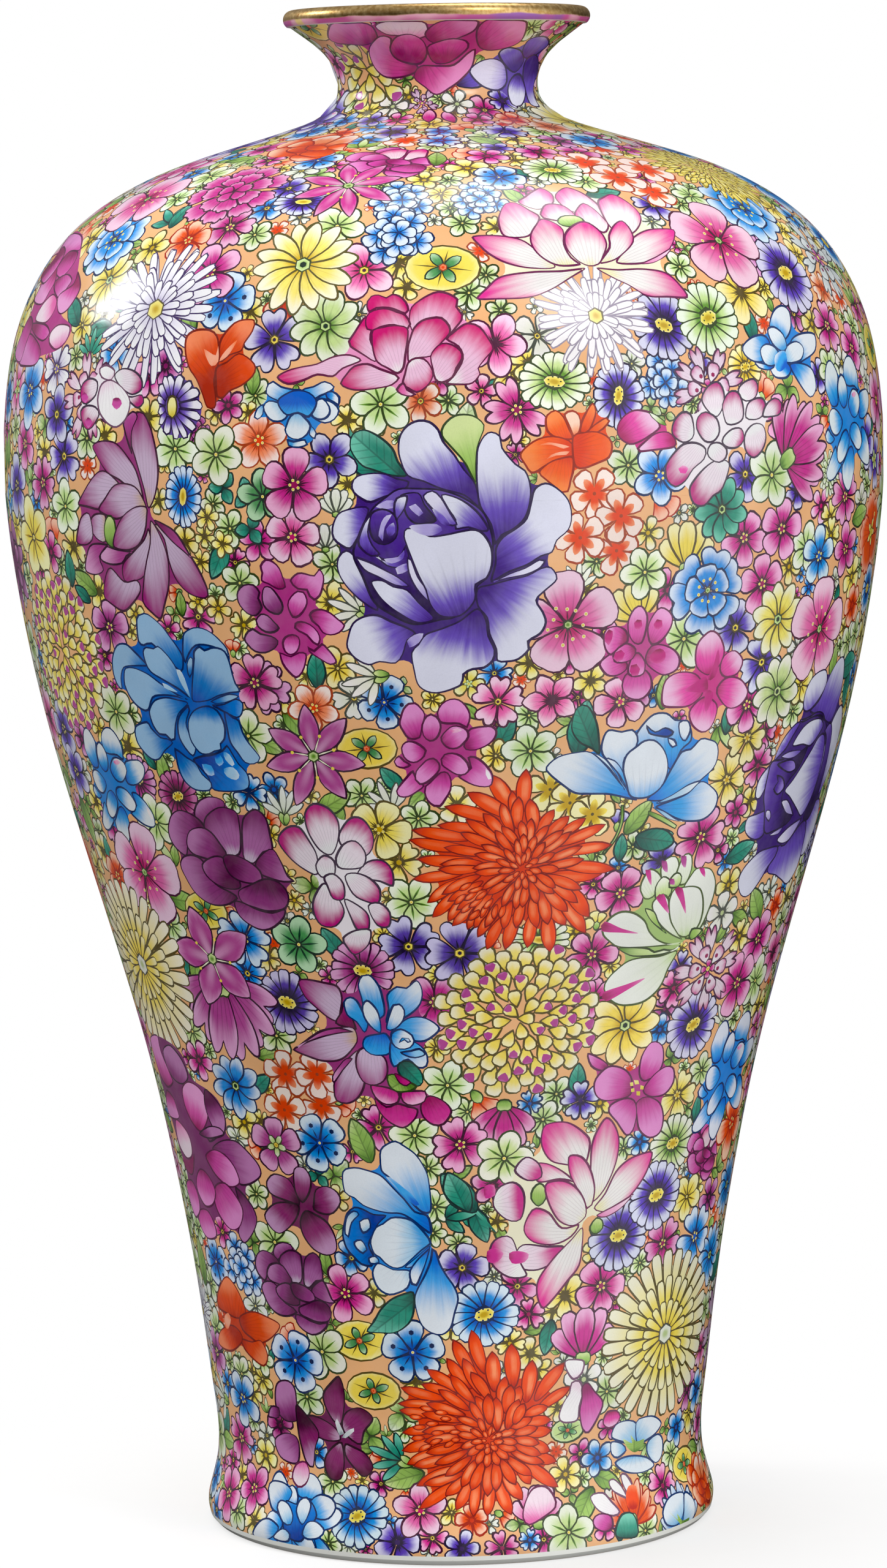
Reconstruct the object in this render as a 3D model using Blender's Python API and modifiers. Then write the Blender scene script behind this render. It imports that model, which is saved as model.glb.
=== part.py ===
"""Meiping vase with a small everted mouth, thrown and luted in five porcelain sections.

Metres, +Z up. The origin is the centre of the foot ring's resting plane and +Z is the turning axis.
Every ring section is its own closed solid; neighbours meet on a butt joint cut square to the wall,
and a fillet of slip on the inside of each joint holds the two sections together.
"""

import math

import bpy
import numpy as np

MM = 0.001

# ---------------------------------------------------------------- driving dimensions (millimetres)
HEIGHT = 420.0              # foot plane to top of lip
TURN_STEPS = 48             # facets round the axis
JOINT_GAP = 0.3             # clearance between neighbouring solids

# Outside of the vase, foot to lip, as (height, radius) stations that a smooth curve runs through.
OUTSIDE = [
    (1.6, 70.7),            # top of the bevel under the foot
    (4.6, 71.2),            # widest point of the splayed foot
    (9.2, 70.4),
    (16.8, 68.5),
    (25.2, 68.0),           # waist above the foot
    (37.8, 69.3),
    (54.6, 71.4),
    (75.6, 74.3),
    (100.8, 78.7),
    (130.2, 84.9),
    (163.8, 94.0),
    (197.4, 103.8),
    (231.0, 112.6),
    (264.6, 118.9),
    (294.0, 121.7),         # widest point of the body
    (312.9, 121.0),
    (331.8, 117.8),
    (347.9, 111.1),
    (360.4, 101.5),
    (370.2, 88.4),          # shoulder turns in
    (376.0, 76.6),
    (380.6, 63.6),
    (384.8, 49.6),
    (387.9, 39.6),          # root of the neck
    (391.6, 31.6),
    (397.0, 27.7),          # narrowest point of the neck
    (402.4, 28.0),
    (406.6, 30.0),
    (410.1, 33.3),
    (413.2, 37.4),
    (415.4, 40.4),          # underside of the lip
]
LIP_NOSE_R = 42.3           # outermost radius of the lip
LIP_NOSE_Z = 417.5
LIP_TOP_R = 39.9            # crest of the lip
MOUTH_INNER = [             # inside of the lip, crest to bore, as (height, radius)
    (419.2, 37.6),
    (416.9, 34.9),
    (413.6, 31.4),
    (409.6, 28.0),
    (404.9, 24.8),
    (399.6, 23.2),
    (394.6, 23.8),
]

# Wall thickness at given heights, thickest at the foot.
WALL = [(20.0, 6.6), (60.0, 5.8), (150.0, 5.0), (300.0, 4.6), (375.0, 4.6), (388.0, 4.7), (394.0, 4.6)]

# Base: foot ring, recess under the floor, and floor.
FOOT_RING_OUTER_R = 69.2
FOOT_RING_INNER_R = 62.4
RECESS_DEPTH = 6.5
RECESS_TOP_R = 60.6
FLOOR_TOP_Z = 13.5
FLOOR_FILLET = [(13.5, 0.0), (13.5, 30.0), (13.9, 47.0), (16.0, 55.2), (20.5, 59.6), (27.0, 61.4)]

# Butt joints between the thrown sections, by height on the outside.
JOINT_Z = [52.0, 165.0, 290.0, 386.6]

# Slip fillet over the inside of each joint.
FILLET_HALF = 5.0
FILLET_RISE = 1.1

# Fired gold on the lip, drawn thicker than the real film so that it is a solid.
GILT_THICK = 0.25
GILT_LOW_OUTSIDE_Z = 416.1
GILT_LOW_INSIDE_Z = 418.4

PORCELAIN = (0.86, 0.84, 0.80, 1.0)
GOLD = (0.78, 0.55, 0.25, 1.0)
SLIP = (0.83, 0.81, 0.77, 1.0)


# ---------------------------------------------------------------- curves
def smooth_curve(points):
    """A natural cubic spline through (x, y) points by chord length: returns (length, function of s)."""
    p = np.array(points, float)
    s = np.concatenate([[0.0], np.cumsum(np.hypot(*np.diff(p, axis=0).T))])
    h = np.diff(s)
    n = len(s)
    a = np.zeros((n, n))
    b = np.zeros((n, 2))
    a[0, 0] = a[-1, -1] = 1.0
    for i in range(1, n - 1):
        a[i, i - 1], a[i, i], a[i, i + 1] = h[i - 1], 2 * (h[i - 1] + h[i]), h[i]
        b[i] = 6 * ((p[i + 1] - p[i]) / h[i] - (p[i] - p[i - 1]) / h[i - 1])
    m = np.linalg.solve(a, b)

    def at(u):
        u = np.clip(np.atleast_1d(np.asarray(u, float)), 0, s[-1])
        i = np.clip(np.searchsorted(s, u, side="right") - 1, 0, n - 2)
        l, r, w = (u - s[i])[:, None], (s[i + 1] - u)[:, None], h[i][:, None]
        return (m[i] * r**3 + m[i + 1] * l**3) / (6 * w) + (p[i] / w - m[i] * w / 6) * r + (p[i + 1] / w - m[i + 1] * w / 6) * l

    return s[-1], at


def wall_at(z):
    zs, ws = zip(*WALL)
    return float(np.interp(z, zs, ws))


OUT_LENGTH, outside = smooth_curve(OUTSIDE)


def frame_at(s):
    """Point, unit tangent (up the wall) and unit outward normal of the outside at arc length s, as (z, r) pairs."""
    e = 0.01
    p = outside(s)[0]
    t = outside(min(s + e, OUT_LENGTH))[0] - outside(max(s - e, 0))[0]
    t = t / math.hypot(*t)
    return p, t, np.array([-t[1], t[0]])


def inside_at(s):
    p, _, normal = frame_at(s)
    return p - normal * wall_at(p[0])


def length_at_height(z):
    lo, hi = 0.0, OUT_LENGTH
    for _ in range(60):
        mid = (lo + hi) / 2
        if outside(mid)[0][0] < z:
            lo = mid
        else:
            hi = mid
    return (lo + hi) / 2


def stations(s0, s1):
    """Arc lengths from s0 to s1, closer together where the wall bends more."""
    found, s = [s0], s0
    while s < s1:
        _, t0, _ = frame_at(s)
        _, t1, _ = frame_at(min(s + 2.0, OUT_LENGTH))
        bend = math.acos(max(-1.0, min(1.0, float(t0 @ t1)))) / 2.0
        s += max(3.4, min(16.0, 0.24 / max(bend, 1e-4)))
        found.append(min(s, s1))
    if len(found) > 2 and found[-1] - found[-2] < 1.5:
        found.pop(-2)
    return found


def arc(centre, radii, start, stop, count):
    """Points (z, r) on an ellipse, angle 0 along +r and 90 degrees along +z."""
    angles = np.radians(np.linspace(start, stop, count))
    return [(centre[0] + radii[0] * math.sin(a), centre[1] + radii[1] * math.cos(a)) for a in angles]


# ---------------------------------------------------------------- objects
vase = bpy.data.collections.new("meiping_vase")


def clear_scene():
    for obj in list(bpy.data.objects):
        bpy.data.objects.remove(obj, do_unlink=True)
    bpy.context.scene.collection.children.link(vase)


def material(name, colour, roughness, metallic):
    found = bpy.data.materials.get(name) or bpy.data.materials.new(name)
    found.use_nodes = True
    shader = found.node_tree.nodes["Principled BSDF"]
    shader.inputs["Base Color"].default_value = colour
    shader.inputs["Roughness"].default_value = roughness
    shader.inputs["Metallic"].default_value = metallic
    return found


def turned(name, profile, finish, axis_after=None):
    """A solid of revolution from (z, r) points that run down the outer side and back up the inner one.

    A profile that crosses the axis has its two points on the axis at axis_after and just after it.
    """
    mesh = bpy.data.meshes.new(name)
    count = len(profile)
    points = [(r * MM, 0.0, z * MM) for z, r in profile]
    edges = [(i, (i + 1) % count) for i in range(count) if i != axis_after]
    mesh.from_pydata(points, edges, [])
    obj = bpy.data.objects.new(name, mesh)
    vase.objects.link(obj)
    turn = obj.modifiers.new("turn", "SCREW")
    turn.axis = "Z"
    turn.angle = math.tau
    turn.steps = turn.render_steps = TURN_STEPS
    turn.use_merge_vertices = True
    turn.merge_threshold = 0.00001
    turn.use_smooth_shade = True
    mesh.materials.append(finish)
    return obj


def ring_profile(s0, s1):
    """Wall between two joints: outer side from the top down, then the inner side back up."""
    steps = stations(s0, s1)
    outer = [tuple(outside(s)[0]) for s in reversed(steps)]
    inner = [tuple(inside_at(s)) for s in steps]
    return outer + inner


def lip_points():
    """Lip from the underside round the nose to the crest, then down the inside into the bore."""
    low = OUTSIDE[-1]
    nose = arc((LIP_NOSE_Z, LIP_TOP_R), (LIP_NOSE_Z - low[0] + 0.35, LIP_NOSE_R - LIP_TOP_R), -52, 0, 3)
    crest = arc((LIP_NOSE_Z, LIP_TOP_R), (HEIGHT - LIP_NOSE_Z, LIP_NOSE_R - LIP_TOP_R), 0, 90, 5)
    return nose + crest[1:]


def inset(points, by):
    """A polyline of (z, r) moved to its right-hand side by a distance, as seen going along it."""
    p = np.array(points, float)
    t = np.gradient(p, axis=0)
    t /= np.hypot(t[:, 0], t[:, 1])[:, None]
    return [tuple(q) for q in p + np.stack([-t[:, 1], t[:, 0]], 1) * by]


def build():
    clear_scene()
    porcelain = material("glazed_porcelain", PORCELAIN, 0.12, 0.0)
    gold = material("fired_gold", GOLD, 0.22, 1.0)
    slip = material("joint_slip", SLIP, 0.5, 0.0)

    cuts = [length_at_height(z) for z in JOINT_Z]
    half = JOINT_GAP / 2

    # Foot section: splayed foot, foot ring, recess and floor.
    steps = stations(0.0, cuts[0] - half)
    outer = [tuple(outside(s)[0]) for s in reversed(steps)]
    under = [
        (0.0, FOOT_RING_OUTER_R),
        (0.0, FOOT_RING_INNER_R),
        (RECESS_DEPTH - 1.2, RECESS_TOP_R),
        (RECESS_DEPTH, RECESS_TOP_R - 1.6),
        (RECESS_DEPTH, 30.0),
        (RECESS_DEPTH, 0.0),
    ]
    wall_steps = [s for s in steps if inside_at(s)[0] > 33.0]
    length, floor = smooth_curve(FLOOR_FILLET + [tuple(inside_at(wall_steps[0]))])
    inner = [tuple(floor(u)[0]) for u in np.linspace(0.0, length, 9)[:-1]]
    inner[0] = (FLOOR_TOP_Z, 0.0)
    wall = [tuple(inside_at(s)) for s in wall_steps]
    turned("foot_section", outer + under + inner + wall, porcelain, axis_after=len(outer + under) - 1)

    names = ["lower_body_section", "belly_section", "shoulder_section"]
    for name, s0, s1 in zip(names, cuts[:-1], cuts[1:]):
        turned(name, ring_profile(s0 + half, s1 - half), porcelain)

    # Neck section: neck, flared mouth and lip. The lip is set back under the gilding.
    steps = stations(cuts[-1] + half, OUT_LENGTH)
    rise = [tuple(outside(s)[0]) for s in steps[:-1]]
    lip = lip_points()
    path = rise + [tuple(outside(OUT_LENGTH)[0])] + lip
    mouth_length, mouth = smooth_curve([lip[-1]] + MOUTH_INNER)
    bore = [tuple(mouth(u)[0]) for u in np.linspace(0.0, mouth_length, 10)[1:]]
    down = [tuple(inside_at(s)) for s in reversed(steps) if inside_at(s)[0] < 392.5]
    whole = path + bore + down
    gilt_start = next(i for i, p in enumerate(whole) if p[0] > GILT_LOW_OUTSIDE_Z)
    crest = max(range(len(whole)), key=lambda i: whole[i][0])
    gilt_stop = next(i for i in range(crest, len(whole)) if whole[i][0] < GILT_LOW_INSIDE_Z)
    skin = whole[gilt_start : gilt_stop + 1]
    set_back = inset(skin, -(GILT_THICK + JOINT_GAP))
    neck = whole[:gilt_start] + set_back + whole[gilt_stop + 1 :]
    turned("neck_section", list(reversed(neck)), porcelain)
    band = list(reversed(skin)) + inset(skin, -GILT_THICK)
    turned("gilt_lip_band", band, gold)

    # Slip fillets over the inside of the joints.
    for name, s in zip(["foot", "lower_body", "belly", "neck"], cuts):
        reach = FILLET_HALF if name != "neck" else 3.6
        outer, inner = [], []
        for k in (-1.0, -0.5, 0.0, 0.5, 1.0):
            p, _, normal = frame_at(s + k * reach)
            wall = p - normal * (wall_at(p[0]) + JOINT_GAP)
            if k in (-1.0, 0.0, 1.0):
                outer.append(tuple(wall))
            inner.append(tuple(wall - normal * (0.25 + FILLET_RISE * math.cos(k * math.pi / 2))))
        turned(f"slip_fillet_{name}", list(reversed(outer)) + inner, slip)


build()
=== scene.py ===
"""Looks of a porcelain meiping vase painted all over with a ground of a hundred flowers.

Metres, +Z up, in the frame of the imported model. The outside of each thrown section is built here as one smooth
skin whose faces follow the painted petals: every petal is an outline polygon and a fill polygon laid on the wall,
the topmost one at each place is kept, and the enamel material shades each fill along and across its own petal.
"""

import math
import time
import bpy
import numpy as np
from mathutils import Matrix, Vector
from mathutils.bvhtree import BVHTree
from mathutils.geometry import delaunay_2d_cdt


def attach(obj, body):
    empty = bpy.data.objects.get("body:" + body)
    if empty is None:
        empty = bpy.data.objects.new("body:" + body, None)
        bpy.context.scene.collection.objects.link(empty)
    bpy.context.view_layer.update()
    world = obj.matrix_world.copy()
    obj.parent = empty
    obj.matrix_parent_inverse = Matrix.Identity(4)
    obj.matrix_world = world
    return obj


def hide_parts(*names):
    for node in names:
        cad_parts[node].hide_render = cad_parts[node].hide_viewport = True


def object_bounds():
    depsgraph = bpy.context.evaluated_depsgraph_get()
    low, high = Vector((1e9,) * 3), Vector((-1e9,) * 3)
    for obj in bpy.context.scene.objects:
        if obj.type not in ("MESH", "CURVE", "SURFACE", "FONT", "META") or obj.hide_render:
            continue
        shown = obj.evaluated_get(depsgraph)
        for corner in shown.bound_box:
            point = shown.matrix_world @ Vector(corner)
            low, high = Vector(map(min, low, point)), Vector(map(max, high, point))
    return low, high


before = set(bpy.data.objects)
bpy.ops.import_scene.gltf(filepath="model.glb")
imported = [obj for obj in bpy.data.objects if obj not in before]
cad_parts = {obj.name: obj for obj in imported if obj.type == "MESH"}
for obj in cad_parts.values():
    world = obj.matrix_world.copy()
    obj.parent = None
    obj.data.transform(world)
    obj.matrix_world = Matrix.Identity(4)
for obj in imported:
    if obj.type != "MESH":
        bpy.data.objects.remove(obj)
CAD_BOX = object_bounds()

MM = 0.001

# ---------------------------------------------------------------- the vase's own curves, millimetres
HEIGHT = 420.0
OUTSIDE = [
    (1.6, 70.7), (4.6, 71.2), (9.2, 70.4), (16.8, 68.5), (25.2, 68.0), (37.8, 69.3), (54.6, 71.4), (75.6, 74.3),
    (100.8, 78.7), (130.2, 84.9), (163.8, 94.0), (197.4, 103.8), (231.0, 112.6), (264.6, 118.9), (294.0, 121.7),
    (312.9, 121.0), (331.8, 117.8), (347.9, 111.1), (360.4, 101.5), (370.2, 88.4), (376.0, 76.6), (380.6, 63.6),
    (384.8, 49.6), (387.9, 39.6), (391.6, 31.6), (397.0, 27.7), (402.4, 28.0), (406.6, 30.0), (410.1, 33.3),
    (413.2, 37.4), (415.4, 40.4),
]
LIP_NOSE_R, LIP_NOSE_Z, LIP_TOP_R = 42.3, 417.5, 39.9
MOUTH_INNER = [(419.2, 37.6), (416.9, 34.9), (413.6, 31.4), (409.6, 28.0), (404.9, 24.8), (399.6, 23.2), (394.6, 23.8)]
WALL = [(20.0, 6.6), (60.0, 5.8), (150.0, 5.0), (300.0, 4.6), (375.0, 4.6), (388.0, 4.7), (394.0, 4.6)]
FOOT_RING_OUTER_R, FOOT_RING_INNER_R = 69.2, 62.4
RECESS_DEPTH, RECESS_TOP_R, FLOOR_TOP_Z = 6.5, 60.6, 13.5
FLOOR_FILLET = [(13.5, 0.0), (13.5, 30.0), (13.9, 47.0), (16.0, 55.2), (20.5, 59.6), (27.0, 61.4)]
JOINT_Z = [52.0, 165.0, 290.0, 386.6]
GILT_LOW_OUTSIDE_Z, GILT_LOW_INSIDE_Z = 416.1, 418.4


def smooth_curve(points):
    """A natural cubic spline through points by chord length: returns (length, function of s)."""
    p = np.array(points, float)
    s = np.concatenate([[0.0], np.cumsum(np.hypot(*np.diff(p, axis=0).T))])
    h = np.diff(s)
    n = len(s)
    a = np.zeros((n, n))
    b = np.zeros((n, 2))
    a[0, 0] = a[-1, -1] = 1.0
    for i in range(1, n - 1):
        a[i, i - 1], a[i, i], a[i, i + 1] = h[i - 1], 2 * (h[i - 1] + h[i]), h[i]
        b[i] = 6 * ((p[i + 1] - p[i]) / h[i] - (p[i] - p[i - 1]) / h[i - 1])
    m = np.linalg.solve(a, b)

    def at(u):
        u = np.clip(np.atleast_1d(np.asarray(u, float)), 0, s[-1])
        i = np.clip(np.searchsorted(s, u, side="right") - 1, 0, n - 2)
        l, r, w = (u - s[i])[:, None], (s[i + 1] - u)[:, None], h[i][:, None]
        return (m[i] * r**3 + m[i + 1] * l**3) / (6 * w) + (p[i] / w - m[i] * w / 6) * r + (p[i + 1] / w - m[i + 1] * w / 6) * l

    return float(s[-1]), at


LENGTH, outside = smooth_curve(OUTSIDE)


def wall_at(z):
    zs, ws = zip(*WALL)
    return np.interp(z, zs, ws)


def wall_frame(s):
    """Height and radius, unit tangent up the wall and unit outward normal, each as (z, r) rows."""
    s = np.atleast_1d(np.asarray(s, float))
    e = 0.01
    p = outside(s)
    t = outside(np.minimum(s + e, LENGTH)) - outside(np.maximum(s - e, 0))
    t /= np.hypot(t[:, 0], t[:, 1])[:, None]
    return p, t, np.stack([-t[:, 1], t[:, 0]], 1)


def radius_at(s):
    return outside(s)[:, 1]


def slope_at(s):
    return float(wall_frame(s)[1][0, 1])


def length_at_height(z):
    lo, hi = 0.0, LENGTH
    for _ in range(60):
        mid = (lo + hi) / 2
        if outside(mid)[0][0] < z:
            lo = mid
        else:
            hi = mid
    return (lo + hi) / 2


CUTS = [length_at_height(z) for z in JOINT_Z]


# ---------------------------------------------------------------- camera and stage
def srgb(r, g, b):
    """A colour given as 0 to 255 display values, made linear."""
    return tuple(c / 12.92 if c <= 0.04045 else ((c + 0.055) / 1.055) ** 2.4 for c in (r / 255, g / 255, b / 255))


def make_camera():
    pitch, yaw, roll = 0.0989, -0.00103, -0.01672
    cp, sp, cy, sy = math.cos(pitch), math.sin(pitch), math.cos(yaw), math.sin(yaw)
    forward = Vector((sy * cp, cy * cp, -sp))
    right = Vector((cy, -sy, 0.0))
    up = right.cross(forward)
    cr, sr = math.cos(roll), math.sin(roll)
    right, up = right * cr + up * sr, up * cr - right * sr
    data = bpy.data.cameras.new("camera")
    data.sensor_width = 36.0
    data.lens = 9204.2 / 2560.0 * 36.0
    data.clip_start, data.clip_end = 0.05, 50.0
    cam = bpy.data.objects.new("camera", data)
    cam.matrix_world = Matrix(
        (
            (right.x, up.x, -forward.x, 0.0),
            (right.y, up.y, -forward.y, -1.56534),
            (right.z, up.z, -forward.z, 0.36086),
            (0, 0, 0, 1),
        )
    )
    bpy.context.scene.collection.objects.link(cam)
    bpy.context.scene.camera = cam


class Nodes:
    """Short calls for building a node tree."""

    def __init__(self, tree):
        self.tree = tree
        tree.nodes.clear()

    def add(self, kind, **settings):
        node = self.tree.nodes.new(kind)
        for key, value in settings.items():
            setattr(node, key, value)
        return node

    def put(self, socket, value):
        if isinstance(value, bpy.types.NodeSocket):
            self.tree.links.new(value, socket)
        elif value is not None:
            if hasattr(socket.default_value, "__len__") and len(socket.default_value) == 4 and len(value) == 3:
                value = (*value, 1.0)
            socket.default_value = value

    def math(self, op, a, b=None, c=None, clamp=False):
        node = self.add("ShaderNodeMath", operation=op, use_clamp=clamp)
        for socket, value in zip(node.inputs, (a, b, c)):
            self.put(socket, value)
        return node.outputs[0]

    def mix(self, fac, a, b, blend="MIX"):
        node = self.add("ShaderNodeMix", data_type="RGBA", blend_type=blend)
        self.put(node.inputs[0], fac)
        self.put(node.inputs[6], a)
        self.put(node.inputs[7], b)
        return node.outputs[2]

    def lerp(self, fac, a, b):
        node = self.add("ShaderNodeMix", data_type="FLOAT")
        self.put(node.inputs[0], fac)
        self.put(node.inputs[2], a)
        self.put(node.inputs[3], b)
        return node.outputs[0]

    def ramp(self, value, lo, hi, to_lo=0.0, to_hi=1.0, smooth=True):
        node = self.add("ShaderNodeMapRange", interpolation_type="SMOOTHSTEP" if smooth else "LINEAR", clamp=True) if smooth else self.add("ShaderNodeMapRange", clamp=True)
        for socket, v in zip(node.inputs, (value, lo, hi, to_lo, to_hi)):
            self.put(socket, v)
        return node.outputs[0]

    def noise(self, vector, scale, detail=2.0, rough=0.5, dims="3D", w=None):
        node = self.add("ShaderNodeTexNoise", noise_dimensions=dims)
        if vector is not None:
            self.put(node.inputs["Vector"], vector)
        if w is not None:
            self.put(node.inputs["W"], w)
        self.put(node.inputs["Scale"], scale)
        self.put(node.inputs["Detail"], detail)
        self.put(node.inputs["Roughness"], rough)
        return node.outputs["Fac"]

    def vec(self, x, y, z):
        node = self.add("ShaderNodeCombineXYZ")
        for socket, value in zip(node.inputs, (x, y, z)):
            self.put(socket, value)
        return node.outputs[0]

    def split(self, vector):
        node = self.add("ShaderNodeSeparateXYZ")
        self.put(node.inputs[0], vector)
        return node.outputs[0], node.outputs[1], node.outputs[2]

    def attribute(self, name):
        return self.add("ShaderNodeAttribute", attribute_name=name)


def new_material(name):
    found = bpy.data.materials.new(name)
    found.use_nodes = True
    n = Nodes(found.node_tree)
    out = n.add("ShaderNodeOutputMaterial")
    return found, n, out


def direction(azimuth, elevation):
    """Unit vector; azimuth 0 is towards the camera and grows to the right of the picture."""
    a, e = math.radians(azimuth), math.radians(elevation)
    return Vector((math.sin(a) * math.cos(e), -math.cos(a) * math.cos(e), math.sin(e)))


def make_stage():
    world = bpy.data.worlds.new("studio")
    bpy.context.scene.world = world
    world.use_nodes = True
    n = Nodes(world.node_tree)
    out = n.add("ShaderNodeOutputWorld")
    where = n.add("ShaderNodeTexCoord").outputs["Generated"]
    _, _, up = n.split(where)

    def lobe(azimuth, elevation, power):
        node = n.add("ShaderNodeVectorMath", operation="DOT_PRODUCT")
        n.put(node.inputs[0], where)
        n.put(node.inputs[1], direction(azimuth, elevation))
        return n.math("POWER", n.math("MAXIMUM", node.outputs["Value"], 0.0), power)

    # What lights the vase softly: a broad wash from the front right, a weaker one from the far left, some from above.
    soft = n.math("ADD", WASH[0], n.math("MULTIPLY", lobe(33, 8, 3.0), WASH[1]))
    soft = n.math("ADD", soft, n.math("MULTIPLY", lobe(-102, 42, 2.5), WASH[2]))
    soft = n.math("ADD", soft, n.math("MULTIPLY", n.math("MAXIMUM", up, 0.0), WASH[3]))
    # What the glaze mirrors: a dim room with a pale wall on the right and another behind on the left.
    room = n.math("ADD", ROOM[0], n.math("MULTIPLY", lobe(60, -10, 4.0), ROOM[1]))
    room = n.math("ADD", room, n.math("MULTIPLY", lobe(-132, 5, 7.0), ROOM[2]))
    room = n.math("ADD", room, n.math("MULTIPLY", n.math("MAXIMUM", up, 0.0), ROOM[3]))
    path = n.add("ShaderNodeLightPath")

    def background(colour, strength):
        node = n.add("ShaderNodeBackground")
        n.put(node.inputs["Color"], colour)
        n.put(node.inputs["Strength"], strength)
        return node.outputs[0]

    glossy = n.add("ShaderNodeMixShader")
    n.put(glossy.inputs[0], path.outputs["Is Glossy Ray"])
    n.put(glossy.inputs[1], background((1.0, 0.99, 0.985, 1), soft))
    n.put(glossy.inputs[2], background((0.97, 0.985, 1.0, 1), room))
    pick = n.add("ShaderNodeMixShader")
    n.put(pick.inputs[0], path.outputs["Is Camera Ray"])
    n.put(pick.inputs[1], glossy.outputs[0])
    n.put(pick.inputs[2], background((1.0, 1.0, 1.0, 1), 1.0))
    n.put(out.inputs["Surface"], pick.outputs[0])

    # Floor: pale matt board that fades into the surround away from the vase.
    board, n, out = new_material("studio_floor")
    spot = n.add("ShaderNodeNewGeometry").outputs["Position"]
    grain = n.noise(spot, 90.0, 3.0)
    diffuse = n.add("ShaderNodeBsdfDiffuse")
    n.put(diffuse.inputs["Color"], n.mix(grain, (0.86, 0.86, 0.855, 1), (0.9, 0.9, 0.895, 1)))
    glow = n.add("ShaderNodeEmission")
    n.put(glow.inputs["Color"], (1.0, 1.0, 1.0, 1))
    x, y, _ = n.split(spot)
    far = n.math("SQRT", n.math("ADD", n.math("MULTIPLY", x, x), n.math("MULTIPLY", y, y)))
    pick = n.add("ShaderNodeMixShader")
    n.put(pick.inputs[0], n.ramp(far, 0.072, 0.19, 0.6, 1.0))
    n.put(pick.inputs[1], diffuse.outputs[0])
    n.put(pick.inputs[2], glow.outputs[0])
    n.put(out.inputs["Surface"], pick.outputs[0])
    mesh = bpy.data.meshes.new("floor")
    rings, spokes = [0.0, 0.3, 0.8, 2.0, 6.0, 20.0], 64
    points = [(0.0, 0.0, 0.0)] + [(r * math.cos(math.tau * k / spokes), r * math.sin(math.tau * k / spokes), 0.0) for r in rings[1:] for k in range(spokes)]
    faces = [(0, 1 + k, 1 + (k + 1) % spokes) for k in range(spokes)]
    for i in range(len(rings) - 2):
        a, b = 1 + i * spokes, 1 + (i + 1) * spokes
        faces += [(a + k, b + k, b + (k + 1) % spokes, a + (k + 1) % spokes) for k in range(spokes)]
    mesh.from_pydata(points, [], faces)
    mesh.materials.append(board)
    floor = bpy.data.objects.new("floor", mesh)
    floor.visible_glossy = False
    floor.visible_diffuse = False
    bpy.context.scene.collection.objects.link(floor)

    # Softboxes: name, azimuth, elevation, distance, width, height, watts, colour.
    target = Vector((0, 0, 0.28))
    for name, azimuth, elevation, distance, width, height, power, colour in LAMPS:
        data = bpy.data.lights.new(name, "AREA")
        data.shape = "RECTANGLE"
        data.size, data.size_y = width, height
        data.energy = power
        data.color = colour
        lamp = bpy.data.objects.new(name, data)
        lamp.location = target + direction(azimuth, elevation) * distance
        lamp.rotation_euler = (target - lamp.location).to_track_quat("-Z", "Y").to_euler()
        lamp.visible_camera = False
        bpy.context.scene.collection.objects.link(lamp)

    view = bpy.context.scene.view_settings
    view.view_transform = "Standard"
    view.look = "None"
    view.exposure = 0.0
    view.gamma = 1.0


WASH = (0.02, 1.95, 1.8, 0.36)
ROOM = (0.02, 1.5, 0.2, 0.3)
LAMPS = [
    ("key", 39, 39, 2.2, 0.55, 0.6, 9.5, (1.0, 0.99, 0.975)),
    ("window", -108, 29, 2.2, 0.4, 0.5, 11.0, (0.95, 0.98, 1.0)),
    ("overhead", 150, 70, 2.0, 1.0, 0.8, 9.5, (1.0, 1.0, 1.0)),
]


make_camera()
make_stage()

# ---------------------------------------------------------------- the wall, as a flat sheet to paint on
# The sheet is X = angle * 100 and Y = length up the wall, both in millimetres; angle 0 faces the camera.
TABLE_S = np.linspace(0.0, LENGTH, 1920)
TABLE_P, TABLE_T, TABLE_N = wall_frame(TABLE_S)
WIDEST = min(CAD_BOX[1][0], CAD_BOX[1][1], -CAD_BOX[0][0], -CAD_BOX[0][1]) / MM - 0.05


def wall_radius(s):
    return np.interp(s, TABLE_S, TABLE_P[:, 1])


def wall_slope(s):
    return np.interp(s, TABLE_S, TABLE_T[:, 1])


class Place:
    """Millimetres right and up round one spot of the wall, on the cone that touches it there."""

    def __init__(self, theta, s):
        self.theta, self.s = math.radians(theta), float(s)
        self.r = float(wall_radius(s))
        self.k = float(wall_slope(s))

    def to_sheet(self, x, y):
        x, y = np.asarray(x, float), np.asarray(y, float)
        if abs(self.k) < 0.03:
            return (self.theta + x / self.r) * 100.0, self.s + y
        apex = self.r / abs(self.k)
        if self.k > 0:
            rho, phi = np.hypot(x, apex + y), np.arctan2(x, apex + y)
            return (self.theta + phi / self.k) * 100.0, self.s + rho - apex
        rho, phi = np.hypot(x, apex - y), np.arctan2(x, apex - y)
        return (self.theta - phi / self.k) * 100.0, self.s + apex - rho

    def from_wall(self, theta, s):
        """The spot at theta degrees and s, in this place's millimetres."""
        turn = (math.radians(theta) - self.theta + math.pi) % math.tau - math.pi
        if abs(self.k) < 0.03:
            return turn * self.r, s - self.s
        apex = self.r / abs(self.k)
        phi = turn * abs(self.k)
        rho = apex + (s - self.s) * (1 if self.k > 0 else -1)
        x, y = rho * math.sin(phi), rho * math.cos(phi) - apex
        return x, y if self.k > 0 else -y


def half_shape(points, sharp_tip=False):
    """A right half outline given by a few (across, along) spots, made round later by outline."""
    return np.array(points, float), sharp_tip


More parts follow.
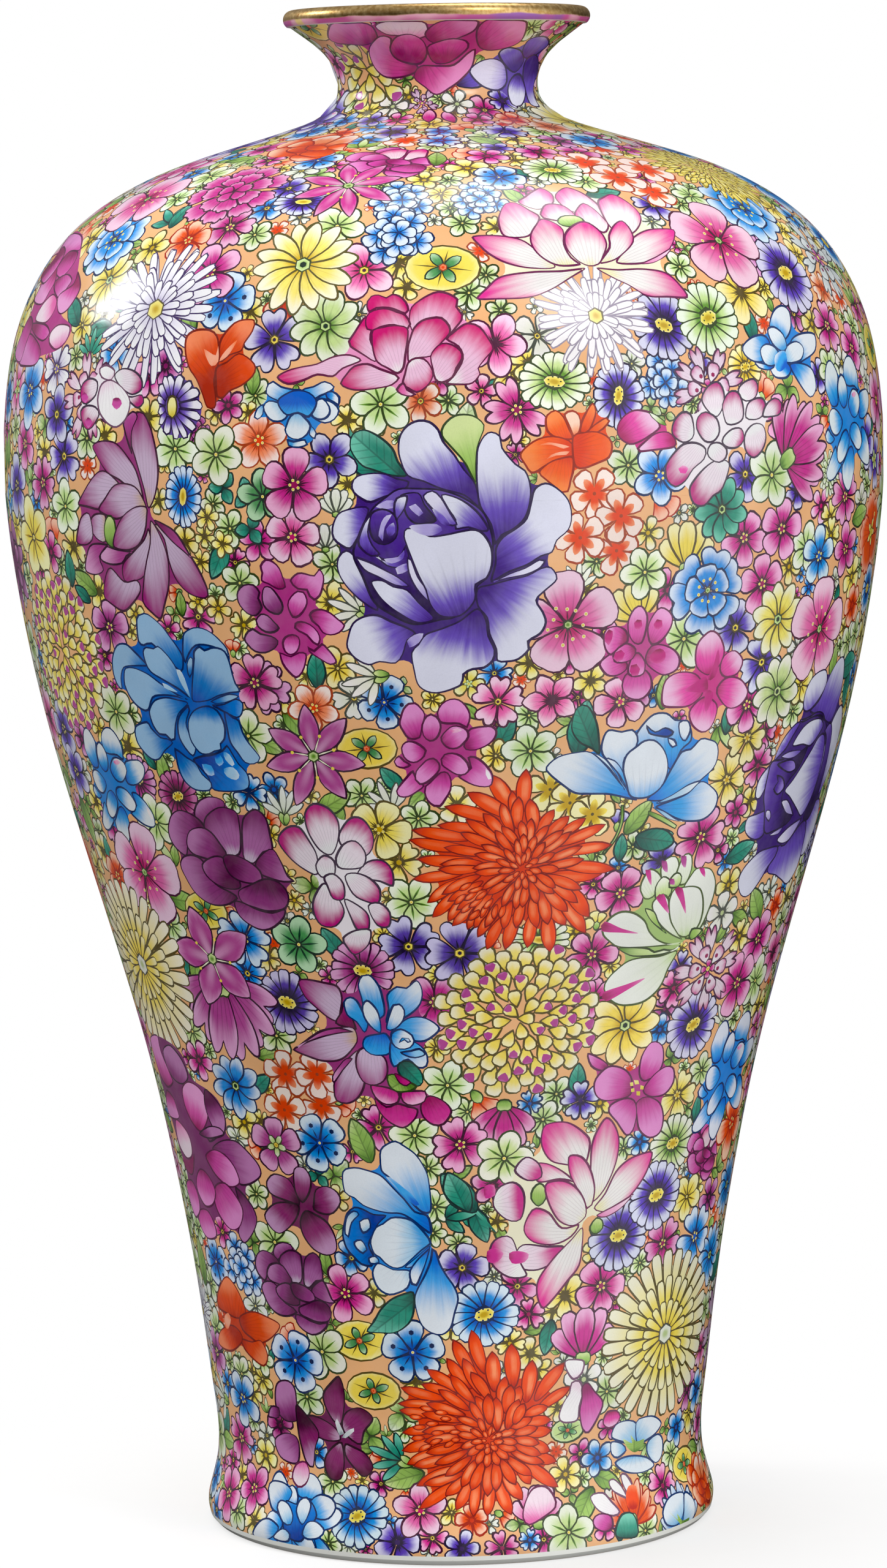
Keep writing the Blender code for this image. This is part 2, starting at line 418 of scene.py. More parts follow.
SHAPES = {
    "egg": half_shape([(0, 0), (0.3, 0.08), (0.7, 0.3), (0.98, 0.62), (0.85, 0.86), (0.42, 0.99), (0, 1)], True),
    "round": half_shape([(0, 0), (0.28, 0.12), (0.72, 0.38), (0.98, 0.66), (0.82, 0.9), (0.4, 1), (0, 1)]),
    "oval": half_shape([(0, 0), (0.35, 0.1), (0.8, 0.32), (1, 0.55), (0.82, 0.8), (0.4, 0.96), (0, 1)]),
    "point": half_shape([(0, 0), (0.4, 0.12), (0.85, 0.32), (1, 0.5), (0.8, 0.72), (0.35, 0.92), (0, 1)], True),
    "notch": half_shape([(0, 0), (0.25, 0.12), (0.7, 0.4), (1, 0.7), (0.9, 0.92), (0.5, 1.02), (0.18, 0.97), (0, 0.9)]),
    "ruffle": half_shape(
        [(0, 0), (0.3, 0.15), (0.75, 0.42), (1, 0.66), (1.02, 0.82), (0.82, 0.9), (0.72, 0.88), (0.6, 0.99), (0.3, 1.03), (0.16, 0.97), (0, 0.99)]
    ),
    "strap": half_shape([(0, 0), (0.5, 0.05), (0.75, 0.3), (0.95, 0.7), (0.9, 0.9), (0.5, 1), (0, 1)]),
    "lance": half_shape([(0, 0), (0.5, 0.08), (0.9, 0.35), (1, 0.6), (0.7, 0.84), (0, 1)], True),
    "drop": half_shape([(0, 0), (0.15, 0.2), (0.5, 0.5), (1, 0.8), (0.7, 0.97), (0, 1.02)]),
    "cup": half_shape([(0, 0), (0.55, 0.05), (0.95, 0.3), (1, 0.6), (0.9, 0.85), (0.5, 1), (0, 0.96)]),
    "leaf": half_shape([(0, 0), (0.45, 0.08), (0.9, 0.3), (1, 0.48), (0.78, 0.72), (0.36, 0.92), (0, 1)], True),
    "disc": half_shape([(0, 0), (0.5, 0.067), (0.87, 0.25), (1, 0.5), (0.87, 0.75), (0.5, 0.933), (0, 1)]),
    "needle": half_shape([(0, 0), (1, 0.5), (0, 1)], True),
    "heart": half_shape([(0, 0), (0.55, 0.2), (0.98, 0.55), (1.0, 0.8), (0.72, 1.0), (0.35, 1.0), (0.08, 0.9), (0, 0.84)]),
    "wavy": half_shape(
        [(0, 0), (0.35, 0.12), (0.8, 0.3), (0.86, 0.38), (1.02, 0.5), (1.0, 0.64), (0.86, 0.7), (0.88, 0.82), (0.7, 0.92), (0.52, 0.9), (0.36, 1.02), (0.12, 1.0), (0, 0.95)]
    ),
}
_outlines = {}


def outline(shape, steps):
    """Both halves of a shape as one loop of (across, along), starting at the base and going counterclockwise."""
    if (shape, steps) not in _outlines:
        pts, sharp = SHAPES[shape]
        if shape == "needle":
            half = pts
        else:
            # Catmull-Rom through the spots, with the mirrored neighbours at both ends.
            head = pts[1] * (-1, 1)
            tail = (2 * pts[-1] - pts[-2]) if sharp else pts[-2] * (-1, 1)
            q = np.vstack([head, pts, tail])
            seg = len(pts) - 1
            u = np.linspace(0, seg, steps)
            i = np.minimum(u.astype(int), seg - 1)
            f = (u - i)[:, None]
            a, b, c, d = q[i], q[i + 1], q[i + 2], q[i + 3]
            half = 0.5 * (2 * b + (c - a) * f + (2 * a - 5 * b + 4 * c - d) * f**2 + (3 * b - a - 3 * c + d) * f**3)
            half[:, 0] = np.maximum(half[:, 0], 0)
            half[0], half[-1] = pts[0], pts[-1]
        left = half[1:-1][::-1] * (-1, 1)
        _outlines[(shape, steps)] = np.vstack([half, left])
    return _outlines[(shape, steps)]


def uneven(n):
    """A brush line's width round a loop of n spots, thick and thin."""
    turn = np.linspace(0, math.tau, n, endpoint=False)
    return 1 + 0.24 * np.sin(turn + rng.uniform(0, math.tau)) + 0.14 * np.sin(2 * turn + rng.uniform(0, math.tau))


def inset(loop, width):
    """The loop moved inwards by width."""
    back, front = np.roll(loop, 1, 0), np.roll(loop, -1, 0)
    a, b = loop - back, front - loop
    a /= np.maximum(np.hypot(a[:, 0], a[:, 1]), 1e-9)[:, None]
    b /= np.maximum(np.hypot(b[:, 0], b[:, 1]), 1e-9)[:, None]
    na, nb = np.stack([-a[:, 1], a[:, 0]], 1), np.stack([-b[:, 1], b[:, 0]], 1)
    n = na + nb
    n /= np.maximum(np.hypot(n[:, 0], n[:, 1]), 1e-6)[:, None]
    reach = width / np.maximum(np.abs((n * na).sum(1)), 0.42)
    return loop + n * reach[:, None]


# ---------------------------------------------------------------- enamel colours: heart, middle, tip, line
INK = {
    "magenta": ((150, 8, 84), (206, 52, 146), (240, 178, 216), (62, 6, 44)),
    "pink": ((196, 18, 104), (232, 108, 174), (243, 206, 228), (74, 12, 52)),
    "plum": ((122, 14, 88), (176, 70, 146), (222, 164, 208), (50, 6, 42)),
    "violet": ((48, 14, 88), (92, 62, 186), (216, 216, 240), (30, 10, 56)),
    "blue": ((0, 84, 184), (36, 146, 226), (216, 232, 246), (6, 36, 84)),
    "orange": ((206, 50, 2), (236, 88, 30), (252, 206, 176), (166, 34, 2)),
    "orangew": ((224, 64, 8), (236, 140, 96), (243, 226, 216), (160, 62, 28)),
    "yellow": ((196, 160, 24), (240, 219, 92), (245, 239, 182), (84, 70, 18)),
    "yelloww": ((205, 170, 30), (240, 224, 112), (240, 238, 214), (88, 80, 34)),
    "green": ((98, 146, 44), (198, 221, 148), (236, 241, 224), (48, 66, 22)),
    "white": ((180, 198, 140), (226, 230, 214), (236, 237, 232), (70, 76, 66)),
    "teal": ((4, 84, 74), (36, 146, 122), (116, 200, 176), (4, 42, 42)),
    "leaf": ((80, 126, 38), (156, 194, 96), (208, 224, 156), (40, 62, 18)),
    "darkgreen": ((16, 74, 46), (74, 146, 84), (184, 218, 180), (14, 40, 28)),
    "lotuspink": ((236, 232, 170), (236, 234, 232), (222, 48, 148), (104, 22, 76)),
    "lotusplum": ((205, 172, 130), (206, 182, 210), (154, 38, 118), (60, 8, 46)),
    "lotusgreen": ((164, 204, 78), (226, 234, 214), (234, 238, 230), (66, 84, 30)),
    "whitemagenta": ((238, 238, 236), (234, 214, 228), (200, 44, 136), (76, 28, 66)),
    "whiteplum": ((234, 230, 234), (212, 180, 210), (150, 46, 130), (62, 26, 60)),
    "violetdark": ((36, 12, 72), (84, 56, 164), (206, 200, 236), (24, 8, 50)),
    # Painted highlight: a white with a paler fill and faint grey lines, standing for a flower washed out by the key
    # lamp's reflection on the shoulder.
    "washed": ((214, 212, 220), (240, 240, 243), (248, 248, 249), (150, 142, 162)),
    "violetwhite": ((120, 96, 176), (224, 220, 236), (244, 244, 246), (64, 44, 96)),
    "bluewhite": ((20, 120, 215), (140, 200, 240), (234, 241, 247), (10, 46, 100)),
    "bluedeep": ((0, 62, 160), (14, 122, 216), (150, 205, 240), (4, 32, 82)),
    "black": ((40, 10, 36), (56, 16, 46), (76, 30, 62), (30, 8, 28)),
}
GROUND = (233, 177, 130)
PALETTE = {key: tuple(np.array(srgb(*c)) for c in four) for key, four in INK.items()}

# ---------------------------------------------------------------- petals
rng = np.random.default_rng(7)
frames = []  # one Place per motif
petals = []  # numbers of each petal
strokes = []  # (sheet loop, petal number, is line)
outlines = []  # (petal number, its loop in millimetres) for petals of free outline
LINE = 0.5


class Motif:
    """One flower or leaf: petals in millimetres round a place, turned, scaled or squashed as a whole."""

    def __init__(self, theta, s, rot=0.0, size=1.0, flip=False, squash=1.0, lean=0.0, seed=None):
        self.place = Place(theta, s)
        self.frame = len(frames)
        frames.append(self.place)
        a, b = math.radians(rot), math.radians(lean)
        turn = np.array([[math.cos(a), -math.sin(a)], [math.sin(a), math.cos(a)]])
        press = np.array([[math.cos(b), -math.sin(b)], [math.sin(b), math.cos(b)]])
        press = press @ np.diag([1.0, squash]) @ press.T
        self.matrix = turn @ press * size
        if flip:
            self.matrix = self.matrix @ np.diag([-1.0, 1.0])
        self.tint = 1 + rng.uniform(-0.07, 0.07) + rng.uniform(-0.03, 0.03, 3)
        self.first = len(petals)

    def colours(self, pal):
        if isinstance(pal, str):
            pal = PALETTE[pal]
        return [np.clip(c * self.tint, 0, 1) for c in pal]

    def petal(self, x, y, ang, length, half, shape="oval", pal="pink", stops=(0.05, 0.45, 0.45, 0.95), radial=0.0, edge=0.15,
              veins=0.0, count=5, style=0, bend=0.0, line=LINE, steps=None, jitter=0.0, tilt=0.0):
        """A petal whose base is at (x, y) and whose tip is length away at ang degrees left of up."""
        a = math.radians(ang)
        along = self.matrix @ (-math.sin(a), math.cos(a))
        across = self.matrix @ (math.cos(a), math.sin(a))
        size = math.hypot(*along)
        along = along / size
        right = np.array([along[1], -along[0]])
        side = float(across @ right)
        length, half = length * size, abs(half * side)
        if length < 0.4 or half < 0.12:
            return
        base = self.matrix @ (x, y)
        if bend and side < 0:
            bend = -bend
        if steps is None:
            steps = 4 if max(length, half) < 2.4 else 5 if max(length, half) < 3.6 else 7 if max(length, half) < 8 else 10 if max(length, half) < 16 else 14
            if shape in ("ruffle", "wavy", "notch", "heart"):
                steps += 3 if steps < 10 else 6
            if shape == "needle":
                steps = 3
        loop = outline(shape, steps).copy()
        if jitter:
            wobble = rng.normal(0, jitter, (len(loop), 2))
            wobble[0] = 0
            loop += wobble
        px = loop[:, 0] * half + (bend * length) * loop[:, 1] ** 2 + tilt * half * loop[:, 1]
        py = loop[:, 1] * length
        flat = base + px[:, None] * right + py[:, None] * along
        n = len(petals)
        four = self.colours(pal)
        petals.append(
            (self.frame, base[0], base[1], along[0], along[1], length, half, bend * length, tilt * half,
             *four[0], *four[1], *four[2], *four[3], *stops, radial, edge, rng.random(), float(style), veins, float(count))
        )
        if line > 0:
            X, Y = self.place.to_sheet(flat[:, 0], flat[:, 1])
            strokes.append((np.stack([X, Y], 1), n, True))
            width = min(line, 0.28 * half, 0.2 * length) * uneven(len(flat))
            flat = inset(flat, width)
        X, Y = self.place.to_sheet(flat[:, 0], flat[:, 1])
        strokes.append((np.stack([X, Y], 1), n, False))

    def free(self, spots, base, tip, pal="pink", stops=(0.0, 0.4, 0.4, 0.9), edge=0.0, veins=0.35, count=5, style=0, line=LINE):
        """A petal of any outline, given by the spots it passes through; its colours run from base to tip."""
        q = np.array(spots, float)
        if math.hypot(*np.ptp(q, 0)) > 120:
            raise ValueError("outline too large")
        before, after, later = np.roll(q, 1, 0), np.roll(q, -1, 0), np.roll(q, -2, 0)
        flat = []
        for a, b, c, d in zip(before, q, after, later):
            k = max(1, min(6, int(round(math.hypot(*(c - b)) / 1.25))))
            for f in np.arange(k) / k:
                flat.append(0.5 * (2 * b + (c - a) * f + (2 * a - 5 * b + 4 * c - d) * f**2 + (3 * b - a - 3 * c + d) * f**3))
        flat = np.array(flat) @ self.matrix.T
        x, y = flat[:, 0], flat[:, 1]
        if (x * np.roll(y, -1) - y * np.roll(x, -1)).sum() < 0:
            flat = flat[::-1]
        base, tip = self.matrix @ base, self.matrix @ tip
        along = (tip - base) / math.hypot(*(tip - base))
        right = np.array([along[1], -along[0]])
        across = (flat - base) @ right
        base = base + right * (across.max() + across.min()) / 2
        half = (across.max() - across.min()) / 2
        length = math.hypot(*(tip - base))
        n = len(petals)
        four = self.colours(pal)
        petals.append(
            (self.frame, base[0], base[1], along[0], along[1], length, half, 0.0, 0.0,
             *four[0], *four[1], *four[2], *four[3], *stops, 0.0, edge, rng.random(), float(style), veins, float(count))
        )
        outlines.append((n, flat))
        if line > 0:
            X, Y = self.place.to_sheet(flat[:, 0], flat[:, 1])
            strokes.append((np.stack([X, Y], 1), n, True))
            flat = inset(flat, min(line, 0.3 * half) * uneven(len(flat)))
        X, Y = self.place.to_sheet(flat[:, 0], flat[:, 1])
        strokes.append((np.stack([X, Y], 1), n, False))

    def tip(self, x0, y0, x1, y1, half, shape="oval", pal="pink", **more):
        """A petal from (x0, y0) to (x1, y1)."""
        self.petal(x0, y0, math.degrees(math.atan2(-(x1 - x0), y1 - y0)), math.hypot(x1 - x0, y1 - y0), half, shape, pal, **more)

    def blob(self, x, y, r, pal, line=0.4, steps=4, stops=(0.1, 0.6, 0.6, 1.1), **more):
        self.petal(x, y - r, 0, 2 * r, r, "disc", pal, radial=2.0, line=line, steps=steps, stops=stops, edge=0.0, **more)

    def dot(self, x, y, r, pal):
        """A spot of one colour with no line."""
        self.petal(x, y - r, 0, 2 * r, r, "disc", pal, radial=2.0, line=0.0, steps=4, edge=0.0)

    def hair(self, x0, y0, x1, y1, width, pal):
        self.tip(x0, y0, x1, y1, width / 2, "needle", pal, line=0.0, edge=0.0)

    def ring(self, n, r0, length, half, shape, pal, start=0.0, cx=0.0, cy=0.0, wobble=0.0, **more):
        for i in range(n):
            a = start + 360.0 * i / n + (rng.uniform(-wobble, wobble) if wobble else 0.0)
            r = math.radians(a)
            grow = 1 + (rng.uniform(-0.05, 0.05) if wobble else 0.0)
            self.petal(cx - math.sin(r) * r0, cy + math.cos(r) * r0, a, length * grow, half, shape, pal, **more)


def solid(name, i=0):
    """A palette of one of a palette's own four colours."""
    c = PALETTE[name][i]
    return (c, c, c, PALETTE[name][3])


def blend_pal(a, b, f):
    return tuple(x * (1 - f) + y * f for x, y in zip(PALETTE[a], PALETTE[b]))


# ---------------------------------------------------------------- kinds of flower
def five(m, R, pal, shape="notch", n=5, centre="stamen", start=None, wr=None, **more):
    start = rng.uniform(0, 72) if start is None else start
    if shape == "notch" and n == 5:
        shape = ("notch", "round", "notch", "egg", "oval", "round")[rng.integers(6)]
    wr = wr or {5: 0.43 if shape in ("notch", "round") else 0.37, 4: 0.48, 6: 0.38}.get(n, 2.2 / n)
    pale = pal in ("yellow", "white", "yelloww", "green")
    more.setdefault("stops", (0.0, 0.3, 0.3, 0.85) if pale else (0.08, 0.44, 0.4, 0.84))
    m.ring(n, 0.03 * R, 0.97 * R, wr * R, shape, pal, start, wobble=4, edge=0.3, veins=0.5 if R > 7 else 0.0, count=3, **more)
    heart(m, R, pal, centre, start, n)


def heart(m, R, pal, centre, start=0.0, n=5):
    dark = solid(pal, 3) if isinstance(pal, str) else (pal[3],) * 4
    deep = solid(pal, 0) if isinstance(pal, str) else (pal[0],) * 4
    if centre in ("lines", "stamen", "dark"):
        # Short dark strokes up each petal from a dark spot, as the brush leaves them.
        for i in range(n):
            a = start + 360.0 * i / n
            for off, reach in ((0, 0.46), (-13, 0.34), (13, 0.34)) if R > 5 else ((0, 0.42),):
                b = math.radians(a + off)
                m.hair(0, 0, -math.sin(b) * reach * R, math.cos(b) * reach * R, 0.26 + 0.022 * R, dark)
        m.dot(0, 0, 0.09 * R + 0.2, dark if centre == "dark" else deep)
        if centre == "stamen" and R > 7:
            for i in range(5):
                b = math.tau * (i + 0.5) / 5
                m.dot(math.cos(b) * 0.13 * R, math.sin(b) * 0.13 * R, 0.03 * R + 0.16, "yellow")
    elif centre == "long":
        for i in range(11):
            a = math.radians(start + 360.0 * i / 11)
            d = (0.3, 0.4)[i % 2] * R
            m.hair(0, 0, -math.sin(a) * d, math.cos(a) * d, 0.4, dark)
            m.dot(-math.sin(a) * d, math.cos(a) * d, 0.55, "yelloww")
        m.blob(0, 0, 0.1 * R, "green")
    elif centre == "green":
        m.ring(5, 0, 0.3 * R, 0.1 * R, "lance", "green", start + 36, line=0.3)
        m.dot(0, 0, 0.1 * R, "yellow")
    elif centre == "yellow":
        for i in range(n):
            b = math.radians(start + 360.0 * i / n)
            m.hair(0, 0, -math.sin(b) * 0.44 * R, math.cos(b) * 0.44 * R, 0.3 + 0.03 * R, dark)
        m.blob(0, 0, 0.17 * R, "yellow", line=0.36)
        m.dot(0, 0, 0.05 * R + 0.1, dark)
    elif centre == "star":
        m.ring(5, 0, 0.42 * R, 0.13 * R, "lance", "green", start + 36, line=0.36)
        m.blob(0, 0, 0.12 * R, "yellow")


def floret(m, R, pal="orangew", **more):
    """A small pale flower with pointed rays of the core colour running up its petals."""
    start = rng.uniform(0, 72)
    m.ring(5, 0.03 * R, 0.97 * R, 0.42 * R, "round", pal, start, wobble=5, edge=0.3, stops=(0.0, 0.2, 0.12, 0.6))
    for i in range(5):
        m.petal(0, 0, start + 72 * i, 0.66 * R, 0.16 * R, "lance", pal, stops=(0.4, 0.9, 0.85, 1.3), line=0.0)
    m.dot(0, 0, 0.2 * R, solid(pal, 0))
    m.dot(0, 0, 0.06 * R + 0.1, solid(pal, 3))


def dots(m, R, pal, **more):
    start = rng.uniform(0, 72)
    m.ring(5, 0.04 * R, 0.96 * R, 0.45 * R, "round", pal, start, wobble=3, edge=0.3, stops=(0.15, 0.45, 0.45, 0.85))
    for i in range(5):
        a = math.radians(start + 72 * i)
        m.hair(-math.sin(a) * 0.12 * R, math.cos(a) * 0.12 * R, -math.sin(a) * 0.52 * R, math.cos(a) * 0.52 * R, 0.45, solid("bluedeep", 3))
        m.dot(-math.sin(a) * 0.62 * R, math.cos(a) * 0.62 * R, 0.085 * R, solid("bluedeep", 3))
    m.dot(0, 0, 0.12 * R, solid("bluedeep", 0))
    m.dot(0, 0, 0.05 * R, "yelloww")


def daisy(m, R, pal, n=None, core="yellow", **more):
    n = n or (16 if R > 7 else 13)
    m.ring(n, 0.16 * R, 0.84 * R, 3.3 / n * R, "strap", pal, rng.uniform(0, 20), wobble=2.5, edge=0.3,
           stops=(0.2, 0.46, 0.46, 0.8), line=0.42)
    dark = solid(pal, 3) if isinstance(pal, str) else (pal[3],) * 4
    m.dot(0, 0, 0.31 * R, dark)
    lean = rng.uniform(-25, 25) + 90
    m.petal(0.29 * R * math.sin(math.radians(lean)), -0.29 * R * math.cos(math.radians(lean)), lean, 0.58 * R, 0.19 * R, "disc", core, radial=2.0, line=0.0, steps=5, stops=(0.2, 0.7, 0.7, 1.1), edge=0.0)
    if R > 6:
        for i in range(7):
            a = math.tau * i / 7
            m.dot(math.cos(a) * 0.17 * R, math.sin(a) * 0.17 * R, 0.28, dark)


def aster(m, R, pal, n=11, core="green", **more):
    m.ring(n, 0.06 * R, 0.94 * R, 2.7 / n * R, "oval", pal, rng.uniform(0, 30), wobble=3, edge=0.35, stops=(0.05, 0.4, 0.45, 0.9),
           veins=0.3 if R > 8 else 0.0, count=2)
    m.blob(0, 0, 0.17 * R, core)
    m.dot(0, 0, 0.06 * R + 0.1, solid("darkgreen", 3))


def mum(m, R, pal, fx=0.0, fy=0.0, long=None, fat=None, start=0.0, **more):
    """A shaggy round head of long pointed petals that spread from a focus off its centre."""
    long = long or 0.44 * R
    fat = fat or 0.06 * R
    rows = 8
    for j in range(rows):
        f = 1 - j / (rows - 0.2)
        rr = (R - 0.86 * long) * f**0.9 + 0.02 * R
        cx, cy = fx * (1 - f), fy * (1 - f)
        size = long * (0.34 + 0.62 * f)
        wide = fat * (0.5 + 0.52 * f)
        n = max(6, int(round(math.tau * (rr + 0.4 * size) / (2.15 * wide))))
        for i in range(n):
            a = start + 360.0 * (i + 0.5 * (j % 2)) / n + rng.uniform(-3.5, 3.5)
            r = math.radians(a)
            d = rr * rng.uniform(0.8, 1.05)
            m.petal(cx - math.sin(r) * d, cy + math.cos(r) * d, a + rng.uniform(-11, 11), size * rng.uniform(0.72, 1.18), wide * rng.uniform(0.8, 1.2),
                    "lance", pal, stops=(0.0, 0.3, 3.0, 4.0), edge=0.0, bend=rng.uniform(-0.22, 0.22), style=3, line=0.34)
    m.ring(9, 0, 0.15 * R, 0.03 * R, "lance", pal, 10, cx=fx, cy=fy, line=0.3, style=3, stops=(0.0, 0.3, 3.0, 4.0))


def spiral(m, R, pal, **more):
    """A tall chrysanthemum in three rings of straps round a pale green eye."""
    pale = (tuple(PALETTE["yelloww"][1]), tuple(PALETTE["yelloww"][1] * 0.5 + PALETTE["yelloww"][2] * 0.5), tuple(PALETTE["yelloww"][2]), tuple(PALETTE["yellow"][3]))
    n = max(16, int(1.15 * R))
    m.dot(0, 0, 0.8 * R, blend_pal("yellow", "yelloww", 0.3))
    for count, near, far, four in ((n, 0.42, 1.0, pale), (int(0.8 * n), 0.24, 0.68, blend_pal("yellow", "yelloww", 0.5)), (int(0.6 * n), 0.1, 0.42, "yellow")):
        start = rng.uniform(0, 30)
        for i in range(count):
            a = start + 360.0 * i / count
            m.petal(-math.sin(math.radians(a)) * near * R, math.cos(math.radians(a)) * near * R, a + rng.uniform(-2, 2), (far - near) * R * rng.uniform(0.94, 1.03),
                    math.tau * (0.3 * near + 0.7 * far) * R / count * 0.5, "strap", four, stops=(-0.1, 0.35, 0.4, 0.95), edge=0.15, line=0.5)
    m.blob(0, 0, 0.13 * R, "white", line=0.4)


def redtip(m, R, pal, tip="plum", share=0.45, **more):
    """A round head of small yellow florets set in a sunflower spiral, many with a plum spot at the tip."""
    n = int((R / 2.3) ** 2)
    spots = []
    for i in range(n):
        d = R * 0.93 * math.sqrt((i + 0.35) / n)
        spots.append((d, i * 2.399963))
    for d, a in sorted(spots, reverse=True):
        x, y = math.cos(a) * d, math.sin(a) * d
        ang = math.degrees(a) - 90 + rng.uniform(-8, 8)
        grow = 0.84 + 0.3 * d / R
        far = d / R
        pal_here = blend_pal(pal, "yelloww", min(1.0, 1.3 * far**2)) if isinstance(pal, str) else pal
        m.petal(x - math.cos(a) * 2.6 * grow, y - math.sin(a) * 2.6 * grow, ang, 6.0 * grow, 2.3 * grow, "round", pal_here,
                stops=(0.0, 0.4, 0.45, 0.9), edge=0.25, line=0.5)
        if tip and rng.random() < share * (0.5 + 0.7 * far):
            m.petal(x + math.cos(a) * 0.7 * grow, y + math.sin(a) * 0.7 * grow, ang, 2.5 * grow, 1.55 * grow, "round", tip,
                    stops=(-0.2, 0.2, 0.7, 1.4), edge=-0.3, line=0.0)


def dahlia(m, R, pal, inner="white", **more):
    start = rng.uniform(0, 45)
    m.ring(8, 0.42 * R, 0.58 * R, 0.27 * R, "notch", pal, start, wobble=4, edge=0.35, veins=0.4, count=3, stops=(0.0, 0.4, 0.5, 1.0))
    m.ring(7, 0.2 * R, 0.5 * R, 0.22 * R, "round", pal, start + 20, wobble=4, edge=0.35, stops=(0.05, 0.5, 0.55, 1.0))
    m.ring(5, 0.05 * R, 0.36 * R, 0.17 * R, "round", pal, start + 5, wobble=4, edge=0.4, stops=(0.05, 0.45, 0.5, 0.95))
    m.ring(3, 0.0, 0.17 * R, 0.1 * R, "round", inner, start, edge=0.2)


def lily(m, R, pal, n=6, core="green", **more):
    start = rng.uniform(0, 60)
    m.ring(n, 0.04 * R, 0.96 * R, 1.45 / n * R, "point", pal, start, wobble=4, edge=0.45, stops=(0.02, 0.5, 0.62, 1.05), veins=0.7, count=2, style=2)
    for i in range(n):
        a = math.radians(start + 360.0 * (i + 0.5) / n)
        m.hair(0, 0, -math.sin(a) * 0.4 * R, math.cos(a) * 0.4 * R, 0.4, solid("yelloww", 2))
        m.dot(-math.sin(a) * 0.4 * R, math.cos(a) * 0.4 * R, 0.5, solid("yellow", 1))
    m.blob(0, 0, 0.12 * R, core)


def disc(m, R, pal, tall=0.7, arms=4, **more):
    m.petal(0, -tall * R, 0, 2 * tall * R, R, "disc", pal, radial=2.0, steps=9, stops=(0.1, 0.6, 0.7, 1.1), edge=0.0)
    start = rng.uniform(0, 90)
    for i in range(arms):
        a = math.radians(start + 360.0 * i / arms)
        m.petal(0, 0, math.degrees(a), 0.62 * R * (tall + (1 - tall) * abs(math.sin(a))), 0.15 * R, "lance", "darkgreen", line=0.36)
        b = a + math.pi / arms
        m.hair(0, 0, -math.sin(b) * 0.8 * R, math.cos(b) * 0.8 * tall * R, 0.4, solid(pal, 3))
    m.blob(0, 0, 0.12 * R, "orangew", line=0.3)


def sprig(m, R, pal, n=5, spread=120.0, **more):
    for i in range(n):
        a = -spread / 2 + spread * i / (n - 1) + rng.uniform(-4, 4)
        m.petal(0, -0.35 * R, a, (1.35 - 0.25 * abs(a) / 60) * R * 0.95, 0.17 * R, "oval", pal, edge=0.3, stops=(0.02, 0.35, 0.4, 0.9))
    m.petal(0, -0.75 * R, 14, 0.62 * R, 0.16 * R, "lance", "leaf", line=0.36)
    m.petal(0, -0.75 * R, -16, 0.58 * R, 0.15 * R, "lance", "leaf", line=0.36)


def star(m, R, pal="green", n=5, **more):
    start = rng.uniform(0, 72)
    m.ring(n, 0.02 * R, 0.98 * R, 2.0 / n * R, "oval", pal, start, wobble=4, edge=0.3, stops=(0.0, 0.3, 0.35, 0.8))
    dark = solid(pal, 3) if isinstance(pal, str) else (pal[3],) * 4
    deep = solid(pal, 0) if isinstance(pal, str) else (pal[0],) * 4
    for i in range(n):
        a = math.radians(start + 360.0 * i / n)
        m.hair(0, 0, -math.sin(a) * 0.7 * R, math.cos(a) * 0.7 * R, 0.3 + 0.05 * R, deep)
        m.hair(0, 0, -math.sin(a) * 0.5 * R, math.cos(a) * 0.5 * R, 0.42, dark)
    m.dot(0, 0, 0.12 * R, dark)
    m.dot(0, 0, 0.06 * R, "yellow")


def leaf(m, R, pal="teal", wide=None, stem=0.0, bend=0.0, **more):
    """A leaf 2 R long, centred."""
    wide = wide or 0.52 * R
    if stem:
        m.petal(0, -R - stem, 0, stem + 0.3 * R, 0.45, "strap", pal, line=0.0)
    m.petal(0, -R, 0, 2 * R, wide, "leaf", pal, stops=(0.05, 0.5, 0.55, 1.05), edge=0.25, style=1, veins=0.85, count=max(4, round(R * 0.9)), bend=bend)


def sprout(m, R, pal="leaf", **more):
    """A pair of small leaves with a bud."""
    m.petal(0, -0.6 * R, 48, 1.2 * R, 0.3 * R, "leaf", pal, style=1, veins=0.6, count=4, line=0.4)
    m.petal(0, -0.6 * R, -44, 1.15 * R, 0.3 * R, "leaf", pal, style=1, veins=0.6, count=4, line=0.4)
    m.petal(0, -0.6 * R, 3, 1.5 * R, 0.26 * R, "leaf", "green" if pal == "leaf" else pal, line=0.4)


def cluster(m, R, pal, n=None, **more):
    """Small round-petalled florets packed in a round head."""
    r = max(3.4, 0.46 * R)
    n = n or max(4, int(1.25 * (R / r) ** 2) + 2)
    for i in reversed(range(n)):
        d = (R - 0.75 * r) * math.sqrt(i / max(n - 1, 1))
        a = i * 2.399963
        x, y, st = math.cos(a) * d, math.sin(a) * d, rng.uniform(0, 90)
        k = (4, 5)[rng.integers(2)]
        m.ring(k, 0.0, r, (0.5, 0.44)[k - 4] * r, "egg", pal, st, cx=x, cy=y, line=0.42, stops=(0.0, 0.3, 0.2, 0.75))
        for q in range(k):
            b = math.radians(st + 360.0 * q / k)
            m.hair(x, y, x - math.sin(b) * 0.6 * r, y + math.cos(b) * 0.6 * r, 0.34, solid(pal, 0))


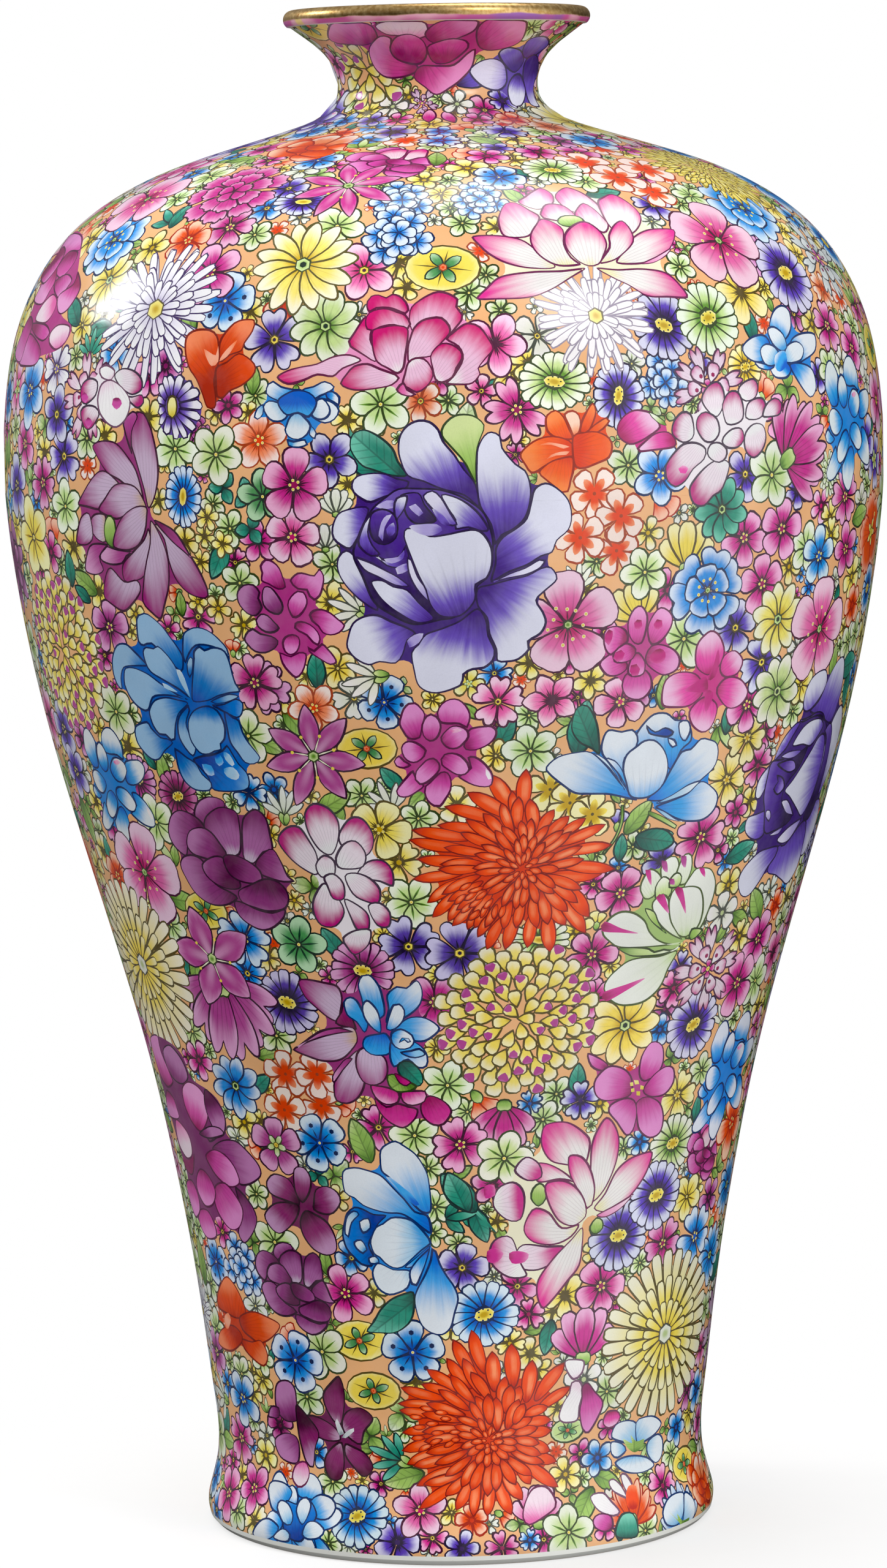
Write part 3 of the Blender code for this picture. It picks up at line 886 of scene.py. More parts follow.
def cherry(m, R, pal="magenta", **more):
    start = rng.uniform(0, 60)
    m.ring(6, 0.3 * R, 0.7 * R, 0.33 * R, "round", pal, start, wobble=4, edge=0.5, stops=(0.0, 0.45, 0.6, 1.0))
    for i in range(6):
        a = math.radians(start + 60 * i)
        m.dot(-math.sin(a) * 0.62 * R, math.cos(a) * 0.62 * R, 0.13 * R, solid("plum", 0))
    m.ring(5, 0.0, 0.42 * R, 0.2 * R, "round", pal, start + 30, edge=0.4)
    m.dot(0, 0, 0.1 * R, solid("plum", 0))


def orchid(m, R, pal="whitemagenta", n=11, **more):
    """A loose double flower of white petals tipped and spotted with colour."""
    start = rng.uniform(0, 40)
    tip = "magenta" if pal == "whitemagenta" else "plum"
    m.ring(n - 3, 0.3 * R, 0.7 * R, 1.55 / n * R * 1.3, "heart", pal, start, wobble=6, edge=0.25, stops=(0.1, 0.5, 0.62, 1.1), veins=0.4, count=3)
    k = max(5, n - 5)
    m.ring(k, 0.1 * R, 0.52 * R, 0.2 * R, "round", pal, start + 20, wobble=6, edge=0.25, stops=(0.1, 0.5, 0.6, 1.1))
    for i in range(k):
        a = math.radians(start + 20 + 360.0 * i / k)
        m.dot(-math.sin(a) * 0.34 * R, math.cos(a) * 0.34 * R, 0.055 * R, solid(tip, 0))
    m.ring(4, 0.0, 0.24 * R, 0.11 * R, "round", tip, start, line=0.42)
    m.dot(0, 0, 0.05 * R + 0.1, "yellow")


def fringe(m, R, pal="violetwhite", n=36, core="yelloww", **more):
    for layer, (f, k) in enumerate(((1.0, n), (0.7, int(n * 0.7)), (0.42, int(n * 0.45)))):
        for i in range(k):
            a = 360.0 * (i + 0.3 * layer) / k + rng.uniform(-3, 3)
            m.petal(0, 0, a, R * f * rng.uniform(0.86, 1.05), 2.6 * f * R / k, "strap", pal, bend=rng.uniform(-0.16, 0.16), line=0.36,
                    stops=(0.1, 0.5, 0.5, 0.95), edge=0.2)
    m.blob(0, 0, 0.15 * R, core)


def hibiscus(m, R, pal="orange", core="yellow", **more):
    start = rng.uniform(0, 72)
    m.ring(5, 0.04 * R, 0.96 * R, 0.5 * R, "wavy", pal, start, wobble=4, edge=0.45, stops=(0.0, 0.45, 0.6, 1.1), veins=0.9, count=5)
    m.ring(5, 0, 0.36 * R, 0.09 * R, "lance", "yellow", start + 36, line=0.36)
    m.blob(0, 0, 0.15 * R, core)
    m.hair(0, 0, 0.22 * R, 0.42 * R, 0.7, "yellow")
    m.dot(0.22 * R, 0.42 * R, 0.7, "yellow")


def peony(m, R, pal, core=None, **more):
    """A full double flower seen a little from the side."""
    core = core or pal
    start = rng.uniform(0, 50)
    m.ring(7, 0.34 * R, 0.66 * R, 0.38 * R, "ruffle", pal, start, wobble=6, edge=0.3, veins=0.6, count=5, stops=(0.0, 0.45, 0.5, 1.0))
    m.ring(6, 0.2 * R, 0.52 * R, 0.33 * R, "ruffle", pal, start + 27, wobble=6, edge=0.35, veins=0.5, count=4, stops=(0.05, 0.5, 0.55, 1.05))
    m.ring(5, 0.08 * R, 0.42 * R, 0.27 * R, "round", pal, start, wobble=6, edge=0.4, veins=0.4, count=3, stops=(0.1, 0.55, 0.6, 1.1))
    for x, y, a, l, w in ((-0.12, -0.12, 10, 0.4, 0.2), (0.12, -0.14, -14, 0.4, 0.2), (0.0, -0.22, 0, 0.36, 0.25)):
        m.petal(x * R, y * R, a, l * R, w * R, "cup", core, stops=(0.1, 0.5, 0.6, 1.05), edge=0.35, veins=0.4, count=3)


def camellia(m, R, pal, **more):
    start = rng.uniform(0, 60)
    m.ring(6, 0.2 * R, 0.8 * R, 0.45 * R, "notch", pal, start, wobble=5, edge=0.35, veins=0.5, count=4, stops=(0.0, 0.4, 0.5, 1.0))
    m.ring(5, 0.04 * R, 0.6 * R, 0.33 * R, "round", pal, start + 30, wobble=5, edge=0.4, stops=(0.05, 0.5, 0.55, 1.0), veins=0.4, count=3)
    for i in range(9):
        a = math.tau * i / 9
        m.hair(0, 0, math.cos(a) * 0.26 * R, math.sin(a) * 0.26 * R, 0.35, solid(pal, 3))
        m.dot(math.cos(a) * 0.26 * R, math.sin(a) * 0.26 * R, 0.5, "yellow")
    m.blob(0, 0, 0.09 * R, "green")


def bell(m, R, pal, **more):
    for a, l in ((46, 1.5), (-46, 1.5), (22, 1.8), (-22, 1.8)):
        m.petal(0, -0.85 * R, a, l * R, 0.36 * R, "round", pal, edge=0.3, stops=(0.0, 0.45, 0.5, 0.95), veins=0.4, count=3)
    m.petal(0, -0.85 * R, 0, 1.75 * R, 0.42 * R, "round", pal, edge=0.35, stops=(0.0, 0.45, 0.55, 1.0), veins=0.5, count=3)
    m.petal(0, -1.05 * R, 0, 0.5 * R, 0.3 * R, "cup", "leaf", line=0.4)


def petunia(m, R, pal, **more):
    """A wide fan-shaped flower seen from the side."""
    for a in (62, -62, 36, -36, 12, -12):
        m.petal(0, -0.8 * R, a, (1.75 - abs(a) * 0.006) * R, 0.4 * R, "heart", pal, edge=0.4, stops=(0.0, 0.45, 0.55, 1.0), veins=0.8, count=4)
    m.petal(0, -1.0 * R, 0, 0.6 * R, 0.22 * R, "cup", "leaf", line=0.4)


def lotus(m, R, pal="lotuspink", wide=100.0, **more):
    """A fan of pointed petals over a cup, with a green pod."""
    hot = {"lotuspink": "pink", "lotusplum": "plum", "lotusgreen": "green"}.get(pal, "pink")
    keep = dict(edge=0.25, veins=0.6, count=5, stops=(0.05, 0.5, 0.55, 1.05))
    for a in np.linspace(-wide, wide, 8):
        m.petal(0, -0.35 * R, a, (1.3 - 0.18 * abs(a) / 100) * R, 0.24 * R, "point", pal, bend=-0.0012 * a, **keep)
    for a in np.linspace(-0.68 * wide, 0.68 * wide, 5):
        m.petal(0, -0.4 * R, a, (1.02 - 0.1 * abs(a) / 70) * R, 0.24 * R, "point", pal, **keep)
    m.petal(0, -0.1 * R, 0, 0.34 * R, 0.24 * R, "cup", "leaf")
    for dx in (-0.14, -0.05, 0.05, 0.14):
        m.dot(dx * R, 0.2 * R, 0.03 * R + 0.2, "yellow")
    for a, l in ((58, 0.8), (-58, 0.8), (30, 0.72), (-30, 0.72)):
        m.petal(0, -0.48 * R, a, l * R, 0.23 * R, "point", pal, **keep)
    m.petal(0, -0.52 * R, 0, 0.55 * R, 0.3 * R, "cup", pal, **keep)


def bud(m, R, pal="yellow", **more):
    m.petal(0, -R, 12, 1.5 * R, 0.5 * R, "drop", pal, line=0.4)
    m.petal(0, -R, -20, 1.4 * R, 0.42 * R, "drop", pal, line=0.4)
    m.petal(0, -1.1 * R, 0, 0.8 * R, 0.3 * R, "lance", "leaf", line=0.36)


def trefoil(m, R, pal="teal", **more):
    m.ring(3, 0.0, R, 0.4 * R, "leaf", pal, rng.uniform(0, 120), line=0.4, style=1, veins=0.5, count=3)


def single(m, R, pal, shape="oval", wide=0.5, **more):
    """One loose petal 2 R long, centred."""
    more.setdefault("veins", 0.5)
    more.setdefault("count", 4)
    m.petal(0, -R, 0, 2 * R, wide * R, shape, pal, **more)


def ruffled(m, R, pal, **more):
    """Loose folded petals round a dark heart, like a carnation."""
    start = rng.uniform(0, 60)
    m.ring(9, 0.3 * R, 0.7 * R, 0.28 * R, "ruffle", pal, start, wobble=8, edge=0.4, veins=0.8, count=4, stops=(0.0, 0.5, 0.6, 1.1))
    m.ring(7, 0.12 * R, 0.58 * R, 0.25 * R, "ruffle", pal, start + 25, wobble=8, edge=0.4, veins=0.8, count=3, stops=(0.0, 0.5, 0.6, 1.1))
    m.ring(5, 0.0, 0.38 * R, 0.17 * R, "wavy", pal, start, wobble=8, edge=0.4, stops=(0.0, 0.5, 0.6, 1.1))


KINDS = dict(floret=floret, five=five, dots=dots, daisy=daisy, aster=aster, mum=mum, spiral=spiral, redtip=redtip, dahlia=dahlia, lily=lily, disc=disc,
             sprig=sprig, star=star, leaf=leaf, sprout=sprout, cluster=cluster, cherry=cherry, orchid=orchid, fringe=fringe, hibiscus=hibiscus,
             peony=peony, camellia=camellia, bell=bell, petunia=petunia, lotus=lotus, bud=bud, trefoil=trefoil, single=single, ruffled=ruffled)


# ---------------------------------------------------------------- large flowers drawn petal by petal
for key, four in {
    "heroviolet": ((62, 25, 125), (110, 84, 192), (222, 224, 242), (38, 16, 70)),
    "herodark": ((40, 12, 76), (78, 42, 150), (150, 128, 212), (28, 8, 55)),
    "violetpale": ((104, 76, 184), (176, 164, 222), (222, 220, 242), (42, 20, 78)),
    "heroblue": ((0, 96, 205), (62, 164, 234), (226, 234, 242), (8, 42, 98)),
    "bluepale": ((70, 160, 226), (168, 208, 236), (226, 236, 244), (10, 48, 105)),
    "heropink": ((205, 30, 120), (234, 116, 182), (240, 216, 230), (90, 16, 62)),
    "pinkpale": ((226, 104, 172), (238, 176, 212), (240, 220, 232), (100, 20, 72)),
    "pinkedge": ((235, 226, 228), (236, 206, 222), (218, 46, 140), (96, 18, 66)),
    "plumdeep": ((92, 6, 56), (150, 36, 108), (206, 120, 176), (48, 6, 38)),
    "magentadeep": ((140, 6, 74), (192, 34, 126), (228, 120, 186), (66, 6, 44)),
    "plumrose": ((94, 20, 74), (146, 60, 128), (188, 124, 178), (50, 10, 44)),
    "plumpale": ((206, 188, 210), (172, 100, 162), (122, 36, 102), (50, 10, 44)),
    "orchidtip": ((236, 236, 238), (234, 222, 232), (182, 34, 122), (62, 44, 66)),
    "neckrose": ((150, 14, 92), (206, 70, 150), (232, 144, 200), (88, 14, 62)),
    "magentarose": ((138, 14, 90), (204, 76, 162), (226, 144, 206), (84, 10, 62)),
    "bellrose": ((150, 14, 90), (214, 84, 168), (232, 160, 212), (90, 12, 64)),
    "brightrose": ((168, 8, 90), (228, 72, 166), (240, 196, 228), (104, 16, 72)),
    "whitepink": ((236, 214, 228), (242, 238, 242), (244, 243, 244), (110, 70, 100)),
    "mumred": ((188, 26, 0), (242, 74, 4), (255, 160, 112), (130, 18, 0)),
    "pinktip": ((244, 240, 242), (238, 194, 222), (204, 22, 112), (96, 16, 64)),
    "bluemid": ((0, 80, 180), (36, 126, 204), (152, 192, 226), (4, 40, 96)),
    "daisyviolet": ((52, 18, 98), (120, 90, 196), (238, 236, 246), (36, 14, 66)),
    "yellowcore": ((214, 196, 70), (232, 220, 110), (240, 234, 160), (70, 56, 20)),
    "darklily": ((196, 160, 190), (140, 50, 110), (84, 8, 54), (44, 4, 30)),
    "redorange": ((178, 40, 4), (224, 72, 16), (244, 136, 90), (126, 24, 2)),
    "hotorange": ((220, 54, 4), (244, 90, 22), (250, 140, 74), (150, 34, 4)),
    "paleorange": ((236, 84, 24), (248, 170, 130), (250, 214, 190), (160, 44, 12)),
    "blush": ((250, 150, 110), (250, 176, 146), (248, 130, 80), (160, 44, 12)),
    "darkplum": ((66, 6, 46), (138, 38, 106), (196, 150, 192), (40, 4, 30)),
    "greywhite": ((150, 165, 170), (205, 212, 216), (230, 233, 236), (64, 68, 78)),
}.items():
    PALETTE[key] = tuple(np.array(srgb(*c)) for c in four)

# Colour run of a petal: w mostly pale over a dark base, v and h dark further out, m even, d mostly dark, t coloured at the tip, e with a coloured
# base only, n a streak with no line.
RUNS = {
    "w": dict(stops=(0.0, 0.28, 0.2, 0.58), edge=-0.06, veins=0.25, count=5), "m": dict(stops=(0.0, 0.42, 0.4, 0.92), edge=-0.05, veins=0.35, count=5),
    "d": dict(stops=(0.1, 0.75, 0.75, 1.3), edge=0.0, veins=0.45, count=5), "t": dict(stops=(0.0, 0.3, 0.45, 1.0), edge=0.42, veins=0.4, count=6),
    "h": dict(stops=(0.0, 0.44, 0.3, 0.84), edge=0.0, veins=0.2, count=5),
    "v": dict(stops=(0.0, 0.38, 0.28, 0.72), edge=-0.03, veins=0.22, count=5),
    "e": dict(stops=(0.0, 0.38, 0.3, 0.7), edge=0.0, veins=0.12, count=4), "n": dict(stops=(0.0, 0.4, 0.6, 1.3), edge=0.25, veins=0.0, line=0.0),
}
# Each flower's angle and length up the wall, then a row for each petal from the back to the front: colour run (b is the
# shade beneath the petals, p a long pointed petal given by its half width), palette,
# base, tip, and the spots that its outline passes through, in millimetres right and up of the flower's place.
HERO_TABLE = """
@ plum_lotus -39.3 292
b plum -9.2,-28.1 -9.2,26.1 | -0.9,-28.1 0.5,-27.7 3.7,-20.3 5.3,-18.9 8.1,-18.9 9.9,-20.5 13.7,-22.1 16.3,-21.9 16.7,-21.5 16.7,-19.7 13.7,-13.1 12.3,-11.5 9.1,-5.9 5.9,-3.7 1.7,-2.3 0.5,-1.1 0.1,0.3 0.3,1.9 2.1,4.9 3.3,9.7 3.3,12.7 2.5,17.3 1.1,21.1 -1.3,25.1 -2.9,25.9 -6.3,26.1 -8.3,24.9 -9.1,23.9 -9.1,19.9 -10.5,18.3 -11.9,17.9 -17.9,18.3 -21.5,16.9 -21.1,15.7 -19.1,13.5 -19.1,10.9 -20.5,9.3 -24.5,6.3 -28.7,1.7 -28.7,1.1 -27.9,0.3 -27.9,-2.3 -30.7,-6.9 -30.9,-8.9 -28.9,-9.7 -27.5,-11.3 -27.3,-13.1 -28.3,-15.5 -28.1,-16.3 -26.5,-17.1 -22.7,-17.3 -21.1,-18.7 -20.7,-20.1 -21.1,-22.9 -20.1,-24.1 -15.1,-26.5 -13.1,-26.5 -8.9,-23.7 -6.3,-23.7 -4.1,-25.9
t lotusplum -.5,0 -3,27 | -.5,1 -2,6 -5,14 -7.5,20 -8.5,24 -5,26 -2,26 1,22 3,16 3.5,10 2,4
d plum -5,15 -7,27 | -6,15 -9,21 -9.5,24 -6,26.5 -4,25 -6,21
t lotusplum -1,1 -23,18 | -2,3 -4,10 -7,14 -12,18 -18,18.5 -22,17 -20,14 -16,10 -11,8 -6,5
t lotusplum -8,2 -29,1.5 | -10,6 -15,10 -19,10.5 -23,8 -28,3 -29,1 -25,.5 -19,0 -14,2
t lotusplum 0,1 -20,0 | -1,1 -4,6 -8,7.5 -13,7 -17,3.5 -20,0 -15,-2 -11,-2 -5,1
m lotusplum -16,-4 -25,-3 | -17,-1 -22,-1 -24.5,-4 -22,-7.5 -18,-8.5 -17.5,-5
m leaf -15,-10 -16,0 | -15.5,-10 -18,-8 -18,-4 -16,-1 -13.5,-2 -13,-6 -13.5,-9
t lotusplum -20,-4 -31,-9 | -24,-1 -28,-2 -31,-7 -31,-9.5 -26,-9.5 -23,-7
t lotusplum 1,1 -15,-10 | -1,-1 -1,1.5 -5,1.5 -10,-1 -13.5,-5 -15,-9.5 -10,-10.5 -5,-9 -2,-5
t lotusplum 1,-3 -12,-19 | -1,-4 -3,-7 -7,-10 -12,-14 -12,-18.5 -8,-18.5 -4,-17 -1,-13 0,-8
m plum -5,-10 -21,-13 | -7,-10.5 -14,-10 -19,-9.5 -21,-13 -17,-14.5 -12,-14 -10,-12
m plum -15,-9 -28.5,-16.5 | -17,-9 -24,-9 -27,-12 -28.5,-16.5 -24,-17.5 -20,-16 -21,-12.5
t lotusplum -6,-11 -20,-26 | -7,-18 -12,-18.5 -17,-15 -20,-18 -21.5,-23 -19,-25 -14,-27 -10,-25 -6,-21
t lotusplum 0,1 0,-29 | 0,-2 -1,-8 -3,-13 -5,-19 -6,-24 -3,-27 0,-28.5 2,-25 4.5,-19 5,-12 3,-6
t lotusplum 0,-1 17,-22 | 1,-3 4,-7 5,-13 7,-18 11,-21.5 16,-22.5 17,-20 14,-13 9,-7 5,-4
d plum 1,-2 13,-12 | 1,-2 5,-3 9,-5.5 13,-12 10,-10 6,-7
@ pink_lotus_top 20.3 356
b lotuspink -0.5,-8.3 -0.5,29.5 | 16.3,-8.3 25.3,-8.1 27.3,-7.7 25.9,-4.7 23.9,-2.5 21.5,-0.7 21.1,1.5 21.5,2.9 25.9,6.9 28.9,12.9 27.9,13.5 22.9,12.9 21.5,13.3 20.3,14.5 19.9,15.9 20.3,19.1 19.5,21.7 17.5,25.1 15.5,26.7 14.1,26.5 11.5,24.7 9.5,24.5 8.1,24.9 4.9,28.7 3.3,29.5 2.1,29.5 0.1,28.1 -1.3,27.7 -2.9,27.9 -4.5,29.3 -5.9,29.5 -8.7,27.7 -13.1,23.9 -16.9,23.3 -17.9,22.3 -20.1,18.3 -20.9,14.1 -22.5,12.1 -24.9,11.7 -28.3,12.3 -28.7,11.9 -25.9,6.3 -22.7,3.3 -22.3,1.3 -22.7,-0.1 -24.1,-1.5 -25.5,-1.9 -28.1,-4.1 -30.3,-5.3 -30.9,-5.9 -30.7,-6.5 -20.5,-7.7 -15.5,-7.3 -10.9,-5.7 -7.7,-3.7 -3.1,-1.7 -0.9,-0.1 0.7,0.1 2.1,-0.3 6.7,-3.5 10.5,-5.1 12.5,-6.9
t lotuspink -7,10 -5,31 | -13.5,23.5 -11,26 -8,28.5 -5,30 -3,28 -2.5,25.5 -4,22 -9,20
t lotuspink 4,10 4,31 | -2.5,25 0,28.5 3,30 6,28 8,25 9.5,21 9,16 2,18 -1,20
t lotuspink 11,6 16,27.5 | 9,22.5 12,25.5 15.5,27 18.5,24 20.5,19 19.5,15 16,11 12,10 9,14
t lotuspink -12,6 -17,24.5 | -21,16 -19.5,20 -17,23.5 -14,23.5 -11,20 -9,17 -12,12 -15,10 -20.5,11
t lotuspink -3,10 -5,23 | -9,18 -7,21.5 -5,22.5 -2,22 0,20 1,16 -4,15 -8.5,16.5
t lotuspink 5,7 5,23 | .5,17 2.5,20.5 5,22.5 7,20.5 8.5,17 9.5,13.5 7,10.5 3,14
m leaf -1,12.5 -1,17.5 | -5,15 -3.5,17 -.5,17.5 2,16.8 3,15 1.5,13.3 -1,12.7 -3.8,13.3
t lotuspink -6,0 -30,12.5 | -29,12 -28,9.5 -26,6 -22,2.5 -16,.3 -9,.2 -13,6 -16,9.5 -21,11.5 -27,12.5
t lotuspink 4,1 30,13.5 | 8,1 15,.8 22,3 26,7 28.5,11 29,13.5 25,13.5 20,12.5 15,9.5 11,5
m pinkpale 14,1 27,8 | 15,1 20,3.5 25,6.5 27,8 24,4.5 19,1.5
t lotuspink -5,-1 -9.5,17 | -8,.3 -12,3 -14,7 -13.5,11 -11,14.5 -9,16.5 -6,15 -4,12 -5,7 -4,3 -2,.5
t lotuspink 4,0 15,16 | 3,1 7,6 8,10 11,14 14,15.5 15.5,12 15,8 11,4 7,1.5
t lotuspink 1,-2 2,15.5 | 0,0 -3,2 -5,6 -4.5,10 -2,13 1.5,15 4,14.5 6.5,11 7,7 5,3 3,.5
t lotuspink 0,-.5 -32,-6.5 | -1,-.5 -8,-.8 -16,-.5 -24,-1 -28,-3.5 -31.5,-6.5 -26,-7.5 -18,-8 -12,-6.5 -6,-3.5
t lotuspink 2,-.5 28,-7.5 | 2,-.5 6,-3.5 10,-5.5 15,-8.5 21,-8.5 27.5,-8 26,-4.5 22,-1 15,-.3 8,-.8
@ plum_lotus_low -16.5 146
b plum 5.5,-24.1 5.5,19.5 | 9.1,-24.1 11.1,-23.7 12.9,-22.1 14.3,-21.7 16.3,-22.1 18.1,-23.7 20.9,-23.7 23.3,-20.5 22.7,-18.7 21.7,-17.5 19.3,-15.9 17.9,-15.5 16.9,-14.3 14.7,-13.7 13.5,-12.5 13.1,-11.1 13.3,-9.1 14.7,-7.5 17.1,-7.1 17.9,-6.5 18.3,-5.7 18.3,-3.9 17.7,-2.5 17.9,-0.5 22.1,3.3 21.3,5.1 18.9,6.5 17.5,8.1 17.3,10.1 18.5,13.3 18.5,15.3 17.9,17.3 16.7,17.3 15.3,15.9 13.5,15.7 11.7,16.1 11.1,15.5 9.5,15.3 8.1,15.7 6.9,16.9 6.3,18.5 5.3,19.3 3.1,19.5 1.7,15.9 0.1,14.5 -1.5,14.3 -2.9,14.7 -4.1,16.3 -5.1,16.7 -12.1,17.7 -14.5,17.5 -15.1,16.9 -14.5,14.1 -13.1,11.7 -8.7,7.9 -8.3,6.5 -8.5,4.7 -9.9,3.1 -12.1,2.1 -16.3,-1.5 -18.7,-2.7 -18.9,-3.3 -13.7,-5.1 -10.1,-5.7 -8.3,-7.3 -7.9,-8.7 -8.3,-10.9 -8.1,-15.7 -7.5,-16.9 -6.5,-17.3 -4.1,-17.3 -1.1,-15.3 1.5,-15.3 3.1,-16.7 5.1,-21.1
t lotusplum 0,3 -16,17.5 | -15.5,17 -13,18 -8,17.5 -4,16.5 -3,13 -4,9 -5,6 -8,7 -11,9.5 -14,12.5
d plumdeep 0,2 -4,12.5 | -6,5.5 -4,9 -3,12 -1.5,11 -1,8 0,4 -2,4
t lotusplum 1,1 -20,-3.5 | -1,4.5 -5,4.5 -10,3.5 -14,1 -17,-1.5 -19.5,-3.3 -15,-5 -10,-6 -5,-5 -1,-1 0,1.5
m plum 0,3 -19,-3 | -18.5,-2.8 -14,-.5 -9,1.5 -4,2.8 -1,3.2 -5,4.4 -10,3.4 -14,1
t lotusplum 1,0 -7,-18.5 | 0,-2 -3,-4 -6,-7 -8,-11 -8.5,-14 -8,-17 -5,-17.8 -2,-16.5 0,-14 1,-11 1,-7
m plum -1,-4 -8.5,-12 | -2,-4.5 -5,-8 -8,-12 -8.5,-10 -6,-6.5 -4,-4.5
t lotusplum 3,4 2,-15 | 1,-1 4,-2 7,-4 7.5,-8 6,-11 3,-12.2 0,-11 -1.5,-7 -1,-3
m heroblue 6,5 4.5,20.5 | 3,7 2,13 1.5,17 3,19.7 4.8,20 6.5,18.5 8,15 8,8
m heroblue 7,5 18.5,17.5 | 8,6 9,10 9,14 12,16.5 14.5,16 17.5,18 18.8,15 18,11 15,8 11,6
m heroblue 7,5 22.5,3.5 | 9,3 12,6 15,7.5 19,7 22.5,3.8 20,1 17,0 13,1
d heroblue 8,4 -2,10 | 2,3 0,6 -2.5,8 -3,12 -1,13.5 1,12.5 2.5,9 3.5,6
d heroblue 6,4 4,-5 | 6,3 2,2 1,-1 3,-3.2 6,-3.6 8.5,-3 9.5,0 8,3
m heroblue 9,2 17,-8 | 9,1 8,-4 9,-7 11,-6 13,-5 15.5,-7.5 18,-7 18.5,-4 17,-1 13,1.5
m bluedeep 9,0 17,-3 | 11,-2.5 14,-2 16.5,-1.5 18,-3.5 15,-4.5 12.5,-3.8
w heroblue 7,2 3,12.5 | 6.5,3 3.5,5 2,8 2,11 3.5,12.7 5.2,11.5 6.6,8.5
w heroblue 7.5,2 12.5,12.5 | 8,4 9,8.5 10.5,11.3 12.3,11.5 13.6,9.5 13,6.5 10.5,4
w heroblue 8,2 15.5,-1 | 9,3 9,0 11,-1.8 14,-1.5 15.5,.5 15,2.3 12,4.3
m heroblue 11,-.5 14.5,.5 | 11,0 12,1.6 13.8,1.4 14.4,.3 13.4,0 12.6,.8
d teal 10.5,-5.5 16,-12.5 | 10.5,-5.5 9.8,-8 11.5,-11 14.5,-12.8 16.5,-11.5 16.2,-8 13.5,-5
d magenta 9,-12 9,-25 | 3,-15.5 3.5,-19 6,-22.5 10,-24.5 13.5,-22 14.5,-19 12,-18 9,-17 6,-18
d magenta 17,-14 21,-24.5 | 15,-18 17,-15.5 19,-15.5 22,-17.5 23.5,-20.5 21,-24 18,-24 15.5,-21.5
m magenta 8,-12 5,-18 | 2,-12 4,-12 7,-12.5 10,-14 9.5,-17 6,-17.7 3,-15.5
m magenta 12,-12 14,-18 | 10,-14 13,-13.5 17,-14 16.5,-17 13,-18.2 10.5,-17
d leaf 12,-10 7,-13 | 7,-9 7,-12 9,-14 13,-14 15,-12.5 13,-11 10,-9
d magentadeep 9,-8.5 13,-12 | 9,-8.5 12,-10 13.5,-11.5 12,-12.5 10,-11.5
@ pink_lotus_low 27.5 94.5
b lotuspink -8.5,-24.9 -8.5,27.5 | -12.2,-24.9 -11.2,-24.9 -10,-23.7 -7.2,-19.9 -5.8,-18.7 -5.6,-17.9 -2.6,-14.7 -1.8,-10.7 -1.8,-4.5 -2.2,-3.5 -1.8,-1.5 -0.6,-0.3 0.8,0.1 3.6,-0.7 6,-0.5 11,2.1 13.2,3.9 13.6,5.1 16.4,8.1 19,13.5 19.2,15.3 18.6,15.7 15,15.7 11.2,14.7 8.8,15.1 7.4,16.7 7.2,20.7 6.6,22.7 4.6,26.3 2.8,27.5 1.6,27.1 -0.6,24.1 -2,23.7 -3.8,23.9 -7.6,26.7 -9.2,27.3 -14,27.3 -15.2,26.7 -16,25.3 -15.8,20.7 -16.2,19.3 -17.4,18.1 -20,17.7 -21.8,16.3 -22.6,14.5 -23,11.5 -24.2,10.3 -26.2,9.5 -27.6,7.5 -27.8,4.1 -25.8,1.5 -24.8,1.1 -23.4,-0.3 -23,-1.7 -23.4,-3.7 -24.6,-4.9 -26,-5.3 -27.6,-7.3 -27.8,-9.5 -27.4,-11.7 -26,-13.7 -23,-15.7 -20.6,-16.5 -18.2,-16.1 -15.8,-16.5 -14.4,-18.1 -13.8,-22.1
t lotuspink -3,6 -17,27 | -1.5,21 -4,24.5 -9,27.5 -14,27.5 -16,26 -16,21 -13,16.5 -8,15 -3,14
t lotuspink -3,6 -19,16 | -16,10.5 -18,14 -18,16 -14,16 -9,13.5 -5,10 -10,11
t lotuspink 1,1 3,29 | 0,4 -1,12 -1.5,20 0,25 2.5,28 5.5,25.5 7.5,20.5 7,14 4,7
t lotuspink 0,0 -8,19 | -1,2 -4,7 -7,12 -8,16 -7.5,18 -4,17.5 -1,14 1,8 .5,3
t lotuspink 0,1 20,16 | 1,2 4,6 7,12 11,15 16,16 19.5,15.5 18,10 14,5 9,1.5 5,.5
m pinkpale 1,0 14,4.5 | 2,0 7,2 12,4 14,4.5 10,1 5,-1
m whitemagenta -27,4 -20,5 | -20,0 -24,0 -28,4 -27,9 -23,11 -20,9 -19,5
m whitemagenta -24,17 -15,13 | -23,14 -20,18 -16,16 -15,12 -19,11
m whitemagenta -22,-11 -8,-9 | -19,-7 -12,-7.5 -7,-8 -9,-12 -14,-14.5 -19,-14 -21,-11
m whitemagenta -19,-10 -28,-9 | -22,-5 -26,-5 -28,-8 -27,-13 -22,-16.5 -17,-16 -19,-12
n magenta -23,-10.5 -17,-10.5 | -22.5,-9.5 -20,-8.8 -17,-9.8 -18,-12 -21.5,-12.3
n magenta -29,-10 -24,-10 | -28.5,-9 -26,-8 -24,-9.6 -25.5,-12 -28,-12
n magenta -31,8 -27,8 | -30,6 -27.5,7 -28,9.8 -30.5,9.5
m leaf -15.5,3 -15.5,11 | -17.8,6 -17.5,9 -15.5,10.6 -13.6,9 -13.2,5.8 -15.3,3.6
t lotuspink -2,-3 -20,0 | -3,-2 -8,-2.5 -12,2 -16,3.5 -18,1.5 -19,-3 -16,-6.5 -10,-7.5 -5,-5.5
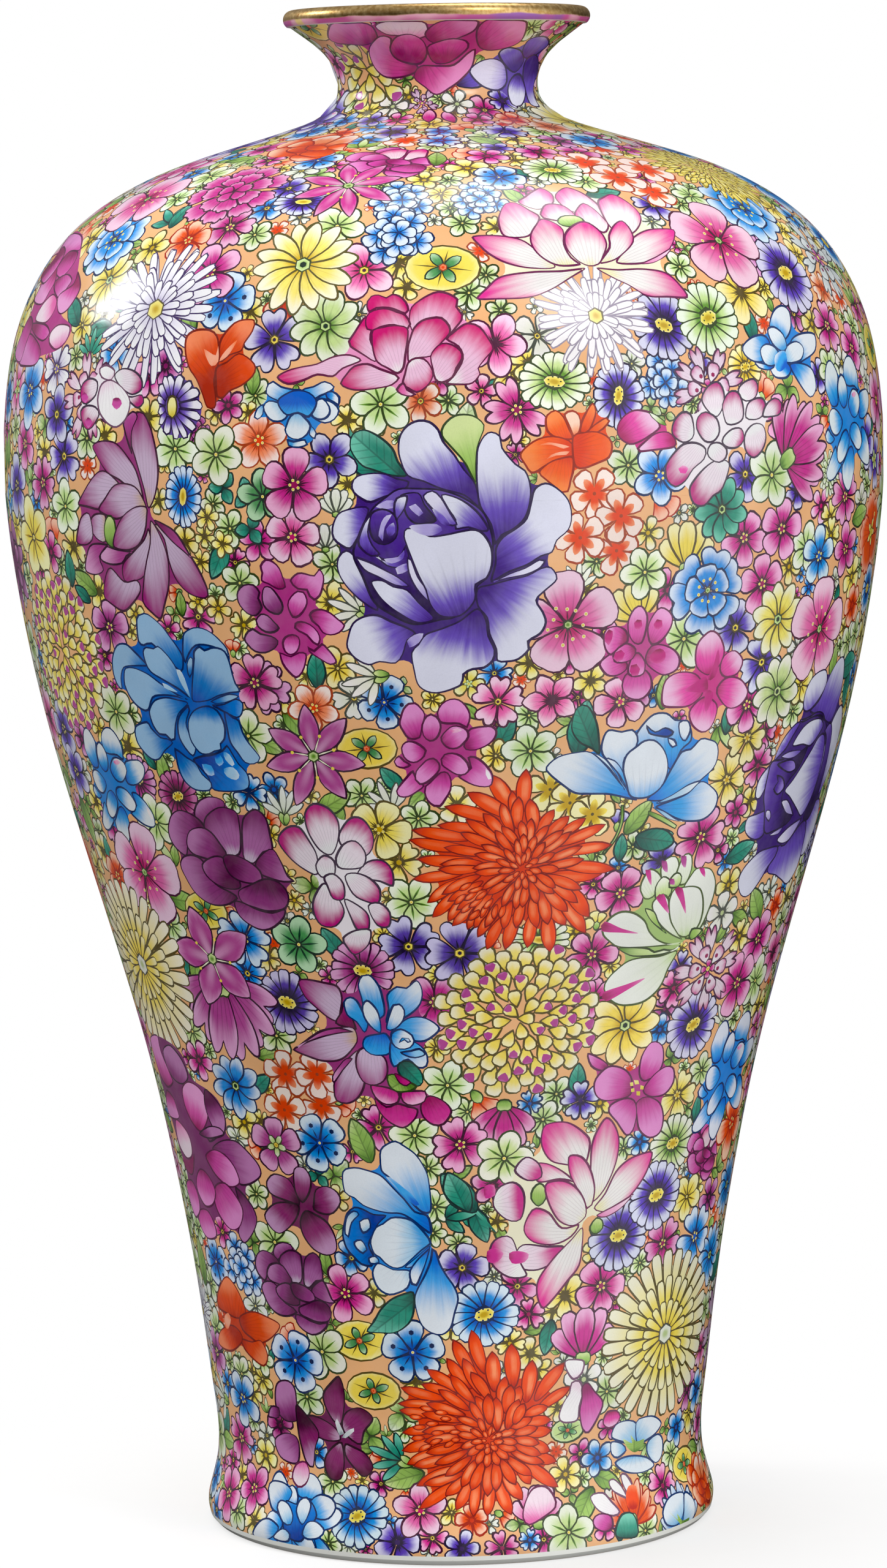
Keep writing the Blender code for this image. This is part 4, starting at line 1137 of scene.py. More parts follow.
t lotuspink 1,-1 -14,10.5 | -2,-1 -5,-2.5 -9,-1 -12,3 -14,8 -13.5,10.5 -9,11 -5,9 -2,5 -1,1
t lotuspink -2,-1 -12,-26 | -2,-3 -1.5,-8 -2,-14 -5,-18 -9,-23 -12,-25.5 -14,-22 -14,-17 -10,-11 -5,-6
m leaf 2,-5.5 2,-.5 | 0,-3 .5,-5 2.5,-5.6 4.5,-4 4.2,-1.6 2,-.6
@ green_lotus 40.5 170.7
b green -10.7,-16.7 -10.7,25.7 | -16.8,-16.7 -11,-16.3 -7.8,-14.5 -6.2,-12.9 -4.8,-9.9 -4.2,-6.5 -2.2,-2.9 -1.8,-0.7 -0.4,0.7 3.6,2.1 5.2,4.1 6.6,7.1 7.8,12.7 7.6,15.9 6.6,18.1 5,20.1 4,20.7 -1.6,21.5 -2.8,22.7 -3.6,25.1 -4.6,25.7 -5.8,25.7 -7.4,24.9 -10.8,25.1 -11.8,24.7 -13.8,22.3 -17.2,21.7 -18.6,18.5 -18.6,16.9 -17,13.7 -17.4,11.7 -19,10.3 -24.4,9.7 -26.8,7.7 -27.6,6.1 -27.2,3.5 -24,1.1 -22.4,0.5 -19.4,-2.3 -19.4,-4.9 -22.8,-8.3 -23.8,-10.5 -23.6,-12.1 -20.8,-15.3 -18.4,-16.5
m lotusgreen -12,13 -18,23 | -19,17 -18.5,20 -16.5,22.5 -13,20.5 -12,17.5 -14,14 -16.5,13.5 -18,15
n magenta -18,22.5 -15.5,17.5 | -18.2,22 -16.6,22 -15.3,17.5 -17,19.5
m lotusgreen -6,14 -13,25 | -12,18 -13.5,22 -12,25 -9,25.5 -7,22.5 -8,18.5 -10,16
m lotusgreen -5,15 -6,26 | -8,18 -7.5,23 -6,26 -3.5,25.5 -2.5,21.5 -4,17
m green -9,12 -12,20 | -13,13 -14,17 -12,20 -9,18.5 -8,15 -10,12.5
m green -6,16 -8,21 | -9.5,16.5 -9.5,19.5 -7.5,21 -5.5,19.5 -6,16.5
n plum -13.5,24.5 -11.5,21 | -13.5,24.5 -11.8,24.2 -10.8,21 -12.6,22
n plum -7,25.5 -5.5,22 | -7.2,25.5 -5.4,25.3 -4.9,22 -6.5,23
n plum -9.5,19 -8,17 | -9.8,19.2 -8.2,19 -7.6,17.2 -9.2,17.5
e lotusgreen 2,-1 2,22 | -1,21.5 2,21.5 5,20.5 7.5,17 8,13 7,8 5.5,4 3,1.5 0,1 -2,6 -4,12 -4.5,16 -3,19
n magenta .5,21.6 2.5,18.5 | 0,21.4 2,21.2 3,18.5 1,20
e lotusgreen 1,-1 -3,17 | 0,1.5 -4,3 -7,6 -8,9.5 -8.5,13 -7.5,16 -4,16.5 -1,16.5 2,15.5 4,12.5 5,8 4,4
n magenta -6.5,16.3 -1.8,8.5 | -7.2,15.9 -4.6,16.1 -1.6,8.6 -4.6,12.4
e lotusgreen 1,-1 -13,15.5 | -1,1 -5,2.5 -9,5 -12,8 -14,11.5 -13.5,13.5 -11,15 -8.5,13.5 -7.5,10 -6,6.5 -3,3
n magenta -12,15 -7.8,9.3 | -13,14 -10.6,14.7 -7.6,9.2 -10.4,11.2
e lotusgreen 4,0 -29,6 | -1,0 -6,.5 -10,2 -13,4.5 -15,7.5 -19,10 -23,10.5 -26,9 -28,6 -27.5,3.5 -25,1.5 -22,0 -16,-.3 -8,-.3
n magenta -28,6.2 -16.5,3.8 | -27.9,4.7 -27.6,7.4 -22,5.4 -16.5,3.9 -22,4.2
m green -22,0 0,-1.5 | -22,-.2 -16,0 -12,-.5 -10,-1.5 -7,-1 -4,-1.5 -1,-.3 -3,-2 -8,-3 -14,-3 -18,-2.5
m leaf -5,4 -16,12 | -16,11 -14,8 -11,5.5 -7,3.2 -10.4,6.8 -12.6,10
e lotusgreen 0,1 -24,-14.5 | -2,-2 -8,-3 -14,-3 -18,-3.8 -21,-6 -23.5,-9 -24,-12 -21,-15.5 -17,-17 -11,-16.5 -7,-14 -5,-11 -4,-7
n magenta -24,-14.5 -11.5,-9.3 | -24,-13 -22.5,-15.4 -17,-12.6 -11.5,-9.2 -17.5,-10.8
m leaf .5,1 6.5,3 | 1,1.5 1.5,4 4,4 6,3 4,1 2,.5
@ blue_camellia 30.4 212
b heroblue -0.5,-6.3 -0.5,24.7 | 13.4,-6.3 17,-6.1 19.6,-4.7 20.8,-2.7 21,-0.9 20.6,0.3 16.8,3.7 16.4,5.1 16.6,6.9 18.4,9.3 18.8,11.3 18.6,12.9 17.8,14.9 17,15.5 13.4,16.7 11.4,16.5 10,16.9 8.8,18.1 7,22.3 2.8,22.7 0,24.7 -3.8,24.7 -5.8,23.5 -8.4,20.7 -11.2,20.3 -16.8,20.7 -18,19.1 -18.6,16.3 -19.8,15.1 -28.8,13.7 -31,12.5 -32.6,10.5 -32.6,9.7 -31.2,8.1 -25,3.9 -22.8,3.3 -13.8,3.3 -6.8,1.5 -2.8,1.5 -0.8,-0.1 -0.4,-1.1 5.2,-4.7
m leaf -2,-2 8,-8 | -2,-2 3,-4 8,-7 7.5,-8 2.5,-5.5 -2,-3.2
m leaf -9,0 -13,-14 | -9.5,0 -9,-5 -10.5,-10 -13.5,-14 -14.3,-13.4 -11.6,-9.6 -10.2,-5 -10.6,0
d teal -18,13.5 -26,28 | -18.5,14 -21,15.5 -25,17.5 -27.5,21.5 -26.5,27 -23.5,27.5 -20.5,23.5 -19,18.5
d teal -5,-9 8,-11.5 | -5,-9.3 -2.5,-7.5 1.5,-7 5.5,-8.3 8,-11.6 5,-13.8 1,-13.8 -3,-12.6
h heroblue -4,-1 -34,10.5 | -6,1 -14,2.8 -19,3 -24,3.2 -28,5.5 -32,8.5 -33,10.5 -30,13.5 -25,14.8 -21,14.8 -16,11 -11,6 -7,3
m heroblue 1,6 -4,25.5 | -8,16 -9,19 -7,22.5 -4,25 0,25 3,23 6,22.5 8.5,20 9,16.5 6,14 4,9 2,10 0,14 -4,17
w heroblue 3,15 7,23 | 4,22 7,22.5 8.5,19.5 7,16.5 5,18
d bluedeep -2,17 -6,22 | -6,22 -3,20 0,21 3,19.5 1.5,18 -2,18.5 -5,19.5
w bluepale 1,15 4.5,17.5 | 1,18 3.5,17.5 4.5,15.5 3,15 1.5,16.5
h heroblue -6,1 -15,22 | -10,4 -13,9 -18,14 -18.5,18 -17,21 -13,20.5 -10,21 -8,19 -8,16 -11,13 -11,9
m bluepale -9,3 -21,15 | -20.5,14.5 -15,10 -10,4.5 -9,3.5 -13,8.5 -17,13
m heroblue -9,3 -17,13 | -17,13 -12,8 -9,3.5 -11,9 -14,12.5
h heroblue -3,-2 20,14 | -3,1 1,5 3,9 6,14 9,14.5 12,17 15,16.5 18,15 19,11.5 18,8 14,5 10,2.5 4,.5
m bluepale -1,0 14,5 | 0,0 5,2 10,4.5 14,5 11,2 6,.5 2,-.3
m heroblue -2,-1 21,-1 | 0,-1 5,.5 10,2 14,4.8 18,3 21,0 20.5,-4 17,-6.5 12,-6.5 8,-5.5 3,-3
m bluepale -1,-1 10,-6 | -1,-1 3,-2.5 7,-5 10,-6.2 5,-5 1,-2.5
w heroblue -3,-4 -5,18 | -8,2 -10,6 -11.5,10 -11,14 -8,16.5 -6,17.8 -3,17.8 0,15.5 2,12 2.5,8 1,4 -3,1.5
@ violet_peony_right 60 214
b herodark 5.2,-32.4 5.2,32.2 | -12.6,-32.4 -9.6,-32 -5.8,-28.6 -4.4,-26.8 -3,-26.4 2.6,-27.4 8.8,-29.8 11.6,-31.4 14,-31.8 18.4,-29.6 19.8,-28 20.2,-26.4 21.4,-25.2 24,-24.8 25.8,-23.6 27.8,-21.6 29,-19.6 29.8,-16.8 29.8,-14.2 28.6,-11.8 26,-9.2 25.6,-7 26,-5.6 29.4,-2.2 32.2,3.2 32.8,6.6 32.2,10.8 30.2,14.8 28.2,16.8 27,17.4 24,17.8 22.4,19.2 22,20.6 22.2,23.8 21.4,27.4 19,31.6 17.8,32.2 15.4,32 13,31.2 10.4,28.8 9,28.4 7.2,28.6 4.8,30 -0,29.4 -2,28.4 -3.6,26.8 -4.4,25.2 -4.8,22.4 -3.8,19.4 -4.2,17.4 -5.4,16.2 -9,14.4 -11,12.6 -12.6,10 -13.6,6.6 -17.2,3.4 -18.8,1.2 -19.2,-2 -18.6,-4 -17.4,-5.2 -17.2,-7 -17.6,-8.4 -19.8,-10 -20,-12 -19.2,-13.8 -15.6,-15.8 -13.2,-16.4 -11.8,-18 -11.6,-19.6 -12,-21 -15.2,-23.4 -16.8,-26.6 -16.6,-28.2 -15.6,-30.2
v heroviolet 5,15 -1,31 | -4,19.5 -5,24 -3,28 1,30 6,30 8,26 5,22 0,19
m heroviolet 11,11 18,33 | 0,19 5,22 9,28 14,32 19,32 22,26 22,20 18,14 12,15 6,17
v heroviolet 10,-4 32,12 | 17,9 20,15 26,18 31,14 33,7 31,0 26,-6 19,-8 17,-2
m heroviolet 10,-10 29,-22 | 16,-11 20,-9 26,-9 30,-14 29,-20 24,-25 19,-24 16,-18
m heroviolet 6,-14 12,-34 | 0,-19 4,-19 12,-14 17,-14 20,-20 20,-28 14,-32 8,-30 3,-28 -3,-26
v heroviolet 3,-19 -16,-31 | -6,-19 -11,-20 -16,-24 -17,-28 -14,-32 -10,-32.5 -6,-29 -3,-25 0,-22 0,-19
d herodark 18,-14 18,14 | 14,12 18,14 22,10 24,0 22,-10 18,-14 13,-12.5 17,-6 18.5,2 17,9
m heroviolet -7,8 -14,12 | -14,6 -13,10 -10,14 -6,16.5 -4,16 -7,12 -9,9 -12,7
v heroviolet -12,0 -20,-1 | -15,5.5 -18,3 -19.5,0 -19,-4 -16.5,-4.5 -14.5,0 -14,4
m heroviolet -8,-11 -21,-11 | -12,-8 -16,-8.5 -20,-9.5 -20,-13 -17,-15.5 -13,-16.5 -10,-15 -11,-12
d herodark 2,0 -14,0 | -15,6 -10,6.5 -5,7.5 0,8 4,9 1,3 -3,0 -5,-3 -4,-7 0,-9 4,-11 2,-13 -5,-14.5 -10,-14.5 -13,-8 -15,-4 -15.5,1
m herodark -13,4 -2,3 | -12,5 -8,6 -3,5.5 -1,3 -4,2 -8,3
m herodark -11,0 -6,-2 | -11,2 -7,1 -5,-2 -8,-4 -11,-2 -9.5,0
m violetpale -9,-12 -12,-8 | -10,-8 -12,-8 -11.5,-10 -9,-11.5 -8.5,-10
m violetpale 6,-12 -5,-6 | -5,-6 -2,-5.5 2,-8 5,-11 0,-10 -3,-8
m violetpale 0,-13 -7,-15.5 | -7,-15.5 -3,-14 0,-13.5 -2,-15.5
m violetpale 12,-12 0,-17 | -2,-17 2,-14.5 7,-13 12,-12.5 9,-16 5,-18.5 0,-18.5
d herodark 14,13 -5,17 | -5,17 0,17.5 5,18.5 10,17.5 14,14 16,12 13,14.5 8,16.8 2,16.8 -3,16
v heroviolet 11,7 0,17 | -6,9.8 -3,14 1,16 6,16.5 10,15.8 12,13.5 9,10.5 5,8.5 0,9.5
d violetpale 1,8 -11,7 | -11,7 -8,8.3 -4,8.5 0,8 -3,6.3 -7,6
v heroviolet 24,0 -5,-3 | -4.5,-3 -1,0 3,4 7,8 10,11 14,11.5 17,8 18,2 17.5,-4 15,-9 11,-12 7,-10 3,-7.5 -1,-5
@ plum_peony -33.2 195.8
b plumrose -3.7,-18 -3.7,19.2 | 3.9,-18 8.1,-17 11.1,-14.6 13.7,-9.4 13.9,-5.8 15.9,-4 14.3,-1.6 13.3,2.6 12.1,4.6 11.9,12.2 10.7,15.2 9.9,16 8.3,16.2 5.9,14.8 3.1,14.8 2.3,15.6 0.7,16.2 -1.5,18.8 -5.3,19.2 -9.5,17.6 -10.7,15.6 -12.3,14.2 -14.1,14 -16.7,14.4 -17.9,14.2 -19.5,13.2 -22.1,9.8 -22.5,6.2 -21.5,4 -19.9,2.4 -19.7,0.4 -20.3,-1.2 -20.3,-2.8 -17.5,-8.2 -14.5,-10.8 -11.9,-11.8 -4.9,-11.6 -3.1,-13.2 -1.7,-15.4 1.5,-17.4
m plumrose -4.6,12.3 -8.2,18.6 | -11.7,14.5 -9.6,17.8 -5.5,19.5 -1.5,19 -0.3,17.4 -2.5,14.5 -7,12.8 -9.1,10.6 -11.4,11.8
m plumrose -10.1,8.4 -21.8,9.9 | -17.6,1.3 -21.6,3.7 -22.9,7.7 -20.7,12.5 -16.9,14.7 -12.6,14.1 -9.2,12 -8.6,9.2 -13.4,7.4 -15.9,4.3
t plumpale 1,2.9 -2,16.6 | -9.1,10.6 -7.6,13.8 -2.9,16.6 1.1,16.4 3.1,15.1 3.2,11.3 2.8,7.1 1.3,3.2 -3.6,2.2 -6.1,5.9 -7.9,8.6
t plumpale 2,2.2 8.6,15.6 | 2.7,6.4 3.5,11.3 5,14.5 8.8,16.6 11.7,14.2 12.2,9.3 12,4.9 8.9,4.1 5.2,0.9 2.4,2.2
m plumrose 4.9,1.6 15.7,-3.8 | 6.1,-1.8 5.6,1.3 9.3,4.5 12.1,5.2 13.8,1.7 15.1,-2.4 16.7,-4 13.4,-4.4 9.2,-3.3
m plumrose -3.5,2.6 -15.6,7.2 | -16.6,5 -14.5,9 -10,10.5 -6.7,9.4 -4.2,6.1 -2.8,3 -6.4,0.7 -10.9,1.2 -15.1,2.2
m plumrose -3.8,-2.3 -19.5,-6 | -20.7,-1.5 -18.7,1.3 -14.6,2.2 -11.3,0.6 -11.1,-2.9 -7.8,-6 -3.8,-7.6 -2,-9.4 -6.4,-11.8 -12,-12 -16.7,-9.5 -19.4,-5.4
d plumrose -2.7,-2.9 -10.8,-0 | -12.4,-0.4 -8.7,2.1 -5,2.6 -2.2,0.6 -0.5,-2.8 -0.3,-6.2 -3.9,-7 -8,-6.1 -11.5,-3.8
d plumrose -3,1.2 6.5,-3.9 | -4.5,2.4 -1,3.3 3.6,1.8 6.9,-0.9 7.1,-4.1 3.7,-5.1 -1.2,-4.2 -3.9,-1.9
d plumrose 6.8,-3.9 5.1,-12.4 | -1.5,-7.2 2.6,-5.1 7.9,-3.1 12.1,-4.2 14.2,-7.9 12.5,-11.8 7.2,-12.9 2.1,-11.7 -1.1,-10.3
m plumrose 5.7,-9.5 4.6,-18 | -3.5,-10.2 -0.3,-10.4 3.6,-12.1 8.1,-12.9 12.1,-11.7 11.8,-14.1 8.1,-17.3 3.8,-18.4 -0.7,-16.5 -3.3,-13.7
@ white_orchid -17.3 192.7
b orchidtip 2.3,-20.7 2.3,21.7 | 2.3,-20.7 3.9,-20.7 6.5,-18.7 7.7,-16.7 8.1,-14.9 9.3,-13.7 12.7,-13.3 13.3,-12.7 13.9,-10.1 13.1,-7.9 11.9,-6.7 11.7,-4.5 12.1,-3.1 13.3,-1.9 15.3,-1.5 15.7,2.1 14.5,4.7 12.5,5.9 11.1,7.5 10.9,9.5 11.5,13.3 9.9,16.7 8.1,17.9 4.9,17.3 2.9,17.5 -0.1,20.7 -3.7,21.7 -5.7,20.1 -6.5,17.1 -7.9,15.5 -10.9,15.1 -12.1,14.5 -14.1,12.9 -14.9,10.7 -13.9,8.3 -11.9,5.7 -5.1,0.7 -4.7,-0.7 -4.9,-2.3 -6.7,-5.3 -7.3,-7.7 -6.7,-10.9 -5.3,-12.7 -4.1,-13.3 -1.7,-13.5 -0.1,-14.9 0.3,-17.7
t orchidtip -2.4,8.2 -4.8,20.9 | -6.7,18.8 -3.8,21.9 0.5,20.6 2.8,16.6 2,11.1 -0.3,7.2 -3.6,8.5 -6.3,13.5
t orchidtip -4.5,1.9 -13.4,13.3 | -15.3,10.9 -12.2,14.8 -8.4,15.1 -5.9,11.2 -4.2,6.8 -4.8,1.5 -8.5,2.7 -12.7,6.2
t orchidtip 3,8.3 9.5,16.3 | 2.3,13.5 5.8,17.9 9.4,17.6 11.7,13.2 11,8.8 8.2,6.5 4.8,7.9 2.3,10.3
t orchidtip 5.6,1.4 15,4 | 6,1.8 9.2,5.5 13.3,5.9 15.8,2.9 15.5,-1.9 12,-0.5 8.7,0.3
t orchidtip 3.6,1.4 10.8,-5.6 | 2.6,1.3 5.7,2.4 9.6,0.9 12.1,-2.5 11.1,-6.6 7.4,-6 4.2,-3.8
t orchidtip 2.2,-4.9 6.6,-13.6 | 1.8,-5.1 5.5,-6.8 8.1,-9.8 7.6,-14.2 4.4,-14.4 2.7,-9.9
t orchidtip 7.3,-7.7 13.1,-11.9 | 8,-7.1 11.4,-6.1 14,-9.1 13.3,-13.3 9.9,-12.9
t orchidtip 3.8,-14.7 3.2,-20.6 | -0,-16.3 3.9,-13.9 8.2,-13.9 7.2,-18.3 3.1,-21.3 0.8,-19.1
t orchidtip -1.4,-1.4 -3.1,-12.7 | -7,-5.3 -3.3,-0.6 0.2,-4.7 1.6,-9.1 -1.3,-13.2 -5.5,-13.1 -7.4,-9.5
d orchidtip 1.1,2.8 6.8,10.1 | 0.5,6.5 3.1,10.5 6.7,11.4 9.2,7.8 8.1,3.9 3.7,3.1 1,3.7
d orchidtip -1.8,1.3 -2.2,6.8 | -5.2,4.3 -2.5,7.4 0.5,5.7 -0.2,1.2 -4,0.8
t orchidtip -1.8,1.3 0.9,-4.9 | -3.4,1 -0.4,2.2 2.3,-0.7 1.9,-5.2 -1.3,-5.3 -2.7,-1.6
@ neck_peony -6.3 464.4
b neckrose -0.5,-11.5 -0.5,12.9 | 2,-11.5 3.2,-11.5 10.8,-7.3 12.4,-5.7 13.2,-3.5 14.8,-2.1 16.4,-1.9 19.8,-3.1 23.8,-3.7 26.6,-3.3 27.6,-1.9 28.2,1.1 28,5.3 27,6.7 18.6,10.3 15.8,10.3 13,11.5 7.6,12.5 2.4,11.5 -1,12.9 -8,12.5 -12.4,10.5 -16.6,10.7 -21,9.1 -24.2,8.5 -25.2,7.5 -28.2,1.3 -28.6,-0.7 -28,-1.9 -25.6,-1.9 -20.2,0.1 -17.8,-0.1 -16.2,-1.5 -15.2,-5.3 -13.2,-7.3 -11.6,-7.9 -9.6,-7.9 -5.4,-6.7 -3.4,-6.9
m neckrose -16,1.1 -22.4,9 | -29,-0.7 -25.4,7.8 -20.6,9.7 -15.6,11.2 -12.8,9.9 -12.4,4.4 -16.4,0.8 -21.4,-0.7 -26.5,-2.3
w pinkpale -3.9,5.3 -4,13 | -12.3,9.9 -9.4,12.4 -5.1,12.9 -0.9,13.1 1.6,12 1.5,6.8 -2.6,4.8 -6,6.2 -9.8,6.6
m neckrose 2.6,4.3 13.6,11.6 | 0.5,7.2 3.1,11.3 6.5,12.8 11.7,12 15.1,10.7 13.7,6.5 8.2,4 2.5,3.4
m neckrose 14.5,1.4 25.1,7.9 | 14.1,6.7 16.8,10.8 21.1,9.5 27,7 28.5,3.9 27.2,-3.3 20.9,-3.6 15,-0.8
t neckrose -3.6,-4.3 -15.1,-0.3 | -16,-0.5 -11.9,5.7 -8.5,5.3 -8.8,0.9 -7,-2.4 -2.4,-3.3 -2.3,-5.6 -6.9,-7.7 -11.8,-8.2 -15.4,-5.6
m neckrose -1.4,-3.7 6.5,-9.9 | -3.4,-7 -1.5,-3.8 3.1,-3.8 7.5,-4 11.1,-1.6 13.9,-0.6 12.7,-5.8 9,-8.8 5.6,-10.6 2.2,-12.1 -0.5,-9.7
d neckrose -4.1,-2.6 -3.2,6.2 | -9.7,1.4 -7.2,6.1 -3.1,7.4 -0,4.6 0.8,-0.2 -1.3,-3.5 -5.3,-3.5 -8.8,-2
d neckrose 5.3,-2.3 6.4,4.7 | 0.6,2 4.1,4.2 8.1,4.8 11.6,3.1 12.1,0.2 8.8,-2.6 5.2,-3.8 1.8,-2.8
@ neck_violet 44.3 457.7
b heroviolet 4,-9.4 4,12.8 | 8.5,-9.4 9.5,-9.4 11.5,-5.6 14.7,-2 17.7,-0.6 18.1,-0 17.5,1 16.5,1.4 12.7,4.6 12.3,6.6 13.3,9 11.9,10.4 9.7,11.6 6.9,12.8 2.9,12.4 2.1,11.6 1.7,9.8 0.5,8.6 -4.5,7.8 -5.5,5.8 -6.7,4.6 -10.3,3.4 -12.3,1.6 -12.3,-0.2 -9.7,-2.4 -6.1,-3.8 -2.5,-4.4 -1.3,-5.6 -0.9,-8.4 -0.1,-9 4.5,-7.8 5.9,-8.2 6.9,-9.2
w violetpale -0,-0 -12,0.1 | -12.9,0.5 -10.4,3.6 -6.2,4.7 -1.8,2.9 -0.2,-1.7 -3.6,-4.3 -8.7,-3.3
d heroviolet 1.2,1.7 -3.1,8.2 | -5.6,6.2 -3.4,8.5 1.9,7.5 5.2,3.8 2.5,0.7 -2.1,2.5
d heroviolet 5.2,4.6 7.1,12.7 | 2.1,7.7 2,12 7,13 13.5,9.1 9.8,5.4 5,4.8
m heroviolet 7.2,0.5 8.4,-9.3 | 6,-0.2 5.8,4.6 10.4,5.8 18.4,0.2 14.4,-2.8 11.4,-6.7 9.6,-9.7 5.9,-8.8 7,-4
w heroviolet 2.5,-0 0,-8.8 | -0.3,-2.9 2.2,0.3 5.6,0.2 7.6,-4.1 1.8,-9.1 -1.1,-8.6
@ red_lily -29.0 329.8
b redorange 0.7,-10.3 0.7,12.3 | -2.2,-10.3 -0.8,-10.3 -0.4,-9.3 1,-7.9 2.6,-7.3 3.8,-5.9 8.4,-3.9 10.6,-1.1 10.8,-0.1 10.4,0.8 7.2,3.3 6.8,4.8 7,6.8 9,10.3 9.2,11.5 8.8,12.3 4.6,12.3 3.2,11.5 1,9.1 -0.4,8.8 -2,9 -4,10 -7.2,10.1 -10.4,9.1 -10.8,8.5 -11.2,6.1 -10.4,2.9 -8.4,-0.9 -6.6,-2.5 -5,-5.1 -3.2,-9.5
m redorange -0.3,-2.4 -8.7,9.8 | -11.2,4.9 -11.1,8.6 -8.3,10.3 -3.9,10.2 -1.3,8.5 -0.2,4.9 -0,0.8 -0.9,-3.2 -0,-8.3 -0.5,-10.6 -2.9,-10.4 -4.5,-7.1 -6.7,-3.1 -9.4,0.1
m redorange 0,1.2 8.1,12.2 | -0,1.4 -0.7,4.9 -0.3,7.7 2,10.9 4.5,12.6 9.1,12.7 9.1,9.6 7.2,6.4 6.5,4.3 3.1,3.1 1.1,1.5
d redorange 0.1,-4.8 10.9,0.8 | -0.9,0 2.3,1.6 5.7,3.8 9.5,2.1 11.1,0 10.3,-2.4 7.3,-4.8 3.8,-6.3 2.1,-8 -0.1,-7.7 -0.8,-4.1
n blush -0.8,-0 -3.7,5.7 | -2.2,0.4 -4.3,3.2 -5,4.9 -3.1,4 -1.1,3.2 -0.7,5.7 -0.2,1.6
n blush 0,1.6 3.1,6.4 | 0.1,1.6 0.9,3.4 2.8,5.6 4.8,7.2 3.7,4.8 2.2,2.8
@ orange_hibiscus 15.8 308.5
b hotorange -1.2,-11.5 -1.2,10.3 | -3.4,-11.5 -1.4,-11.3 -0.4,-7.7 1,-6.1 9,-3.9 10.6,-2.1 10.6,0.5 9.2,3.3 9.4,5.3 10,6.3 9.4,6.9 8,7.1 6.6,8.5 6,10.3 4.2,8.7 2.8,8.3 0.6,8.7 -2,8.3 -4,8.9 -5.4,8.7 -6.8,7.3 -7.4,3.1 -8.6,1.9 -11.2,0.7 -13.2,-0.9 -13.6,-1.7 -13.6,-2.9 -12.4,-4.3 -11.8,-5.9 -8.2,-7.3 -6.8,-8.9 -5.2,-9.7
m hotorange -0.7,0.4 -4.6,8.8 | -7.3,6.1 -6.7,8.1 -4.2,9.3 -2.1,7.5 -0.6,4.3 0.4,1.7 -2.4,1.5 -5.2,2.3 -6.9,3.8
w paleorange 0.5,1.9 -0.1,8.8 | -2.2,8.2 0.3,9.2 2.1,7.8 2.4,5 1.4,2.5 0.1,2.1 -1.1,5.1
m hotorange 2.2,3.1 6.3,10.9 | 1.9,3 2.2,5.8 4,9 5.9,10.9 6.8,8.6 6.1,6.1 4.8,3.7 3.5,2.9
m hotorange 3.4,3.2 10.3,6.6 | 4.1,3.3 6,5.3 9.4,7.1 10.5,6.1 8.5,3.9 5.9,2.8
m hotorange -0,-0.8 -13.8,-1.9 | -14,-1.7 -10.5,1.5 -6.4,2.7 -2.4,2.1 0.2,0.4 0.1,-2.8 -2.6,-4.3 -6.6,-5 -9.1,-6.5 -11.2,-6.9 -12.8,-4.7
m hotorange 0.2,-2.8 -2.6,-11.9 | -9.2,-6.6 -6.6,-4.2 -3.4,-3 0.2,-2.7 0.5,-5.9 -0.4,-9 -1.3,-11.9 -3.1,-12.1 -5.1,-10.5 -7.6,-8.5
d hotorange -0,-1.2 10.9,-1.1 | -0,2.4 2.6,3.3 6.7,3.5 10.2,1.8 11.1,-0.7 10.1,-3.5 6.6,-5 3.1,-6.1 0.7,-5.7 -0.2,-2.7
n blush -0,-0.8 -6.5,0.6 | -0.8,-0.3 -3.3,0.5 -6.5,1 -8.9,0.3 -5.7,0.4 -2.4,-0.7
n blush -0.4,-2 -5.7,-2.6 | -0.8,-1.5 -3.3,-1.5 -5.7,-2.2 -7,-3.3 -4.5,-2.4 -1.7,-2.3
@ tall_peony -59.1 109.5
b plumrose 2.2,-26.1 2.2,19.7 | -8.1,-26.1 -5.5,-26.1 -1.7,-24.9 -1.1,-23.9 -1.3,-21.5 -0.9,-20.1 0.3,-18.9 1.7,-18.5 3.7,-18.9 5.1,-20.3 6.9,-21.3 9.7,-21.7 12.1,-24.5 13.1,-24.5 14.1,-23.9 17.9,-20.3 19.7,-16.7 18.5,-13.3 17.3,-11.9 17.1,-10.3 17.5,-8.9 18.9,-7.5 24.3,-4.9 24.9,-3.9 24.9,-2.7 24.1,-0.9 20.5,2.9 18.5,4.3 15.5,5.1 14.3,6.3 13.9,8.3 14.9,10.7 14.9,12.1 13.7,15.1 11.9,16.9 8.1,17.5 5.9,19.7 1.3,19.7 -4.1,17.5 -5.3,16.3 -6.3,14.3 -6.9,10.1 -8.5,8.7 -10.7,8.5 -13.3,7.3 -14.5,6.3 -15.9,3.7 -16.7,0.5 -16.9,-4.1 -16.5,-6.1 -15.5,-7.5 -15.3,-9.3 -15.7,-10.7 -18.1,-12.5 -18.3,-13.1 -17.9,-17.3 -17.1,-19.5 -15.7,-21.1 -13.1,-21.7 -10.7,-24.7
m magentarose -3.1,-1.5 -7.3,9 | -14.5,6.7 -8.4,9 -6,4.1 -6,-1.9 -10.5,-8.5 -16.3,-6.9 -16.9,0.2
m magentarose -1,0.8 2,19.4 | -4.4,17.7 2.3,20.2 6.9,19.5 8.4,16.1 7.9,11 4.4,5.9 -1.6,4.5 -5.8,8.1 -6.8,13.1
m plumrose 3.1,1.4 13,17 | 6.3,14.9 10.9,17.6 14.7,14.1 14.8,9.6 10.3,5.5 4.7,3.3 4.2,7.6
